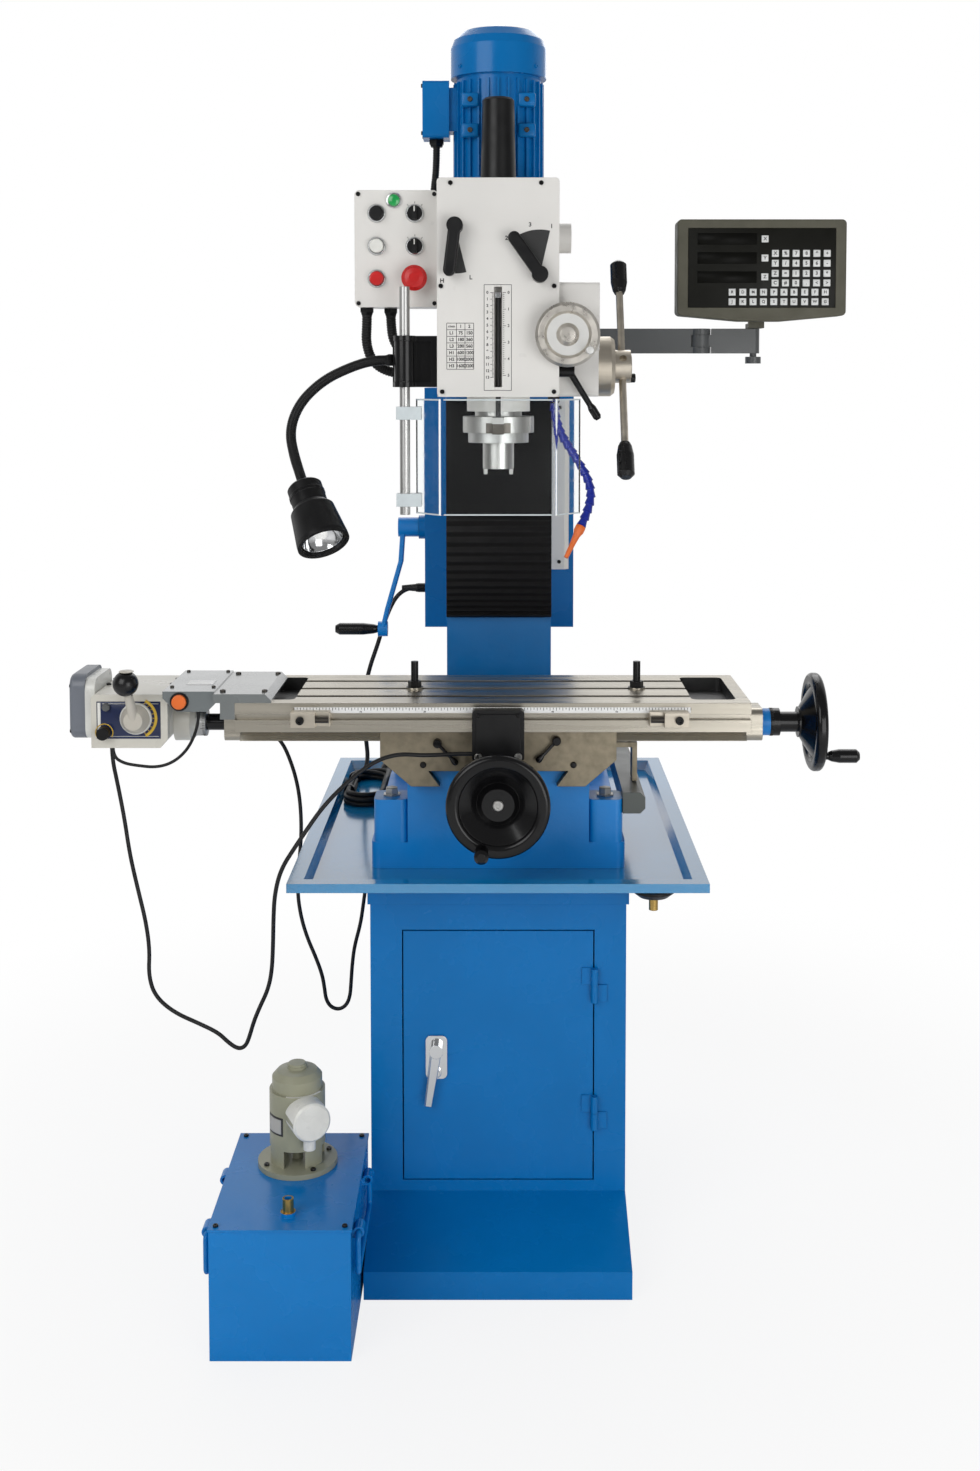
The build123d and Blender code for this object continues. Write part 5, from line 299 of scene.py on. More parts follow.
def ground_metal(name, colour, stretch, rough=0.3):
    """Ground or turned metal with fine lines along one way."""
    finish, tree, body = shader(name, rough, 1.0)
    tinted(tree, body, colour, 0.10, 60, stretch)
    tree.links.new(noise(tree, 90, rough * 0.7, rough * 1.4, stretch, 5), body.inputs["Roughness"])
    relief(tree, body, noise(tree, 160, 0, 1, stretch, 5), 0.10, 0.0002)
    return finish


def moulded(name, colour, rough=0.4, grain=0.12, spread=0.08, shine=0.5):
    """Moulded plastic or enamel with a fine grain."""
    finish, tree, body = shader(name, rough, Specular_IOR_Level=shine)
    tinted(tree, body, colour, spread, 30)
    tree.links.new(noise(tree, 40, rough * 0.8, rough * 1.25), body.inputs["Roughness"])
    relief(tree, body, noise(tree, 900, 0, 1), grain, 0.0002)
    return finish


def polished(name, colour):
    """Polished plating with a faint haze."""
    finish, tree, body = shader(name, 0.08, 1.0)
    tinted(tree, body, colour, 0.04, 12)
    tree.links.new(noise(tree, 35, 0.05, 0.14), body.inputs["Roughness"])
    relief(tree, body, noise(tree, 500, 0, 1), 0.02)
    return finish


def clear_sheet(name, tint):
    """Clear plastic with faint scuffs."""
    finish, tree, body = shader(name, 0.03, Transmission_Weight=1.0, IOR=1.18)
    tinted(tree, body, tint, 0.01, 5)
    tree.links.new(noise(tree, 25, 0.0, 0.07, (1, 1, 4)), body.inputs["Roughness"])
    relief(tree, body, noise(tree, 15, 0, 1), 0.02)
    return finish


def glowing(name, colour, strength):
    """A lit or bright lens."""
    finish, tree, body = shader(name, 0.15, Coat_Weight=0.5)
    drift = tinted(tree, body, colour, 0.12, 90)
    tree.links.new(drift, body.inputs["Emission Color"])
    body.inputs["Emission Strength"].default_value = strength
    relief(tree, body, noise(tree, 300, 0, 1), 0.15)
    return finish


def make_finishes():
    """Every finish of the machine by its name."""
    c = bpy.context.scene.mill_colours
    along_x, along_y, along_z = (0.02, 1, 1), (1, 0.02, 1), (1, 1, 0.02)
    # The saddle's iron is darker than the table's: partly its own duller milled finish, partly painted shade under the
    # table.
    milled = [value * share for value, share in zip(c.iron, (0.6, 0.56, 0.48))]
    return {
        "blue": gloss_paint("blue gloss paint", c.blue, coat=0.08, shine=0.22),
        "tank blue": gloss_paint("tank paint", [min(1, v * 1.2) for v in c.blue], coat=0.15, shine=0.3),
        # Painted light: the base casting, the elevating crank and the table's ends get the blue lightened, as if lit
        # from the front.
        "lit blue casting": sand_casting("blue paint lightened as painted light", [min(1, v * 1.35) for v in c.blue]),
        # Painted shade: the column and the head's carriage get the blue darkened, as if standing in shade.
        "shaded column blue": sand_casting("blue paint darkened as painted shade", [v * 0.85 for v in c.blue]),
        "white": gloss_paint("white gloss paint", c.white, 0.32, 0.02, 0.15),
        "white casting": sand_casting("white paint on castings", c.white),
        "cream": gloss_paint("feed gearbox paint", c.cream, 0.3, 0.03, 0.15),
        "grey": gloss_paint("grey satin paint", c.grey, 0.42, 0.06, 0.2),
        "pump": sand_casting("pump paint", c.pump),
        "black paint": gloss_paint("black gloss paint", c.black, 0.18, 0.2, 0.1, 0.15, shine=0.25),
        "black": moulded("black plastic", c.black, 0.36, shine=0.3),
        "grip": moulded("black grip", c.black, 0.25, 0.05, shine=0.4),
        "rubber": moulded("black rubber", (0.008, 0.008, 0.0085), 0.5, 0.3, shine=0.35),
        "fabric": moulded("bellows cloth", (0.004, 0.004, 0.0045), 0.5, 0.4, shine=0.25),
        "table": ground_metal("ground table iron", c.iron, along_x, 0.3),
        "saddle": ground_metal("saddle iron darkened with painted shade", milled, along_y, 0.45),
        "steel": ground_metal("turned steel", c.bright, along_z, 0.36),
        "steel x": ground_metal("drawn steel", c.bright, along_x, 0.25),
        "chrome": polished("chrome plating", (0.75, 0.76, 0.77)),
        "aluminium": ground_metal("turned aluminium", (0.50, 0.50, 0.49), along_z, 0.4),
        "brass": ground_metal("turned brass", c.brass, along_z, 0.3),
        "clear": clear_sheet("clear guard sheet", (0.96, 0.98, 0.98)),
        "wheel": ground_metal("satin wheel rim", (0.60, 0.57, 0.52), along_y, 0.34),
        "frost": moulded("frosted wheel plate", (0.66, 0.66, 0.64), 0.2, 0.03, 0.03),
        "red": moulded("red plastic", c.red, 0.25, 0.04),
        "ivory": moulded("white plastic", (0.74, 0.74, 0.70), 0.3, 0.05),
        "hose": moulded("blue hose plastic", c.hose, 0.3, 0.05),
        "orange": moulded("orange nozzle plastic", c.orange, 0.35, 0.05),
        "navy": moulded("navy panel film", c.navy, 0.22, 0.03),
        "gold": moulded("gold print", c.gold, 0.4, 0.03),
        "print": moulded("black print", (0.02, 0.02, 0.02), 0.5, 0.03),
        "glass black": moulded("smoked window", (0.005, 0.005, 0.004), 0.4, 0.0, shine=0.08),
        "green": glowing("green lamp lens", (0.004, 0.30, 0.06), 0.12),
        "lens": glowing("lamp lens", (0.80, 0.80, 0.78), 0.4),
        "oxide": ground_metal("blackened steel", (0.10, 0.09, 0.08), along_x, 0.35),
        "dark": moulded("painted shade in slots", (0.02, 0.02, 0.022), 0.7, 0.1),
        "bezel": moulded("readout bezel paint", (0.095, 0.091, 0.066), 0.5, 0.25, shine=0.3),
        "window": moulded("readout window", (0.008, 0.008, 0.006), 0.4, 0.02, shine=0.15),
        "key white": moulded("key caps", (0.72, 0.73, 0.72), 0.35, 0.05),
        "switch grey": gloss_paint("switch box paint", (0.125, 0.145, 0.150), 0.22, 0.05, 0.2, 1.0, 1.9),
        "clamp grey": gloss_paint("clamp plate paint", (0.135, 0.150, 0.150), 0.22, 0.06, 0.3, 1.0, 1.9),
        "cover": gloss_paint("motor cover paint", (0.16, 0.175, 0.205), 0.38, 0.05, 0.2),
        "beige": gloss_paint("lever paint", (0.50, 0.47, 0.41), 0.34, 0.05, 0.2),
        "satin": ground_metal("satin hub metal", (0.56, 0.51, 0.43), along_x, 0.4),
        # The tray's own gloss blue, made lighter than the sheet blue as painted reflection, so that its floor reads
        # bright.
        "tray": gloss_paint("tray blue lightened as painted reflection", (0.0, 0.215, 0.47), 0.14, 0.05, 0.3, 1.0, 1.9),
        "pocket": moulded("near-black pocket floors", (0.018, 0.018, 0.018), 0.4, 0.3),
        "scale grey": gloss_paint("scale cover paint", (0.08, 0.09, 0.083), 0.4, 0.05, 0.2),
        "scale white": moulded("ruler face", (0.80, 0.80, 0.79), 0.35, 0.03, 0.03),
        "apron": moulded("apron sheet", (0.003, 0.003, 0.0035), 0.45, 0.05, shine=0.12),
        "edge highlight": moulded("painted highlight on the clear sheet's edges", (0.62, 0.68, 0.70), 0.3, 0.02),
    }


# Modelling helpers


def deselect():
    """Leaves nothing selected, so that the next operator acts on its own piece."""
    bpy.ops.object.select_all(action="DESELECT")


def pick(*pieces):
    """Selects these pieces alone, the first one active."""
    deselect()
    for piece in pieces:
        piece.select_set(True)
    bpy.context.view_layer.objects.active = pieces[0]


def settle(piece, matrix=None):
    """Moves a piece's place, or another one that is given, into its mesh."""
    if matrix is not None:
        piece.matrix_world = matrix
    pick(piece)
    bpy.ops.object.transform_apply(location=True, rotation=True, scale=True)
    return piece


def added(name, scale=(1, 1, 1)):
    """Names the shape just added and gives it its size."""
    piece = bpy.context.object
    piece.name = name
    piece.scale = scale
    return settle(piece)


def edit(piece):
    """Opens a piece for editing, all of it selected."""
    pick(piece)
    bpy.ops.object.mode_set(mode="EDIT")
    bpy.ops.mesh.select_all(action="SELECT")


def close(outward=False):
    """Ends the editing, after turning every face outward if that is wanted."""
    if outward:
        bpy.ops.mesh.select_all(action="SELECT")
        bpy.ops.mesh.normals_make_consistent(inside=False)
    bpy.ops.object.mode_set(mode="OBJECT")


def grow(rise, size, centre):
    """Extrudes the selected face upward and sizes it about a centre."""
    bpy.ops.mesh.extrude_region_move(TRANSFORM_OT_translate={"value": (0, 0, rise * MM)})
    bpy.ops.transform.resize(value=size, center_override=Vector(centre) * MM)


def box(name, low, high, edge=0.5, steps=2):
    """A box between two corners in millimetres, all its edges bevelled."""
    low, high = Vector(low) * MM, Vector(high) * MM
    deselect()
    bpy.ops.mesh.primitive_cube_add(size=1, location=(low + high) / 2)
    piece = added(name, high - low)
    edit(piece)
    bpy.ops.mesh.bevel(offset=edge * MM, segments=steps, affect="EDGES")
    close()
    return piece


def lathe(name, profile, sides=40):
    """A turned piece about Z: the ring of the first step is extruded and sized along (radius, height) steps."""
    radius, height = profile[0]
    deselect()
    bpy.ops.mesh.primitive_circle_add(vertices=sides, radius=radius * MM, fill_type="NGON",
                                      location=(0, 0, height * MM))
    piece = added(name)
    edit(piece)
    for wide, high in profile[1:]:
        grow(high - height, (wide / radius, wide / radius, 1), (0, 0, high))
        radius, height = wide, high
    close(True)
    return piece


def arc_band(name, inner, outer, start, sweep, height, steps=24):
    """A flat band bent round Z from a start angle through a sweep, in degrees, its face up."""
    deselect()
    bpy.ops.mesh.primitive_plane_add(size=1, location=((inner + outer) / 2 * MM, 0, height / 2 * MM),
                                     rotation=(math.pi / 2, 0, 0))
    piece = added(name, ((outer - inner) * MM, height * MM, 1))
    edit(piece)
    bpy.ops.mesh.spin(steps=steps, angle=-math.radians(sweep), center=(0, 0, 0), axis=(0, 0, 1))
    close(True)
    return settle(piece, Matrix.Rotation(math.radians(start), 4, "Z"))


def place(piece, where, facing="up", turn=0.0):
    """Turns a piece that was made upright at the origin to face one way, and puts it at a place."""
    spot = Matrix.Translation(Vector(where) * MM)
    return settle(piece, spot @ FACING[facing] @ Matrix.Rotation(turn, 4, "Z"))


def aim_along(piece, route):
    """Puts a piece made upright at the end of a route, pointing on along its last run."""
    before, end = (Vector(spot) for spot in route[-2:])
    turn = (end - before).to_track_quat("Z", "Y").to_matrix().to_4x4()
    return settle(piece, Matrix.Translation(end * MM) @ turn)


def joined(name, pieces):
    """Joins pieces to one."""
    pick(*pieces)
    if len(pieces) > 1:
        bpy.ops.object.join()
    piece = bpy.context.object
    piece.name = name
    return piece


def copies(source, name, places, facing="up"):
    """Copies of one modelled shape at several places, joined. A place may hold a turn as fourth number."""
    made = []
    for spot in places:
        twin = source.copy()
        twin.data = source.data.copy()
        bpy.context.collection.objects.link(twin)
        made.append(place(twin, spot[:3], facing, *spot[3:]))
    bpy.data.objects.remove(source)
    return joined(name, made)


def coated(piece, finish, body, slot):
    """Gives a piece its finish, smooth shading and the body it moves with, unless it bends between two."""
    piece.data.materials.clear()
    piece.data.materials.append(FINISHES[finish])
    if piece.type == "MESH":
        pick(piece)
        bpy.ops.object.shade_smooth_by_angle(angle=math.radians(35))
    if body:
        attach(piece, body)
    return piece


def turned(name, profile, sides, where, facing, finish, body, slot):
    """A turned piece at its place, with its finish and its body."""
    return coated(place(lathe(name, profile, sides), where, facing), finish, body, slot)


def screw_head(radius, height=2.5):
    """One socket-head screw, face up: a chamfered head with a six-sided socket pressed in."""
    piece = lathe("screw", [(radius, 0), (radius, height * 0.75), (radius * 0.86, height)], 24)
    deselect()
    bpy.ops.mesh.primitive_cylinder_add(vertices=6, radius=radius * 0.5 * MM, depth=height * MM,
                                        location=(0, 0, height * MM))
    socket = bpy.context.object
    pick(piece)
    cut = piece.modifiers.new("socket", "BOOLEAN")
    cut.object = socket
    bpy.ops.object.modifier_apply(modifier=cut.name)
    bpy.data.objects.remove(socket)
    return piece


def screws(name, size, places, facing, finish, body, slot):
    """Screw heads of one size at several places, as one piece."""
    return coated(copies(screw_head(*size), name, places, facing), finish, body, slot)


def grid(xs, ys, zs):
    """Every place that these coordinates give."""
    return [(x, y, z) for x in xs for y in ys for z in zs]


def circle(centre, radius, z, turns):
    """Places at one height on a circle about an upright axis."""
    return [(centre[0] + radius * math.cos(turn), centre[1] + radius * math.sin(turn), z) for turn in turns]


def corners(node):
    """The two corners of a solid part's box in millimetres."""
    return [Vector(corner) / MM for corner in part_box(node)]


def numeral(text, size, where, facing="front"):
    """Raised figures made a mesh, centred on a place."""
    deselect()
    bpy.ops.object.text_add(location=(0, 0, 0))
    figures = bpy.context.object
    figures.data.body = text
    figures.data.size = size * MM
    figures.data.extrude = 0.1 * MM
    figures.data.offset = 0.03 * size * MM
    figures.data.align_x = "CENTER"
    figures.data.align_y = "CENTER"
    bpy.ops.object.convert(target="MESH")
    return place(bpy.context.object, where, facing)


def nurbs(name, route, radius=0.0):
    """A smooth curve with a route's points as its control points, round where it has a radius."""
    curve = bpy.data.curves.new(name, "CURVE")
    curve.dimensions = "3D"
    spline = curve.splines.new("NURBS")
    spline.points.add(len(route) - 1)
    for point, spot in zip(spline.points, route):
        point.co = (*(Vector(spot) * MM), 1)
    spline.order_u = 3
    spline.use_endpoint_u = True
    spline.resolution_u = 8
    curve.bevel_depth = radius * MM
    curve.bevel_resolution = 5
    curve.use_fill_caps = True
    line = bpy.data.objects.new(name, curve)
    bpy.context.collection.objects.link(line)
    return line


def line_points(line):
    """The points of a curve's own line."""
    mesh = bpy.data.meshes.new_from_object(line.evaluated_get(bpy.context.evaluated_depsgraph_get()))
    spots = [v.co.copy() for v in mesh.vertices]
    bpy.data.meshes.remove(mesh)
    return spots


def ring_along_x(profile, sides=24):
    """A turned ring whose axis is X, open at both ends."""
    ring = lathe("ring", profile, sides)
    edit(ring)
    bpy.ops.mesh.select_mode(type="FACE")
    bpy.ops.mesh.select_face_by_sides(number=sides, type="EQUAL", extend=False)
    bpy.ops.mesh.delete(type="ONLY_FACE")
    bpy.ops.mesh.select_mode(type="VERT")
    close()
    return settle(ring, FACING["right"])


def along(name, route, ring, pitch):
    """Repeats one ring, made about X from the origin on, along a smooth curve through a route."""
    line = nurbs(name + "_line", route)
    pick(ring)
    repeat = ring.modifiers.new("repeat", "ARRAY")
    repeat.fit_type = "FIT_CURVE"
    repeat.curve = line
    repeat.use_relative_offset = False
    repeat.use_constant_offset = True
    repeat.constant_offset_displace = (pitch * MM, 0, 0)
    repeat.use_merge_vertices = True
    bend = ring.modifiers.new("bend", "CURVE")
    bend.object = line
    for step in (repeat.name, bend.name):
        bpy.ops.object.modifier_apply(modifier=step)
    spots = line_points(line)
    bpy.data.objects.remove(line)
    edit(ring)
    bpy.ops.mesh.fill_holes(sides=0)
    close(True)
    ring.name = name
    return ring, spots


# Finishes of the solids


FINISHES = {}


def paint(node, finish):
    """Gives a solid part its finish."""
    mesh = NODES[node].data
    mesh.materials.clear()
    mesh.materials.append(FINISHES[finish])


def paint_where(node, finish, test):
    """Gives another finish to the faces of a solid part whose corners all pass a test in millimetres."""
    mesh = NODES[node].data
    mesh.materials.append(FINISHES[finish])
    number = len(mesh.materials) - 1
    inside = [test(*(v.co / MM)) for v in mesh.vertices]
    for face in mesh.polygons:
        if all(inside[v] for v in face.vertices):
            face.material_index = number


# Operators


class MILL_OT_stage(bpy.types.Operator):
    """Sets the floor, the camera at the photograph's view and the soft lights"""

    bl_idname = "mill.stage"
    bl_label = "Studio"

    def execute(self, context):
        studio = context.scene.mill_studio
        context.scene.view_settings.view_transform = "Standard"
        deselect()
        bpy.ops.mesh.primitive_plane_add(size=30)
        floor = context.object
        floor.name = "floor"
        floor.data.materials.append(self.floor_finish(studio))
        self.camera(context, studio)
        self.lights(studio)
        self.room(context, studio)
        return {"FINISHED"}

    def seen(self, tree):
        """Tells the rays that the camera sees, also through the clear sheet, from the others."""
        ray = put(tree, "LightPath")
        either = {0: ray.outputs["Is Camera Ray"], 1: ray.outputs["Is Transmission Ray"]}
        return put(tree, "Math", either, operation="MAXIMUM").outputs[0]

    def floor_finish(self, studio):
        """A pale floor that keeps the machine's shadow near it and fades into the white room further out."""
        finish, tree, body = shader("pale floor", 0.6)
        tinted(tree, body, studio.floor, 0.01, 2)
        where = put(tree, "TexCoord")
        reach = put(tree, "VectorMath", {0: where.outputs["Object"]}, operation="LENGTH")
        span = {"Value": reach.outputs["Value"], "From Min": 0.7, "From Max": 1.7, "To Min": 0.84}
        fade = put(tree, "MapRange", span, interpolation_type="SMOOTHSTEP")
        share = put(tree, "Math", {0: fade.outputs[0], 1: self.seen(tree)}, operation="MULTIPLY")
        white = put(tree, "Emission", {"Color": (1, 1, 1, 1), "Strength": 1.0})
        mix = put(tree, "MixShader", {0: share.outputs[0], 1: body.outputs[0], 2: white.outputs[0]})
        tree.links.new(mix.outputs[0], tree.nodes["Material Output"].inputs["Surface"])
        return finish

    def camera(self, context, studio):
        """A camera that stands level with the head and is shifted down to hold the whole machine."""
        deselect()
        bpy.ops.object.camera_add(location=studio.eye, rotation=(math.pi / 2 - studio.tilt, 0, 0))
        eye = context.object
        eye.name = "camera"
        eye.data.lens = studio.lens
        eye.data.sensor_width = 36
        eye.data.shift_x = studio.shift_x
        eye.data.shift_y = studio.shift_y
        context.scene.camera = eye

    def lights(self, studio):
        """Two large lights in front and one above and behind."""
        for name, spot, aim, size, power in (
                ("key", (-2.0, -3.0, 2.5), (0, 0, 0.9), 2.4, studio.key),
                ("fill", (1.7, -3.2, 0.9), (0, 0, 0.7), 2.0, studio.fill),
                ("back", (0.3, 2.4, 3.2), (0, 0, 1.1), 2.2, 0.7 * studio.fill)):
            deselect()
            bpy.ops.object.light_add(type="AREA", location=spot)
            lamp = bpy.context.object
            lamp.name = name + "_light"
            lamp.data.energy = power
            lamp.data.size = size
            lamp.rotation_euler = (Vector(aim) - Vector(spot)).to_track_quat("-Z", "Y").to_euler()

    def room(self, context, studio):
        """A white backdrop behind the machine and a dimmer room before it; the camera sees white all round."""
        room = bpy.data.worlds.new("room")
        context.scene.world = room
        room.use_nodes = True
        tree = room.node_tree
        tree.nodes.clear()
        way = put(tree, "SeparateXYZ", {0: put(tree, "TexCoord").outputs["Generated"]})
        span = {"Value": way.outputs["Y"], "From Min": -0.1, "From Max": 0.5, "To Min": studio.room,
                "To Max": studio.backdrop}
        level = put(tree, "MapRange", span, interpolation_type="SMOOTHSTEP")
        even = put(tree, "Background", {"Color": (1, 1, 1, 1), "Strength": level.outputs[0]})
        white = put(tree, "Background", {"Color": (1, 1, 1, 1), "Strength": 1.0})
        mix = put(tree, "MixShader", {0: self.seen(tree), 1: even.outputs[0], 2: white.outputs[0]})
        put(tree, "OutputWorld", {"Surface": mix.outputs[0]})


class MILL_OT_finishes(bpy.types.Operator):
    """Gives every solid part its finish"""

    bl_idname = "mill.finishes"
    bl_label = "Finishes of the solids"

    PLAIN = {
        "blue": ("cabinet_shell", "cabinet_door", "electrical_box", "motor"),
        "tank blue": ("coolant_tank", "left_bail", "right_bail"),
        "lit blue casting": ("base_casting", "elevating_crank"),
        "shaded column blue": ("column", "head_carriage"),
        "tray": ("tray",),
        "white": ("front_plate", "control_box"),
        "white casting": ("head_housing",),
        "cream": ("feed_housing",),
        "grey": ("readout_bracket", "readout_arm"),
        "bezel": ("readout_panel",),
        "switch grey": ("switch_box",),
        "pump": ("coolant_pump",),
        "black paint": ("cross_handwheel", "table_handwheel", "guard_bracket", "guard_barrel", "quill_lock"),
        "black": ("drawbar_cap", "limit_switch", "range_lever", "speed_lever", "upper_selector", "lower_selector",
                  "feed_knob", "black_button", "work_lamp"),
        "beige": ("feed_lever",),
        "fabric": ("column_bellows",),
        "rubber": ("mains_cable", "tray_coil", "feed_cord", "feed_loop", "feed_supply_cord", "control_conduits"),
        "table": ("table",),
        "saddle": ("saddle",),
        "steel": ("quill", "spindle", "elevating_screw"),
        "aluminium": ("guard_rod",),
        "satin": ("downfeed_hub", "left_stop", "right_stop"),
        "chrome": ("lock_handle",),
        "wheel": ("fine_feed_wheel",),
        "clear": ("guard_screen",),
        "red": ("stop_button", "emergency_stop"),
        "orange": ("switch_button",),
        "ivory": ("white_button",),
        "hose": ("coolant_hose",),
    }

    # Faces of a solid that have another finish than the rest of it.
    OTHER = (
        ("elevating_crank", "grip", lambda x, y, z: x < -227),
        ("downfeed_hub", "chrome", lambda x, y, z: math.dist((y, z), HUB_YZ) > 55),
        ("downfeed_hub", "grip", lambda x, y, z: math.dist((y, z), HUB_YZ) > 125),
        ("cross_handwheel", "aluminium", lambda x, y, z: -220.4 < y < -204),
        ("cross_handwheel", "steel", lambda x, y, z: y > -204.2),
        ("table_handwheel", "aluminium", lambda x, y, z: 442.9 < x < 459.1 or -492.7 < x < -476.5),
        ("table_handwheel", "steel x", lambda x, y, z: -476.4 < x < 442.8),
        ("coolant_pump", "ivory", lambda x, y, z: x > -318.2 and y < -318.9 and 235.5 < z < 310.5),
        ("feed_housing", "ivory", lambda x, y, z: -665.2 < x < -648.9),
        ("feed_housing", "cover", lambda x, y, z: x < -664.9),
        ("feed_lever", "grip", lambda x, y, z: z > 884),
        ("table", "lit blue casting", lambda x, y, z: x > 396.1 or x < -412.1),
        ("table", "black", lambda x, y, z: z > 876.1),
        ("quill", "aluminium", lambda x, y, z: z < 1307 and math.dist((x, y), QUILL_XY) > 38),
        ("readout_bracket", "white", lambda x, y, z: z < 1350),
        ("readout_bracket", "scale grey", lambda x, y, z: z < 730),
        ("electrical_box", "black", lambda x, y, z: x < -138.1),
        ("switch_box", "clamp grey", lambda x, y, z: x > -446.1),
        ("tray", "black", lambda x, y, z: 206 < x < 275 and -279 < y < -211 and z < 597.1),
        ("tray", "brass", lambda x, y, z: 230 < x < 250 and z < 585.2),
        ("coolant_tank", "brass", lambda x, y, z: z > 191.1),
        # Painted highlight: bright faces on the clear sheet's edges, where light catches them.
        ("guard_screen", "edge highlight", lambda x, y, z: x < -117.5 and (1184 < z < 1206 or 1318 < z < 1340)),
        ("guard_screen", "edge highlight", lambda x, y, z: z > 1350.9),
        ("guard_screen", "edge highlight", lambda x, y, z: z < 1173.1),
        ("guard_screen", "edge highlight", lambda x, y, z: y > -189.6),
        ("fine_feed_wheel", "frost", lambda x, y, z: -235.8 < y < -235.4 and math.dist((x, z), WHEEL_XZ) < 33),
        ("head_housing", "satin", lambda x, y, z: x > 94.1 and 1581 < z < 1631),
        ("quill", "print", lambda x, y, z: y < -150 and z > 1312),
        ("quill", "chrome", lambda x, y, z: z > 1505.9 and y < -150),
        # The floors of the table's two end pockets are painted near black.
        ("table", "pocket", lambda x, y, z: 305.9 < x < 376.1 and -171 < y < 23 and z > 853.9),
        ("table", "pocket", lambda x, y, z: -392.1 < x < -321.9 and -171 < y < 23 and z > 853.9),
        ("saddle", "brass", lambda x, y, z: abs(x) < 21 and z < 741 and -80 < y < -20),
        ("control_box", "aluminium", lambda x, y, z: y < -150.2),
        ("cabinet_door", "chrome", lambda x, y, z: -115.2 < x < -80.8 and y < -195.1 and 273 < z < 345),
        ("head_carriage", "brass", lambda x, y, z: abs(x) < 20.1 and y > 164.9 and 1359 < z < 1421),
    )

    def execute(self, context):
        FINISHES.update(make_finishes())
        for finish, nodes in self.PLAIN.items():
            for node in nodes:
                paint(node, finish)
        for node, finish, test in self.OTHER:
            paint_where(node, finish, test)
        return {"FINISHED"}


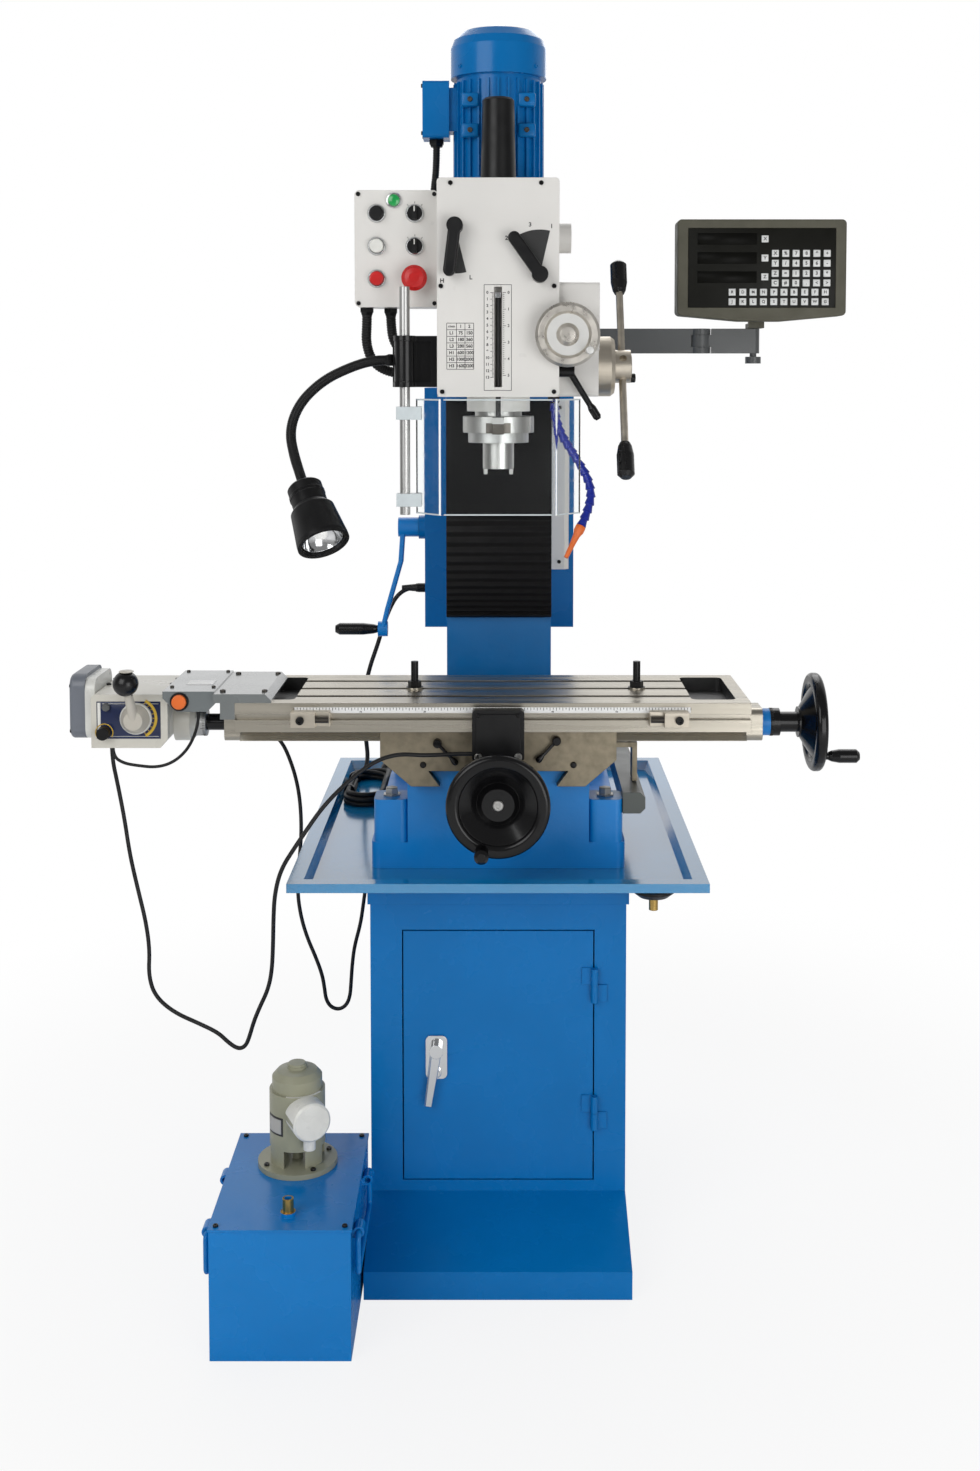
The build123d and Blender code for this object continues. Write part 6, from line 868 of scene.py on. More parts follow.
class MILL_OT_cords(bpy.types.Operator):
    """Runs the mains cable with its hank and plug, and the three cords of the power feed"""

    bl_idname = "mill.cords"
    bl_label = "Cords"

    def execute(self, context):
        self.mains()
        self.link()
        self.crossing("feed_lead", FEED_CORD_ROUTE, "feed_cord", ("table", "saddle"), (-626, 0, 0), (-45, 0, 0))
        self.crossing("feed_supply", SUPPLY_ROUTE, "feed_supply_cord", ("table", "saddle"), (0, 0, 860),
                      (0, 0, 660), 1)
        self.crossing("feed_supply_end", SUPPLY_ROUTE, "feed_supply_cord", ("saddle", "stand"), (-340, 0, 0),
                      (-285, 0, 0), -1)
        return {"FINISHED"}

    def crossing(self, name, route, node, bodies, start, end, side=0):
        """A hanging cord, or only its part above or below the cut."""
        pitch = 2.5
        ring = ring_along_x([(FEED_CORD_RADIUS, 0), (FEED_CORD_RADIUS, pitch)], 16)
        tube, spots = along(name, route, ring, pitch)
        if side:
            level = SUPPLY_CUT_Z * MM
            edit(tube)
            bpy.ops.mesh.bisect(plane_co=(0, 0, level), plane_no=(0, 0, 1), use_fill=True, clear_inner=side > 0,
                                clear_outer=side < 0)
            close()
            last = next(i for i, spot in enumerate(spots) if spot.z < level)
            above, below = spots[last - 1], spots[last]
            edge = above.lerp(below, (above.z - level) / (above.z - below.z))
            spots = [*spots[:last], edge] if side > 0 else [edge, *spots[last:]]
        coated(tube, "rubber", None, node)
        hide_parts(node)
        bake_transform(tube)

    def link(self):
        """The short cord between the feed's gearbox and its switch box."""
        line = nurbs("feed_link", FEED_LOOP_ROUTE, LINK_RADIUS)
        coated(line, "rubber", "table", "feed_loop")
        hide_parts("feed_loop")

    def mains(self):
        """The mains cable: down from its gland, round the turns of its hank on the tray, and out to its plug."""
        route = [*MAINS_ROUTE, *self.turns(), *PLUG_RUN]
        line = nurbs("mains_lead", route, MAINS_RADIUS)
        coated(line, "rubber", "stand", "mains_cable")
        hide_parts("mains_cable", "tray_coil")
        turned("gland_relief", [(8.5, 0), (8.5, 3), (7.4, 5), (6.4, 16), (5.0, 30), (4.6, 32)], 40, MAINS_ROUTE[0],
               "left", "rubber", "stand", "mains_cable")
        ties = []
        for reach in (-45, 52):
            tie = lathe("hank_tie", [(13.4, -4), (14.2, -3.2), (14.2, 3.2), (13.4, 4)], 32)
            settle(tie, Matrix.Diagonal((0.75, 0.92, 1, 1)))
            ties.append(place(tie, (HANK[0] - 32.3, HANK[1] + reach, 613.4), "front"))
        coated(joined("hank_ties", ties), "black", "stand", "tray_coil")
        self.plug()

    def turns(self):
        """Points of the hank's turns, each one moving to the next one's place over the hank's back end."""
        fold = math.tan(math.pi / 8)
        shape = ((-1, 1, -fold), (-1, 0, 0), (-1, -1, fold), (-1, -1, -fold), (-fold, -1, -1), (fold, -1, -1),
                 (1, -1, -fold), (1, -1, fold), (1, 0, 0), (1, 1, -fold), (1, 1, fold), (fold, 1, 1), (-fold, 1, 1),
                 (-1, 1, fold))
        back, last = 10, 9  # where the back end starts, and how many points the last turn has
        spots = []
        for index in range(len(shape) * (len(HANK_TURNS) - 1) + last):
            turn, step = divmod(index, len(shape))
            wide, high = HANK_TURNS[turn]
            if step >= back:
                share = HANK_SHIFTS[turn][step - back]
                wide += share * (HANK_TURNS[turn + 1][0] - wide)
                high += share * (HANK_TURNS[turn + 1][1] - high)
            side, end, reach = shape[step]
            spots.append((HANK[0] + side * wide, HANK[1] + end * HANK_LEG + reach * wide, high))
        return spots

    def plug(self):
        """A plain moulded three-pin plug at the cable's end, lying on the tray."""
        body = lathe("plug_body", [(7.5, -2), (11, 0), (16, 4), (18, 12), (18, 27), (17.2, 29.5), (16, 30)])
        settle(body, Matrix.Diagonal((1, 0.68, 1, 1)))
        boot = lathe("plug_boot", [(4.9, -26), (5.4, -20), (6.6, -8), (7.6, -2), (8.2, 4)])
        pins = [box("pin", (x - wide, y - deep, 29), (x + wide, y + deep, 45))
                for x, y, wide, deep in ((-8.5, 3, 3, 1.1), (8.5, 3, 3, 1.1), (0, -4, 1.1, 3))]
        made = []
        for piece, finish in ((joined("mains_plug", [body, boot]), "rubber"), (joined("plug_pins", pins), "brass")):
            place(piece, PLUG_RUN[-1], "back")
            made.append(coated(piece, finish, "stand", "mains_cable"))
        return made


class MILL_OT_hoses(bpy.types.Operator):
    """Makes the ribbed conduits, the coolant hose and its nozzle, the lamp's gooseneck and glass, and gland nuts"""

    bl_idname = "mill.hoses"
    bl_label = "Hoses and conduits"

    # Where each line meets the machine, the way its gland nut faces and the nut's radius.
    NUTS = (
        (CONDUIT_ROUTES[0][0], "down", 11.5), (CONDUIT_ROUTES[1][0], "down", 11.5),
        (CONDUIT_ROUTES[0][-1], "left", 11.5), (CONDUIT_ROUTES[1][-1], "left", 11.5),
        (MOTOR_CONDUIT_ROUTE[0], "down", 13.5), (MOTOR_CONDUIT_ROUTE[-1], "back", 9.5),
        (NECK_ROUTE[0], "left", 10.5), (HOSE_ROUTE[0], "down", 11.0),
    )

    def execute(self, context):
        pitch = context.scene.mill_sizes.rib / MM
        conduits = [(route, CONDUIT_RADIUS) for route in CONDUIT_ROUTES]
        conduits.append((MOTOR_CONDUIT_ROUTE, MOTOR_CONDUIT_RADIUS))
        for number, (route, radius) in enumerate(conduits, 1):
            low = radius - 0.9
            rib = ring_along_x([(low, 0), (radius, 0.25 * pitch), (radius, 0.65 * pitch), (low, 0.9 * pitch),
                                (low, pitch)])
            self.hose(f"conduit_{number}", route, rib, pitch, "rubber", "control_conduits", radius, "object")
        bead = ring_along_x([(5.8, 0), (8.0, 1.2), (9.6, 4.2), (9.6, 7.2), (8.0, 10.2), (5.8, 11.4), (5.8, 13.0)], 28)
        self.hose("coolant_line", HOSE_ROUTE, bead, 13.0, "hose", "coolant_hose", HOSE_RADIUS, "fitting",
                  [self.nozzle()])
        ring = ring_along_x([(7.3, 0), (7.9, 0.7), (7.9, 2.1), (7.3, 2.8)])
        neck, _ = along("lamp_gooseneck", NECK_ROUTE, ring, 2.8)
        coated(neck, "black", "head", "work_lamp")
        self.lamp_glass()
        nuts = []
        for spot, facing, radius in self.NUTS:
            nut = lathe("nut", [(radius * 0.94, 0), (radius, 0.8), (radius, 7), (radius * 0.9, 8),
                                (radius * 0.8, 12)], 6)
            nuts.append(place(nut, spot, facing))
        coated(joined("gland_nuts", nuts), "black", "head", "control_conduits")
        return {"FINISHED"}

    def hose(self, name, route, ring, pitch, finish, node, radius, far_end, with_pieces=()):
        """One hose of repeated rings along its route, in place of its solid."""
        piece, spots = along(name, route, ring, pitch)
        coated(piece, finish, "head", node)
        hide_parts(node)

    def nozzle(self):
        """The tapered nozzle, turned the way the hose's last run points."""
        piece = lathe("coolant_nozzle", [(7.9, -1), (8.3, 0), (8.3, 9), (7.2, 11), (5.6, 17), (4.6, 30), (3.5, 57),
                                         (2.2, 57), (2.2, 45)], 32)
        return coated(aim_along(piece, HOSE_ROUTE), "orange", "head", "coolant_hose")

    def lamp_glass(self):
        """The bright reflector and the bulb inside the lamp's shade, and the switch ring on its socket."""
        for name, profile, sides, finish in (
                ("lamp_reflector", [(10, 70.4), (27.2, 70.6), (32.0, 98.5), (32.2, 100), (31.0, 100), (29.5, 96),
                                    (25, 86), (14, 78), (3, 76)], 48, "chrome"),
                ("lamp_bulb", [(8, 74), (10.5, 80), (11.5, 87), (9.5, 93), (5.5, 96), (1.5, 97)], 36, "lens"),
                ("lamp_ring", [(26.6, 15), (27.9, 16), (27.9, 21), (26.6, 22)], 48, "black paint")):
            coated(aim_along(lathe(name, profile, sides), NECK_ROUTE), finish, "head", "work_lamp")


class MILL_OT_front_plate(bpy.types.Operator):
    """Dresses the head's front plate with its depth scale, speed table, lever fields and screws"""

    bl_idname = "mill.front_plate"
    bl_label = "Front plate"

    ON = ("head", "front_plate")
    SCREWS = ((-86, 1362), (86, 1362), (-88, 1524), (86, 1524), (-73, 1681), (66, 1681))
    SPEEDS = (("r/min", "1", "2"), ("L1", "75", "150"), ("L2", "180", "360"), ("L3", "280", "560"),
              ("H1", "600", "1200"), ("H2", "1000", "2000"), ("H3", "1600", "3200"))
    GEARS = (("H", -86, 1532), ("L", -42, 1537), ("2", 13, 1597), ("3", 49, 1617.5), ("1", 82, 1615))

    def execute(self, context):
        screws("plate_screws", (3.6,), [(x, PLATE_Y, z) for x, z in self.SCREWS], "front", "black paint", *self.ON)
        self.scale(context.scene.mill_sizes.tick / MM)
        self.speed_table()
        self.fields()
        return {"FINISHED"}

    def line(self, x0, z0, x1, z1, width=0.8):
        """A printed line across or up the plate."""
        wide, high = (0, width / 2) if z0 == z1 else (width / 2, 0)
        return box("line", (x0 - wide, PLATE_Y - 0.2, z0 - high), (x1 + wide, PLATE_Y + 0.1, z1 + high), 0.04, 1)

    def scale(self, tick):
        """The depth scale on both sides of the slot, in centimetres and inches, its zeros level with the pointer."""
        left, right, low, high = -21.5, 20.5, 1364, 1526
        lines = [self.line(left, z, right, z) for z in (low, high)]
        lines += [self.line(x, low, x, high) for x in (left, right)]
        for side, pitch, count, major in ((-1, 2, 66, 5), (1, INCH / 8, 41, 8)):
            for step in range(count):
                start, end = sorted((7 * side, side * (9.5 if step % major else 12)))
                z = DEPTH_ZERO - pitch * step
                lines.append(self.line(start, z, end, z, tick))
        for x, pitch, count in ((-16.5, 10, 14), (16.0, INCH, 6)):
            lines += [numeral(str(step), 6, (x, PLATE_Y, DEPTH_ZERO - pitch * step)) for step in range(count)]
        coated(joined("depth_scale", lines), "print", *self.ON)

    def speed_table(self):
        """A ruled table of spindle speeds by gear."""
        columns, low, rows, step = (-79, -64, -51, -37.6), 1396.5, len(self.SPEEDS), 10.1
        high = low + rows * step
        lines = [self.line(columns[0], low + step * row, columns[-1], low + step * row) for row in range(rows + 1)]
        lines += [self.line(x, low, x, high) for x in columns]
        for row, texts in enumerate(self.SPEEDS):
            for text, left, right in zip(texts, columns, columns[1:]):
                size = 5.0 if len(text) > 4 else 6.8
                lines.append(numeral(text, size, ((left + right) / 2, PLATE_Y, high - step * (row + 0.5))))
        coated(joined("speed_table", lines), "print", *self.ON)

    def fields(self):
        """The black fields that the two gear levers sweep, with their marks."""
        marks = []
        for name, outer, start, sweep, x, z in (("range_field", 72, 263, 21, -66, 1615),
                                                ("speed_field", 69, 77, 48.5, 64, 1541)):
            marks.append(place(arc_band(name, 8, outer, start, sweep, 0.4), (x, PLATE_Y, z), "front"))
        marks += [numeral(text, 9, (x, PLATE_Y, z)) for text, x, z in self.GEARS]
        coated(joined("lever_fields", marks), "print", *self.ON)


class MILL_OT_controls(bpy.types.Operator):
    """Dresses the control box with its lamp, rings, pointers and screws"""

    bl_idname = "mill.controls"
    bl_label = "Control box"

    ON = ("head", "control_box")
    SELECTORS = ("upper_selector", "lower_selector")

    def execute(self, context):
        screws("box_screws", (3.4,), grid((-219, -100), (BOX_Y,), (1500, 1670)), "front", "black", *self.ON)
        for name, profile, finish in (
                ("lamp_bezel", [(12.5, 0), (12.5, 3), (11.5, 4.4), (9.6, 4.6), (9.6, 3)], "chrome"),
                ("lamp_cap", [(9.4, 0), (9.4, 6), (8.4, 8), (5, 9.2), (1, 9.5)], "green")):
            turned(name, profile, 40, (-163, BOX_Y, 1660), "front", finish, *self.ON)
        for node in self.SELECTORS:
            low, high = corners(node)
            x, _, z = (low + high) / 2
            mark = box(node + "_mark", (x - 0.9, low.y - 0.25, z + 1.5), (x + 0.9, low.y + 0.4, z + 10), 0.15)
            coated(mark, "ivory", node, node)
            ticks = [place(box("tick", (-0.4, 15.5, 0), (0.4, 18.5, 0.25), 0.05, 1), (x, BOX_Y, z), "front", turn)
                     for turn in (-0.7, 0, 0.7)]
            coated(joined(node + "_ticks", ticks), "print", *self.ON)
        for node in ("black_button", "white_button", "stop_button", *self.SELECTORS):
            low, high = corners(node)
            x, _, z = (low + high) / 2
            turned(node + "_ring", [(14.6, 0), (14.6, 2.4), (13.6, 3.6), (11.9, 4.6), (11.9, 0.6)], 40,
                   (x, BOX_Y - 0.1, z), "front", "chrome", *self.ON)
        return {"FINISHED"}


class MILL_OT_readout(bpy.types.Operator):
    """Fits the digital readout's dark window, its displays and its keys"""

    bl_idname = "mill.readout"
    bl_label = "Digital readout"

    ON = ("readout_panel", "readout_panel")
    COLUMNS = (405.5, 424, 442, 460, 478, 495.6, 513, 531.6, 549.4, 567.4)
    GRID = (480, 498, 516, 534, 552, 570)
    # Each row of keys: its marks, their size and the keys' places.
    ROWS = (
        ("X%789+", 8, GRID, 1599), ("Y/456-", 8, GRID, 1582), ("Z=123*", 8, GRID, 1564.5), ("C#0.<>", 8, GRID, 1548),
        ("RDMNPABEFH", 7, COLUMNS, 1532), ("JKLQSTUVWG", 7, COLUMNS, 1515.5),
        ("X", 8, (462,), 1624), ("Y", 8, (462,), 1591), ("Z", 8, (462,), 1558.5),
    )

    def execute(self, context):
        window = box("readout_window", (329, READOUT_Y - 0.1, 1505.5), (585, READOUT_Y + 1, 1642.5), 0.3)
        coated(window, "window", *self.ON)
        shades = [box("display", (345, READOUT_Y - 0.4, z - 10), (448, READOUT_Y, z + 10), 0.15)
                  for z in (1624, 1591, 1558)]
        coated(joined("readout_displays", shades), "glass black", *self.ON)
        self.keys(context.scene.mill_sizes.key / MM)
        screws("readout_screws", (3.2,), grid((326, 588), (175,), (1504, 1642)), "back", "black", *self.ON)
        # Painted shade: dark strips stand for the readout's vent slots.
        slots = [box("vent", (x, 174.6, 1590), (x + 3, 175.4, 1630), 0.3, 1) for x in range(380, 536, 9)]
        coated(joined("readout_vents", slots), "dark", *self.ON)
        return {"FINISHED"}

    def keys(self, size):
        """Rows of small white keys with dark marks."""
        half = size / 2 + 0.8
        key = box("key", (-half, -half, 0), (half, half, 2.2), 0.9, 3)
        places = [(x, READOUT_Y, z) for _, _, xs, z in self.ROWS for x in xs]
        coated(copies(key, "readout_keys", places, "front"), "key white", *self.ON)
        marks = [numeral(text, high, (x, KEY_TOP_Y, z)) for texts, high, xs, z in self.ROWS
                 for text, x in zip(texts, xs)]
        coated(joined("readout_marks", marks), "print", *self.ON)


class MILL_OT_power_feed(bpy.types.Operator):
    """Dresses the power feed with its panel, speed arc, screws, lever knob and switch plate"""

    bl_idname = "mill.power_feed"
    bl_label = "Power feed"

    ON = ("table", "feed_housing")
    ON_SWITCH = ("table", "switch_box")

    def execute(self, context):
        panel = box("feed_panel", (-640, FEED_Y - 0.6, 809), (-538, FEED_Y + 0.2, 869), 0.3)
        coated(panel, "navy", *self.ON)
        strips = [box("strip", (-638.5, FEED_Y - 0.8, 811), (-633.5, FEED_Y + 0.1, 867), 0.15)]
        strips += [box("line", (-631, FEED_Y - 0.8, z), (-541, FEED_Y + 0.1, z + 0.7), 0.05, 1) for z in (812.5, 865)]
        coated(joined("feed_strips", strips), "ivory", *self.ON)
        marks = [place(arc_band("arc", inner, outer, start, sweep, 0.9, steps), spot, "front")
                 for inner, outer, start, sweep, steps, spot in ((29.5, 34, -62, 124, 40, FEED_DIAL),
                                                                 (13, 14.6, -30, 240, 32, (-628, FEED_Y, 819)))]
        marks += [place(box("tick", (26, -0.5, 0), (29, 0.5, 0.9), 0.05, 1), FEED_DIAL, "front", math.radians(turn))
                  for turn in range(-60, 61, 15)]
        coated(joined("feed_scale", marks), "gold", *self.ON)
        for name, profile, sides, spot, finish in (
                ("feed_disc", [(25.5, 0), (25.5, 4), (24, 6), (21.5, 6), (21, 5)], 48, FEED_DIAL, "ivory"),
                ("feed_plate", [(20.8, 0), (20.8, 5.4), (19.6, 6.2), (13, 6.6)], 48, FEED_DIAL, "oxide"),
                ("feed_cap", [(6.2, 0), (6.2, 5), (5.4, 6.5), (2, 7)], 28, (-624, FEED_Y - 0.5, 860), "grey")):
            turned(name, profile, sides, spot, "front", finish, *self.ON)
        self.cover()
        self.switch()
        return {"FINISHED"}

    def cover(self):
        """Screws of the motor cover and the gearbox, and the pale cap on the lever's knob."""
        screws("cover_screws", (3.4,), grid((-688.5,), (-118, -32), (815, 888)), "left", "black", *self.ON)
        screws("feed_bolts", (4.0, 3), grid((-640, -536), (-66, -20), (880,)), "up", "black paint", *self.ON)
        low, high = corners("feed_lever")
        turned("lever_knob_cap", [(11.5, -0.8), (11.5, 0.4), (10, 1.4), (3, 2.0)], 36,
               ((low.x + high.x) / 2 - 3, -194, high.z - 0.6), "up", "beige", "feed_lever", "feed_lever")

    def switch(self):
        """The bare plate on the switch box, its screws, the clamp plate's screws and the button's collar."""
        coated(box("switch_plate", (-500, -130, 891.9), (-458, -92, 892.6), 0.3), "scale white", *self.ON_SWITCH)
        for name, size, xs, ys, z in (("switch_screws", (3.2,), (-519, -453), (-150, -12), 892),
                                      ("clamp_screws", (4.5, 3), (-434, -368), (-176, -22), 890)):
            screws(name, size, grid(xs, ys, (z,)), "up", "oxide", *self.ON_SWITCH)
        turned("button_collar", [(14.8, 0), (14.8, 2), (13.6, 3.4), (12.2, 3.6), (12.2, 0.5)], 36,
               (-500.5, -187, 876), "front", "black", *self.ON_SWITCH)


class MILL_OT_table(bpy.types.Operator):
    """Dresses the table, its dials and the saddle with rulers, ticks, screws and lock levers"""

    bl_idname = "mill.table"
    bl_label = "Table and saddle"

    ON = ("table", "table")
    ON_SADDLE = ("saddle", "saddle")
    ON_SWITCH = ("saddle", "limit_switch")
    # Each dial's place, the way it faces and the handwheel it turns with.
    DIALS = (
        ("cross_dial_ticks", (0, -204.4, CROSS_SCREW_Z), "front", "cross_handwheel"),
        ("table_dial_ticks", (443.1, *TABLE_SCREW_YZ), "right", "table_handwheel"),
        ("far_dial_ticks", (-476.7, *TABLE_SCREW_YZ), "left", "table_handwheel"),
    )
    # The bolt at the end of each handwheel's screw: its name, place, facing and handwheel.
    WHEEL_BOLTS = (
        ("cross_wheel_bolt", (0, -272.3, CROSS_SCREW_Z), "front", "cross_handwheel"),
        ("table_wheel_bolt", (511.3, *TABLE_SCREW_YZ), "right", "table_handwheel"),
    )

    def execute(self, context):
        tick = context.scene.mill_sizes.tick / MM
        self.ruler(tick)
        self.dials(tick)
        self.stops()
        self.saddle_fittings()
        return {"FINISHED"}

    def ruler(self, tick):
        """The white ruler along the table's front edge."""
        face, left, count = -198.5, -319, 62
        strip = box("ruler", (left, face - 0.7, 860.5), (left + 10 * count, face + 0.2, 869.5), 0.2)
        coated(strip, "scale white", *self.ON)
        marks = []
        for step in range(count * 2 + 1):
            x = left + 5 * step
            marks.append(box("tick", (x - tick / 2, face - 0.9, 866 if step % 2 else 864.5),
                             (x + tick / 2, face - 0.5, 869), 0.05, 1))
        marks += [numeral(str(10 * step), 3.8, (left + 100 * step + 4, face - 0.72, 862.6)) for step in range(1, 7)]
        coated(joined("ruler_marks", marks), "print", *self.ON)

    def dials(self, tick):
        """Fine ticks round the three bright dials, every fifth one longer."""
        for name, spot, facing, body in self.DIALS:
            rings = []
            for reach, count in ((5, 50), (8, 10)):
                mark = box("tick", (22.2, -tick / 2, 0.4), (22.75, tick / 2, reach), 0.05, 1)
                turns = [(*spot, 2 * math.pi * step / count) for step in range(count)]
                rings.append(copies(mark, name, turns, facing))
            coated(joined(name, rings), "print", body, body)

    def stops(self):
        """The clamping bolt and the threaded adjusting stud of each table stop."""
        thread = [(wide, high + 1.8 * turn) for turn in range(12) for wide, high in ((4.4, 0), (5.2, 0.7), (5.2, 1.1))]
        for node, side, facing in (("left_stop", 1, "right"), ("right_stop", -1, "left")):
            low, high = corners(node)
            x, _, z = (low + high) / 2
            screws(node + "_bolt", (6.5, 6), [(x - 15 * side, low.y, z)], "front", "black paint", node, node)
            turned(node + "_stud", thread, 24, (x + 8 * side, low.y + 5, z), facing, "oxide", node, node)

    def saddle_fittings(self):
        """Lock levers, oil caps and screws of the saddle and the limit switch, and the handwheels' end bolts."""
        levers = []
        for x, z, turn in ((-96, 808, 0.75), (92, 812, -0.75)):
            hub = lathe("hub", [(6, 0), (7, 1), (7, 12), (6, 14)], 28)
            bar = lathe("bar", [(2.4, -4), (2.6, 0), (2.6, 31), (4.2, 35), (5.2, 40), (4.4, 44), (1.5, 46)], 24)
            place(bar, (0, 0, 8), "front")
            levers.append(place(joined("lock", [hub, bar]), (x, SADDLE_Y, z), "front", turn))
        coated(joined("saddle_locks", levers), "black paint", *self.ON_SADDLE)
        cap = lathe("oil_cap", [(5, 0), (5, 2), (4, 3.5), (1, 3.8)], 24)
        coated(copies(cap, "oil_caps", grid((-119, 119), (SADDLE_Y,), (772,)), "front"), "black", *self.ON_SADDLE)
        for name, size, z, finish in (("switch_lid_screws", (3.0,), 862, "black paint"),
                                      ("switch_bolts", (6.0, 5), 798, "steel")):
            screws(name, size, grid((-31, 31), (SWITCH_Y,), (z,)), "front", finish, *self.ON_SWITCH)
        for name, spot, facing, body in self.WHEEL_BOLTS:
            turned(name, [(8.5, 0), (8.5, 2.5), (7, 4), (3.4, 4), (3.2, 2.5)], 32, spot, facing, "steel", body, body)
        screws("bracket_bolts", (5, 5), grid((-29, 29), (-192,), (718, 748)), "front", "black paint", *self.ON_SADDLE)


class MILL_OT_column(bpy.types.Operator):
    """Adds the bolts of the bed, the screws of the column's covers, and the apron and bellows over its ways"""

    bl_idname = "mill.column"
    bl_label = "Column and bed"

    SCREWS = (
        ("scale_screws", (3.4,), grid((109,), (230,), (1050, 1330)), "front", "black", "stand", "readout_bracket"),
        ("housing_screws", (5, 3), grid((-112, 112), (514,), (946, 1338)), "back", "black", "stand", "electrical_box"),
        ("apron_screws", (3.6,), grid((-82, 82), (150,), (1158, 1326)), "front", "black paint", "carriage",
         "column_bellows"),
    )
    FOLD_HEIGHTS = range(8, 21)
    FOLD_DEPTHS = (12, 18)

    def execute(self, context):
        washer = lathe("bolt", [(15, 0), (15, 2.6), (10.6, 2.6), (10.6, 11.5), (9.2, 13)], 6)
        coated(copies(washer, "bed_bolts", grid((-172, 172), (-122, 364), (711,))), "steel", "stand", "base_casting")
        for row in self.SCREWS:
            screws(*row)
        self.bellows()
        return {"FINISHED"}

    def bellows(self):
        """The apron sheet and the folded cloth under it, its folds wider towards the top."""
        (x0, y0, low), (x1, y1, high) = corners("column_bellows")
        top, (shallow, deep) = low + sum(self.FOLD_HEIGHTS), self.FOLD_DEPTHS
        apron = coated(box("apron_sheet", (x0, y0, top), (x1, y0 + 3, high), 0.6), "apron", "carriage",
                       "column_bellows")
        deselect()
        bpy.ops.mesh.primitive_plane_add(size=1, location=Vector(((x0 + x1) / 2, y1 - shallow / 2, low)) * MM)
        cloth = added("bellows_cloth", ((x1 - x0) * MM, shallow * MM, 1))
        edit(cloth)
        z = low
        for height in self.FOLD_HEIGHTS:
            for size in (deep / shallow, shallow / deep):
                z += height / 2
                grow(height / 2, (1, size, 1), (0, y1, z))
        close(True)
        soften = cloth.modifiers.new("soften", "BEVEL")
        soften.width = 0.7 * MM
        soften.segments = 2
        bpy.ops.object.modifier_apply(modifier=soften.name)
        coated(cloth, "fabric", None, "column_bellows")
        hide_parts("column_bellows")
        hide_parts("column_bellows")
        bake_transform(cloth)


class MILL_OT_motor(bpy.types.Operator):
    """Adds the motor's fan grille, whose slots are dark strips of painted shade, and its bolts, pads and screws"""

    bl_idname = "mill.motor"
    bl_label = "Motor"

    ON = ("head", "motor")
    PADS = ((-46, 1784), (-46, 1833), (46, 1784), (46, 1833))
    PAD_Y = -52

    def execute(self, context):
        # Painted shade: dark strips on the cowl's flat stand for the fan grille's slots.
        slot = box("slot", (11, -1.1, -0.3), (31, 1.1, 0.02), 0.01, 1)
        turns = [(*MOTOR_XY, COWL_FLAT_Z, math.pi * step / 8) for step in range(16)]
        coated(copies(slot, "fan_grille", turns), "dark", *self.ON)
        heads = []
        for turn in (0.6, 2.5, 3.8, 5.6):
            spot, = circle(MOTOR_XY, 79, 1890, (turn,))
            aim = Matrix.Translation(Vector(spot) * MM) @ Matrix.Rotation(turn, 4, "Z") @ FACING["right"]
            heads.append(settle(screw_head(3.4, 2.4), aim))
        coated(joined("cowl_screws", heads), "blue", *self.ON)
        bolt = lathe("bolt", [(7.5, 0), (7.5, 5.4), (6.6, 6.4)], 6)
        places = circle(MOTOR_XY, 68, 1699, (0.785, 2.356, 3.927, 5.498))
        coated(copies(bolt, "flange_bolts", places), "black paint", *self.ON)
        side = corners("motor")[0].x
        screws("terminal_screws", (3.4,), grid((side,), (-2, 42), (1786, 1863)), "left", "black paint", *self.ON)
        blocks = [box("pad", (x - 14, self.PAD_Y, z - 11), (x + 14, self.PAD_Y + 22, z + 11), 3, 3)
                  for x, z in self.PADS]
        coated(joined("motor_pads", blocks), "blue", *self.ON)
        screws("pad_screws", (4.2, 2.6), [(x, self.PAD_Y, z) for x, z in self.PADS], "front", "oxide", *self.ON)
        return {"FINISHED"}


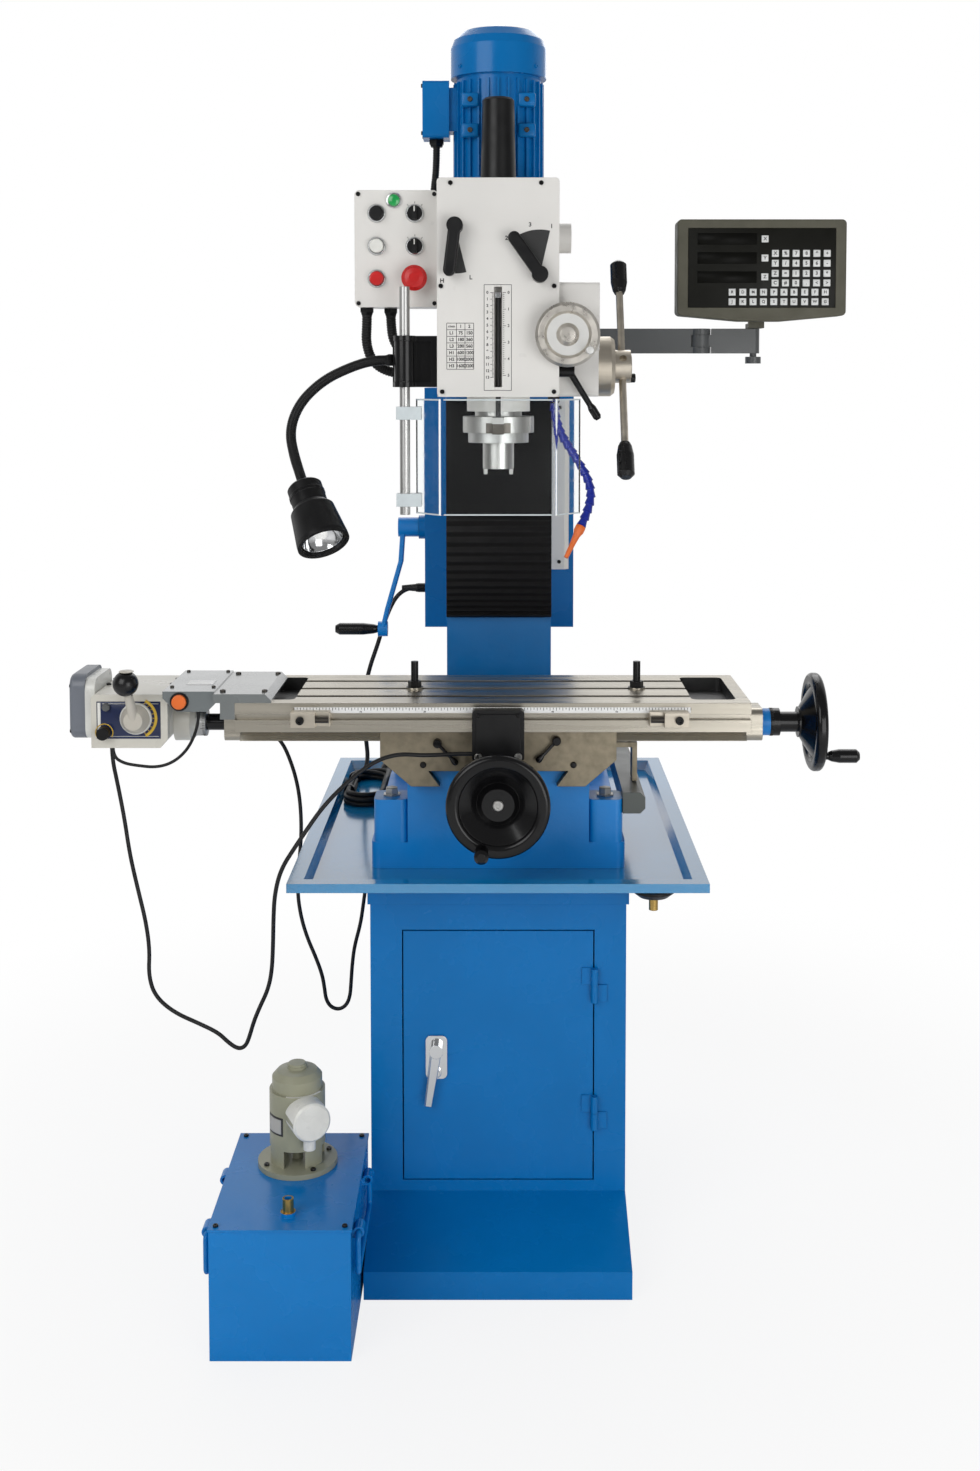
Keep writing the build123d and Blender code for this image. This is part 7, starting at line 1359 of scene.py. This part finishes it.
class MILL_OT_hub(bpy.types.Operator):
    """Adds painted highlight along the guard screen's edges, painted shade in the recess of the quill's clamp, and the
    knobs of the feed hub and wheel
    """

    bl_idname = "mill.hub"
    bl_label = "Guard, quill and feed hub"

    # The turned pieces: profile, sides, place, facing, finish and the node they ride.
    TURNED = (
        ("clutch_knob", [(6, 0), (7.5, 0.8), (7.5, 7), (6.4, 8.4), (2, 9)], 28, (HUB_FACE_X, HUB_YZ[0], 1383),
         "right", "grip", "downfeed_hub"),
        ("hub_ring", [(20, 0), (20, 1), (19, 1.6), (17, 1.6), (16.4, 0.6)], 48, (HUB_FACE_X, *HUB_YZ), "right",
         "satin", "downfeed_hub"),
        ("wheel_cap", [(13, 0), (13, 1.6), (11.5, 3), (3, 3.6)], 40, (WHEEL_XZ[0], -239.9, WHEEL_XZ[1]), "front",
         "wheel", "fine_feed_wheel"),
        ("wheel_knob", [(4, 0), (4, 5), (6.2, 7), (6.6, 14), (5.4, 18), (1.6, 19)], 28, (139, -239.5, 1425), "front",
         "frost", "fine_feed_wheel"),
    )
    EDGE_HEIGHT = 2.2

    def execute(self, context):
        self.screen_edges()
        # Painted shade: a dark arch band on the clamp ring's lower front and a dark block before it stand for the
        # shaded recess.
        clamp = corners("quill")[0].z + 16
        arch = place(arc_band("arch", 56.6, 57.3, 250, 40, 16), (*QUILL_XY, clamp))
        sleeve = box("sleeve", (-9.2, -199.2, clamp - 0.2), (9.2, -150, clamp + 16), 0.4, 1)
        coated(joined("clamp_recess_shade", [arch, sleeve]), "oxide", "quill", "quill")
        for *row, node in self.TURNED:
            turned(*row, node, node)
        return {"FINISHED"}

    def screen_edges(self):
        """Strips of painted highlight along the top and the bottom edges of the bent guard screen."""
        (_, y, low), (_, _, high) = corners("guard_screen")
        strips = []
        for z in (low + 0.1, high - self.EDGE_HEIGHT - 0.1):
            top = z + self.EDGE_HEIGHT
            strips.append(box("strip", (-83, y - 0.3, z), (83, y + 0.6, top), 0.1, 1))
            for side in (-1, 1):
                wing = box("strip", (-27, -0.5, z), (27, 0.5, top), 0.1, 1)
                strips.append(place(wing, (side * 108.4, y + 22.4, 0), "up", side * math.atan2(45, 39)))
        coated(joined("screen_edges", strips), "edge highlight", "guard", "guard_screen")


class MILL_OT_stand(bpy.types.Operator):
    """Adds the key barrel of the door, and the screws, bare plate and cap of the coolant set"""

    bl_idname = "mill.stand"
    bl_label = "Stand and coolant set"

    ON = ("stand", "coolant_pump")

    def execute(self, context):
        turned("key_barrel", [(8, 0), (8, 3.4), (7, 4.6), (5.4, 4.6), (5.4, 4.0)], 32, (-98, -198, 285), "front",
               "chrome", "door", "cabinet_door")
        screws("lid_screws", (4, 3), grid((-397, -215), (-495, -219), (191,)), "up", "black paint", "stand",
               "coolant_tank")
        places = circle(PUMP_XY, 51, 199, (0.5, 2.1, 3.7, 5.3))
        screws("pump_bolts", (4, 3.4), places, "up", "black paint", *self.ON)
        for name, outer, start, sweep, low, high, finish in (("pump_frame", 42.4, 200, 46, 248, 276, "print"),
                                                             ("pump_plate", 42.8, 204, 38, 251, 273, "aluminium")):
            plate = arc_band(name, 41.7, outer, start, sweep, high - low, 12)
            coated(place(plate, (*PUMP_XY, low)), finish, *self.ON)
        top = corners("coolant_pump")[1].z
        turned("pump_cap", [(14, -2), (14, 2.4), (12.8, 3.6), (2, 4)], 36, (*PUMP_XY, top), "up", "pump", *self.ON)
        return {"FINISHED"}


class MILL_PT_panel(bpy.types.Panel):
    """Lists the steps that dress the machine"""

    bl_label = "Mill Drill"
    bl_idname = "MILL_PT_panel"
    bl_space_type = "VIEW_3D"
    bl_region_type = "UI"
    bl_category = "Mill Drill"

    def draw(self, context):
        for step in OPERATORS:
            self.layout.operator(step.bl_idname)
        for group in (context.scene.mill_colours, context.scene.mill_sizes, context.scene.mill_studio):
            for name in group.__annotations__:
                self.layout.prop(group, name)


GROUPS = (("mill_colours", MillColours), ("mill_sizes", MillSizes), ("mill_studio", StudioSettings))
OPERATORS = (MILL_OT_stage, MILL_OT_finishes, MILL_OT_cords, MILL_OT_hoses, MILL_OT_front_plate, MILL_OT_controls,
             MILL_OT_readout, MILL_OT_power_feed, MILL_OT_table, MILL_OT_column, MILL_OT_motor, MILL_OT_hub,
             MILL_OT_stand)


def register():
    """Registers the settings, the steps and the panel."""
    for name, group in GROUPS:
        bpy.utils.register_class(group)
        setattr(bpy.types.Scene, name, PointerProperty(type=group))
    for step in (*OPERATORS, MILL_PT_panel):
        bpy.utils.register_class(step)


def unregister():
    """Takes them out again."""
    for step in reversed((*OPERATORS, MILL_PT_panel)):
        bpy.utils.unregister_class(step)
    for name, group in reversed(GROUPS):
        delattr(bpy.types.Scene, name)
        bpy.utils.unregister_class(group)


def main():
    """Dresses the machine step by step."""
    register()
    for step in OPERATORS:
        family, name = step.bl_idname.split(".")
        getattr(getattr(bpy.ops, family), name)()


if __name__ == "__main__":
    main()
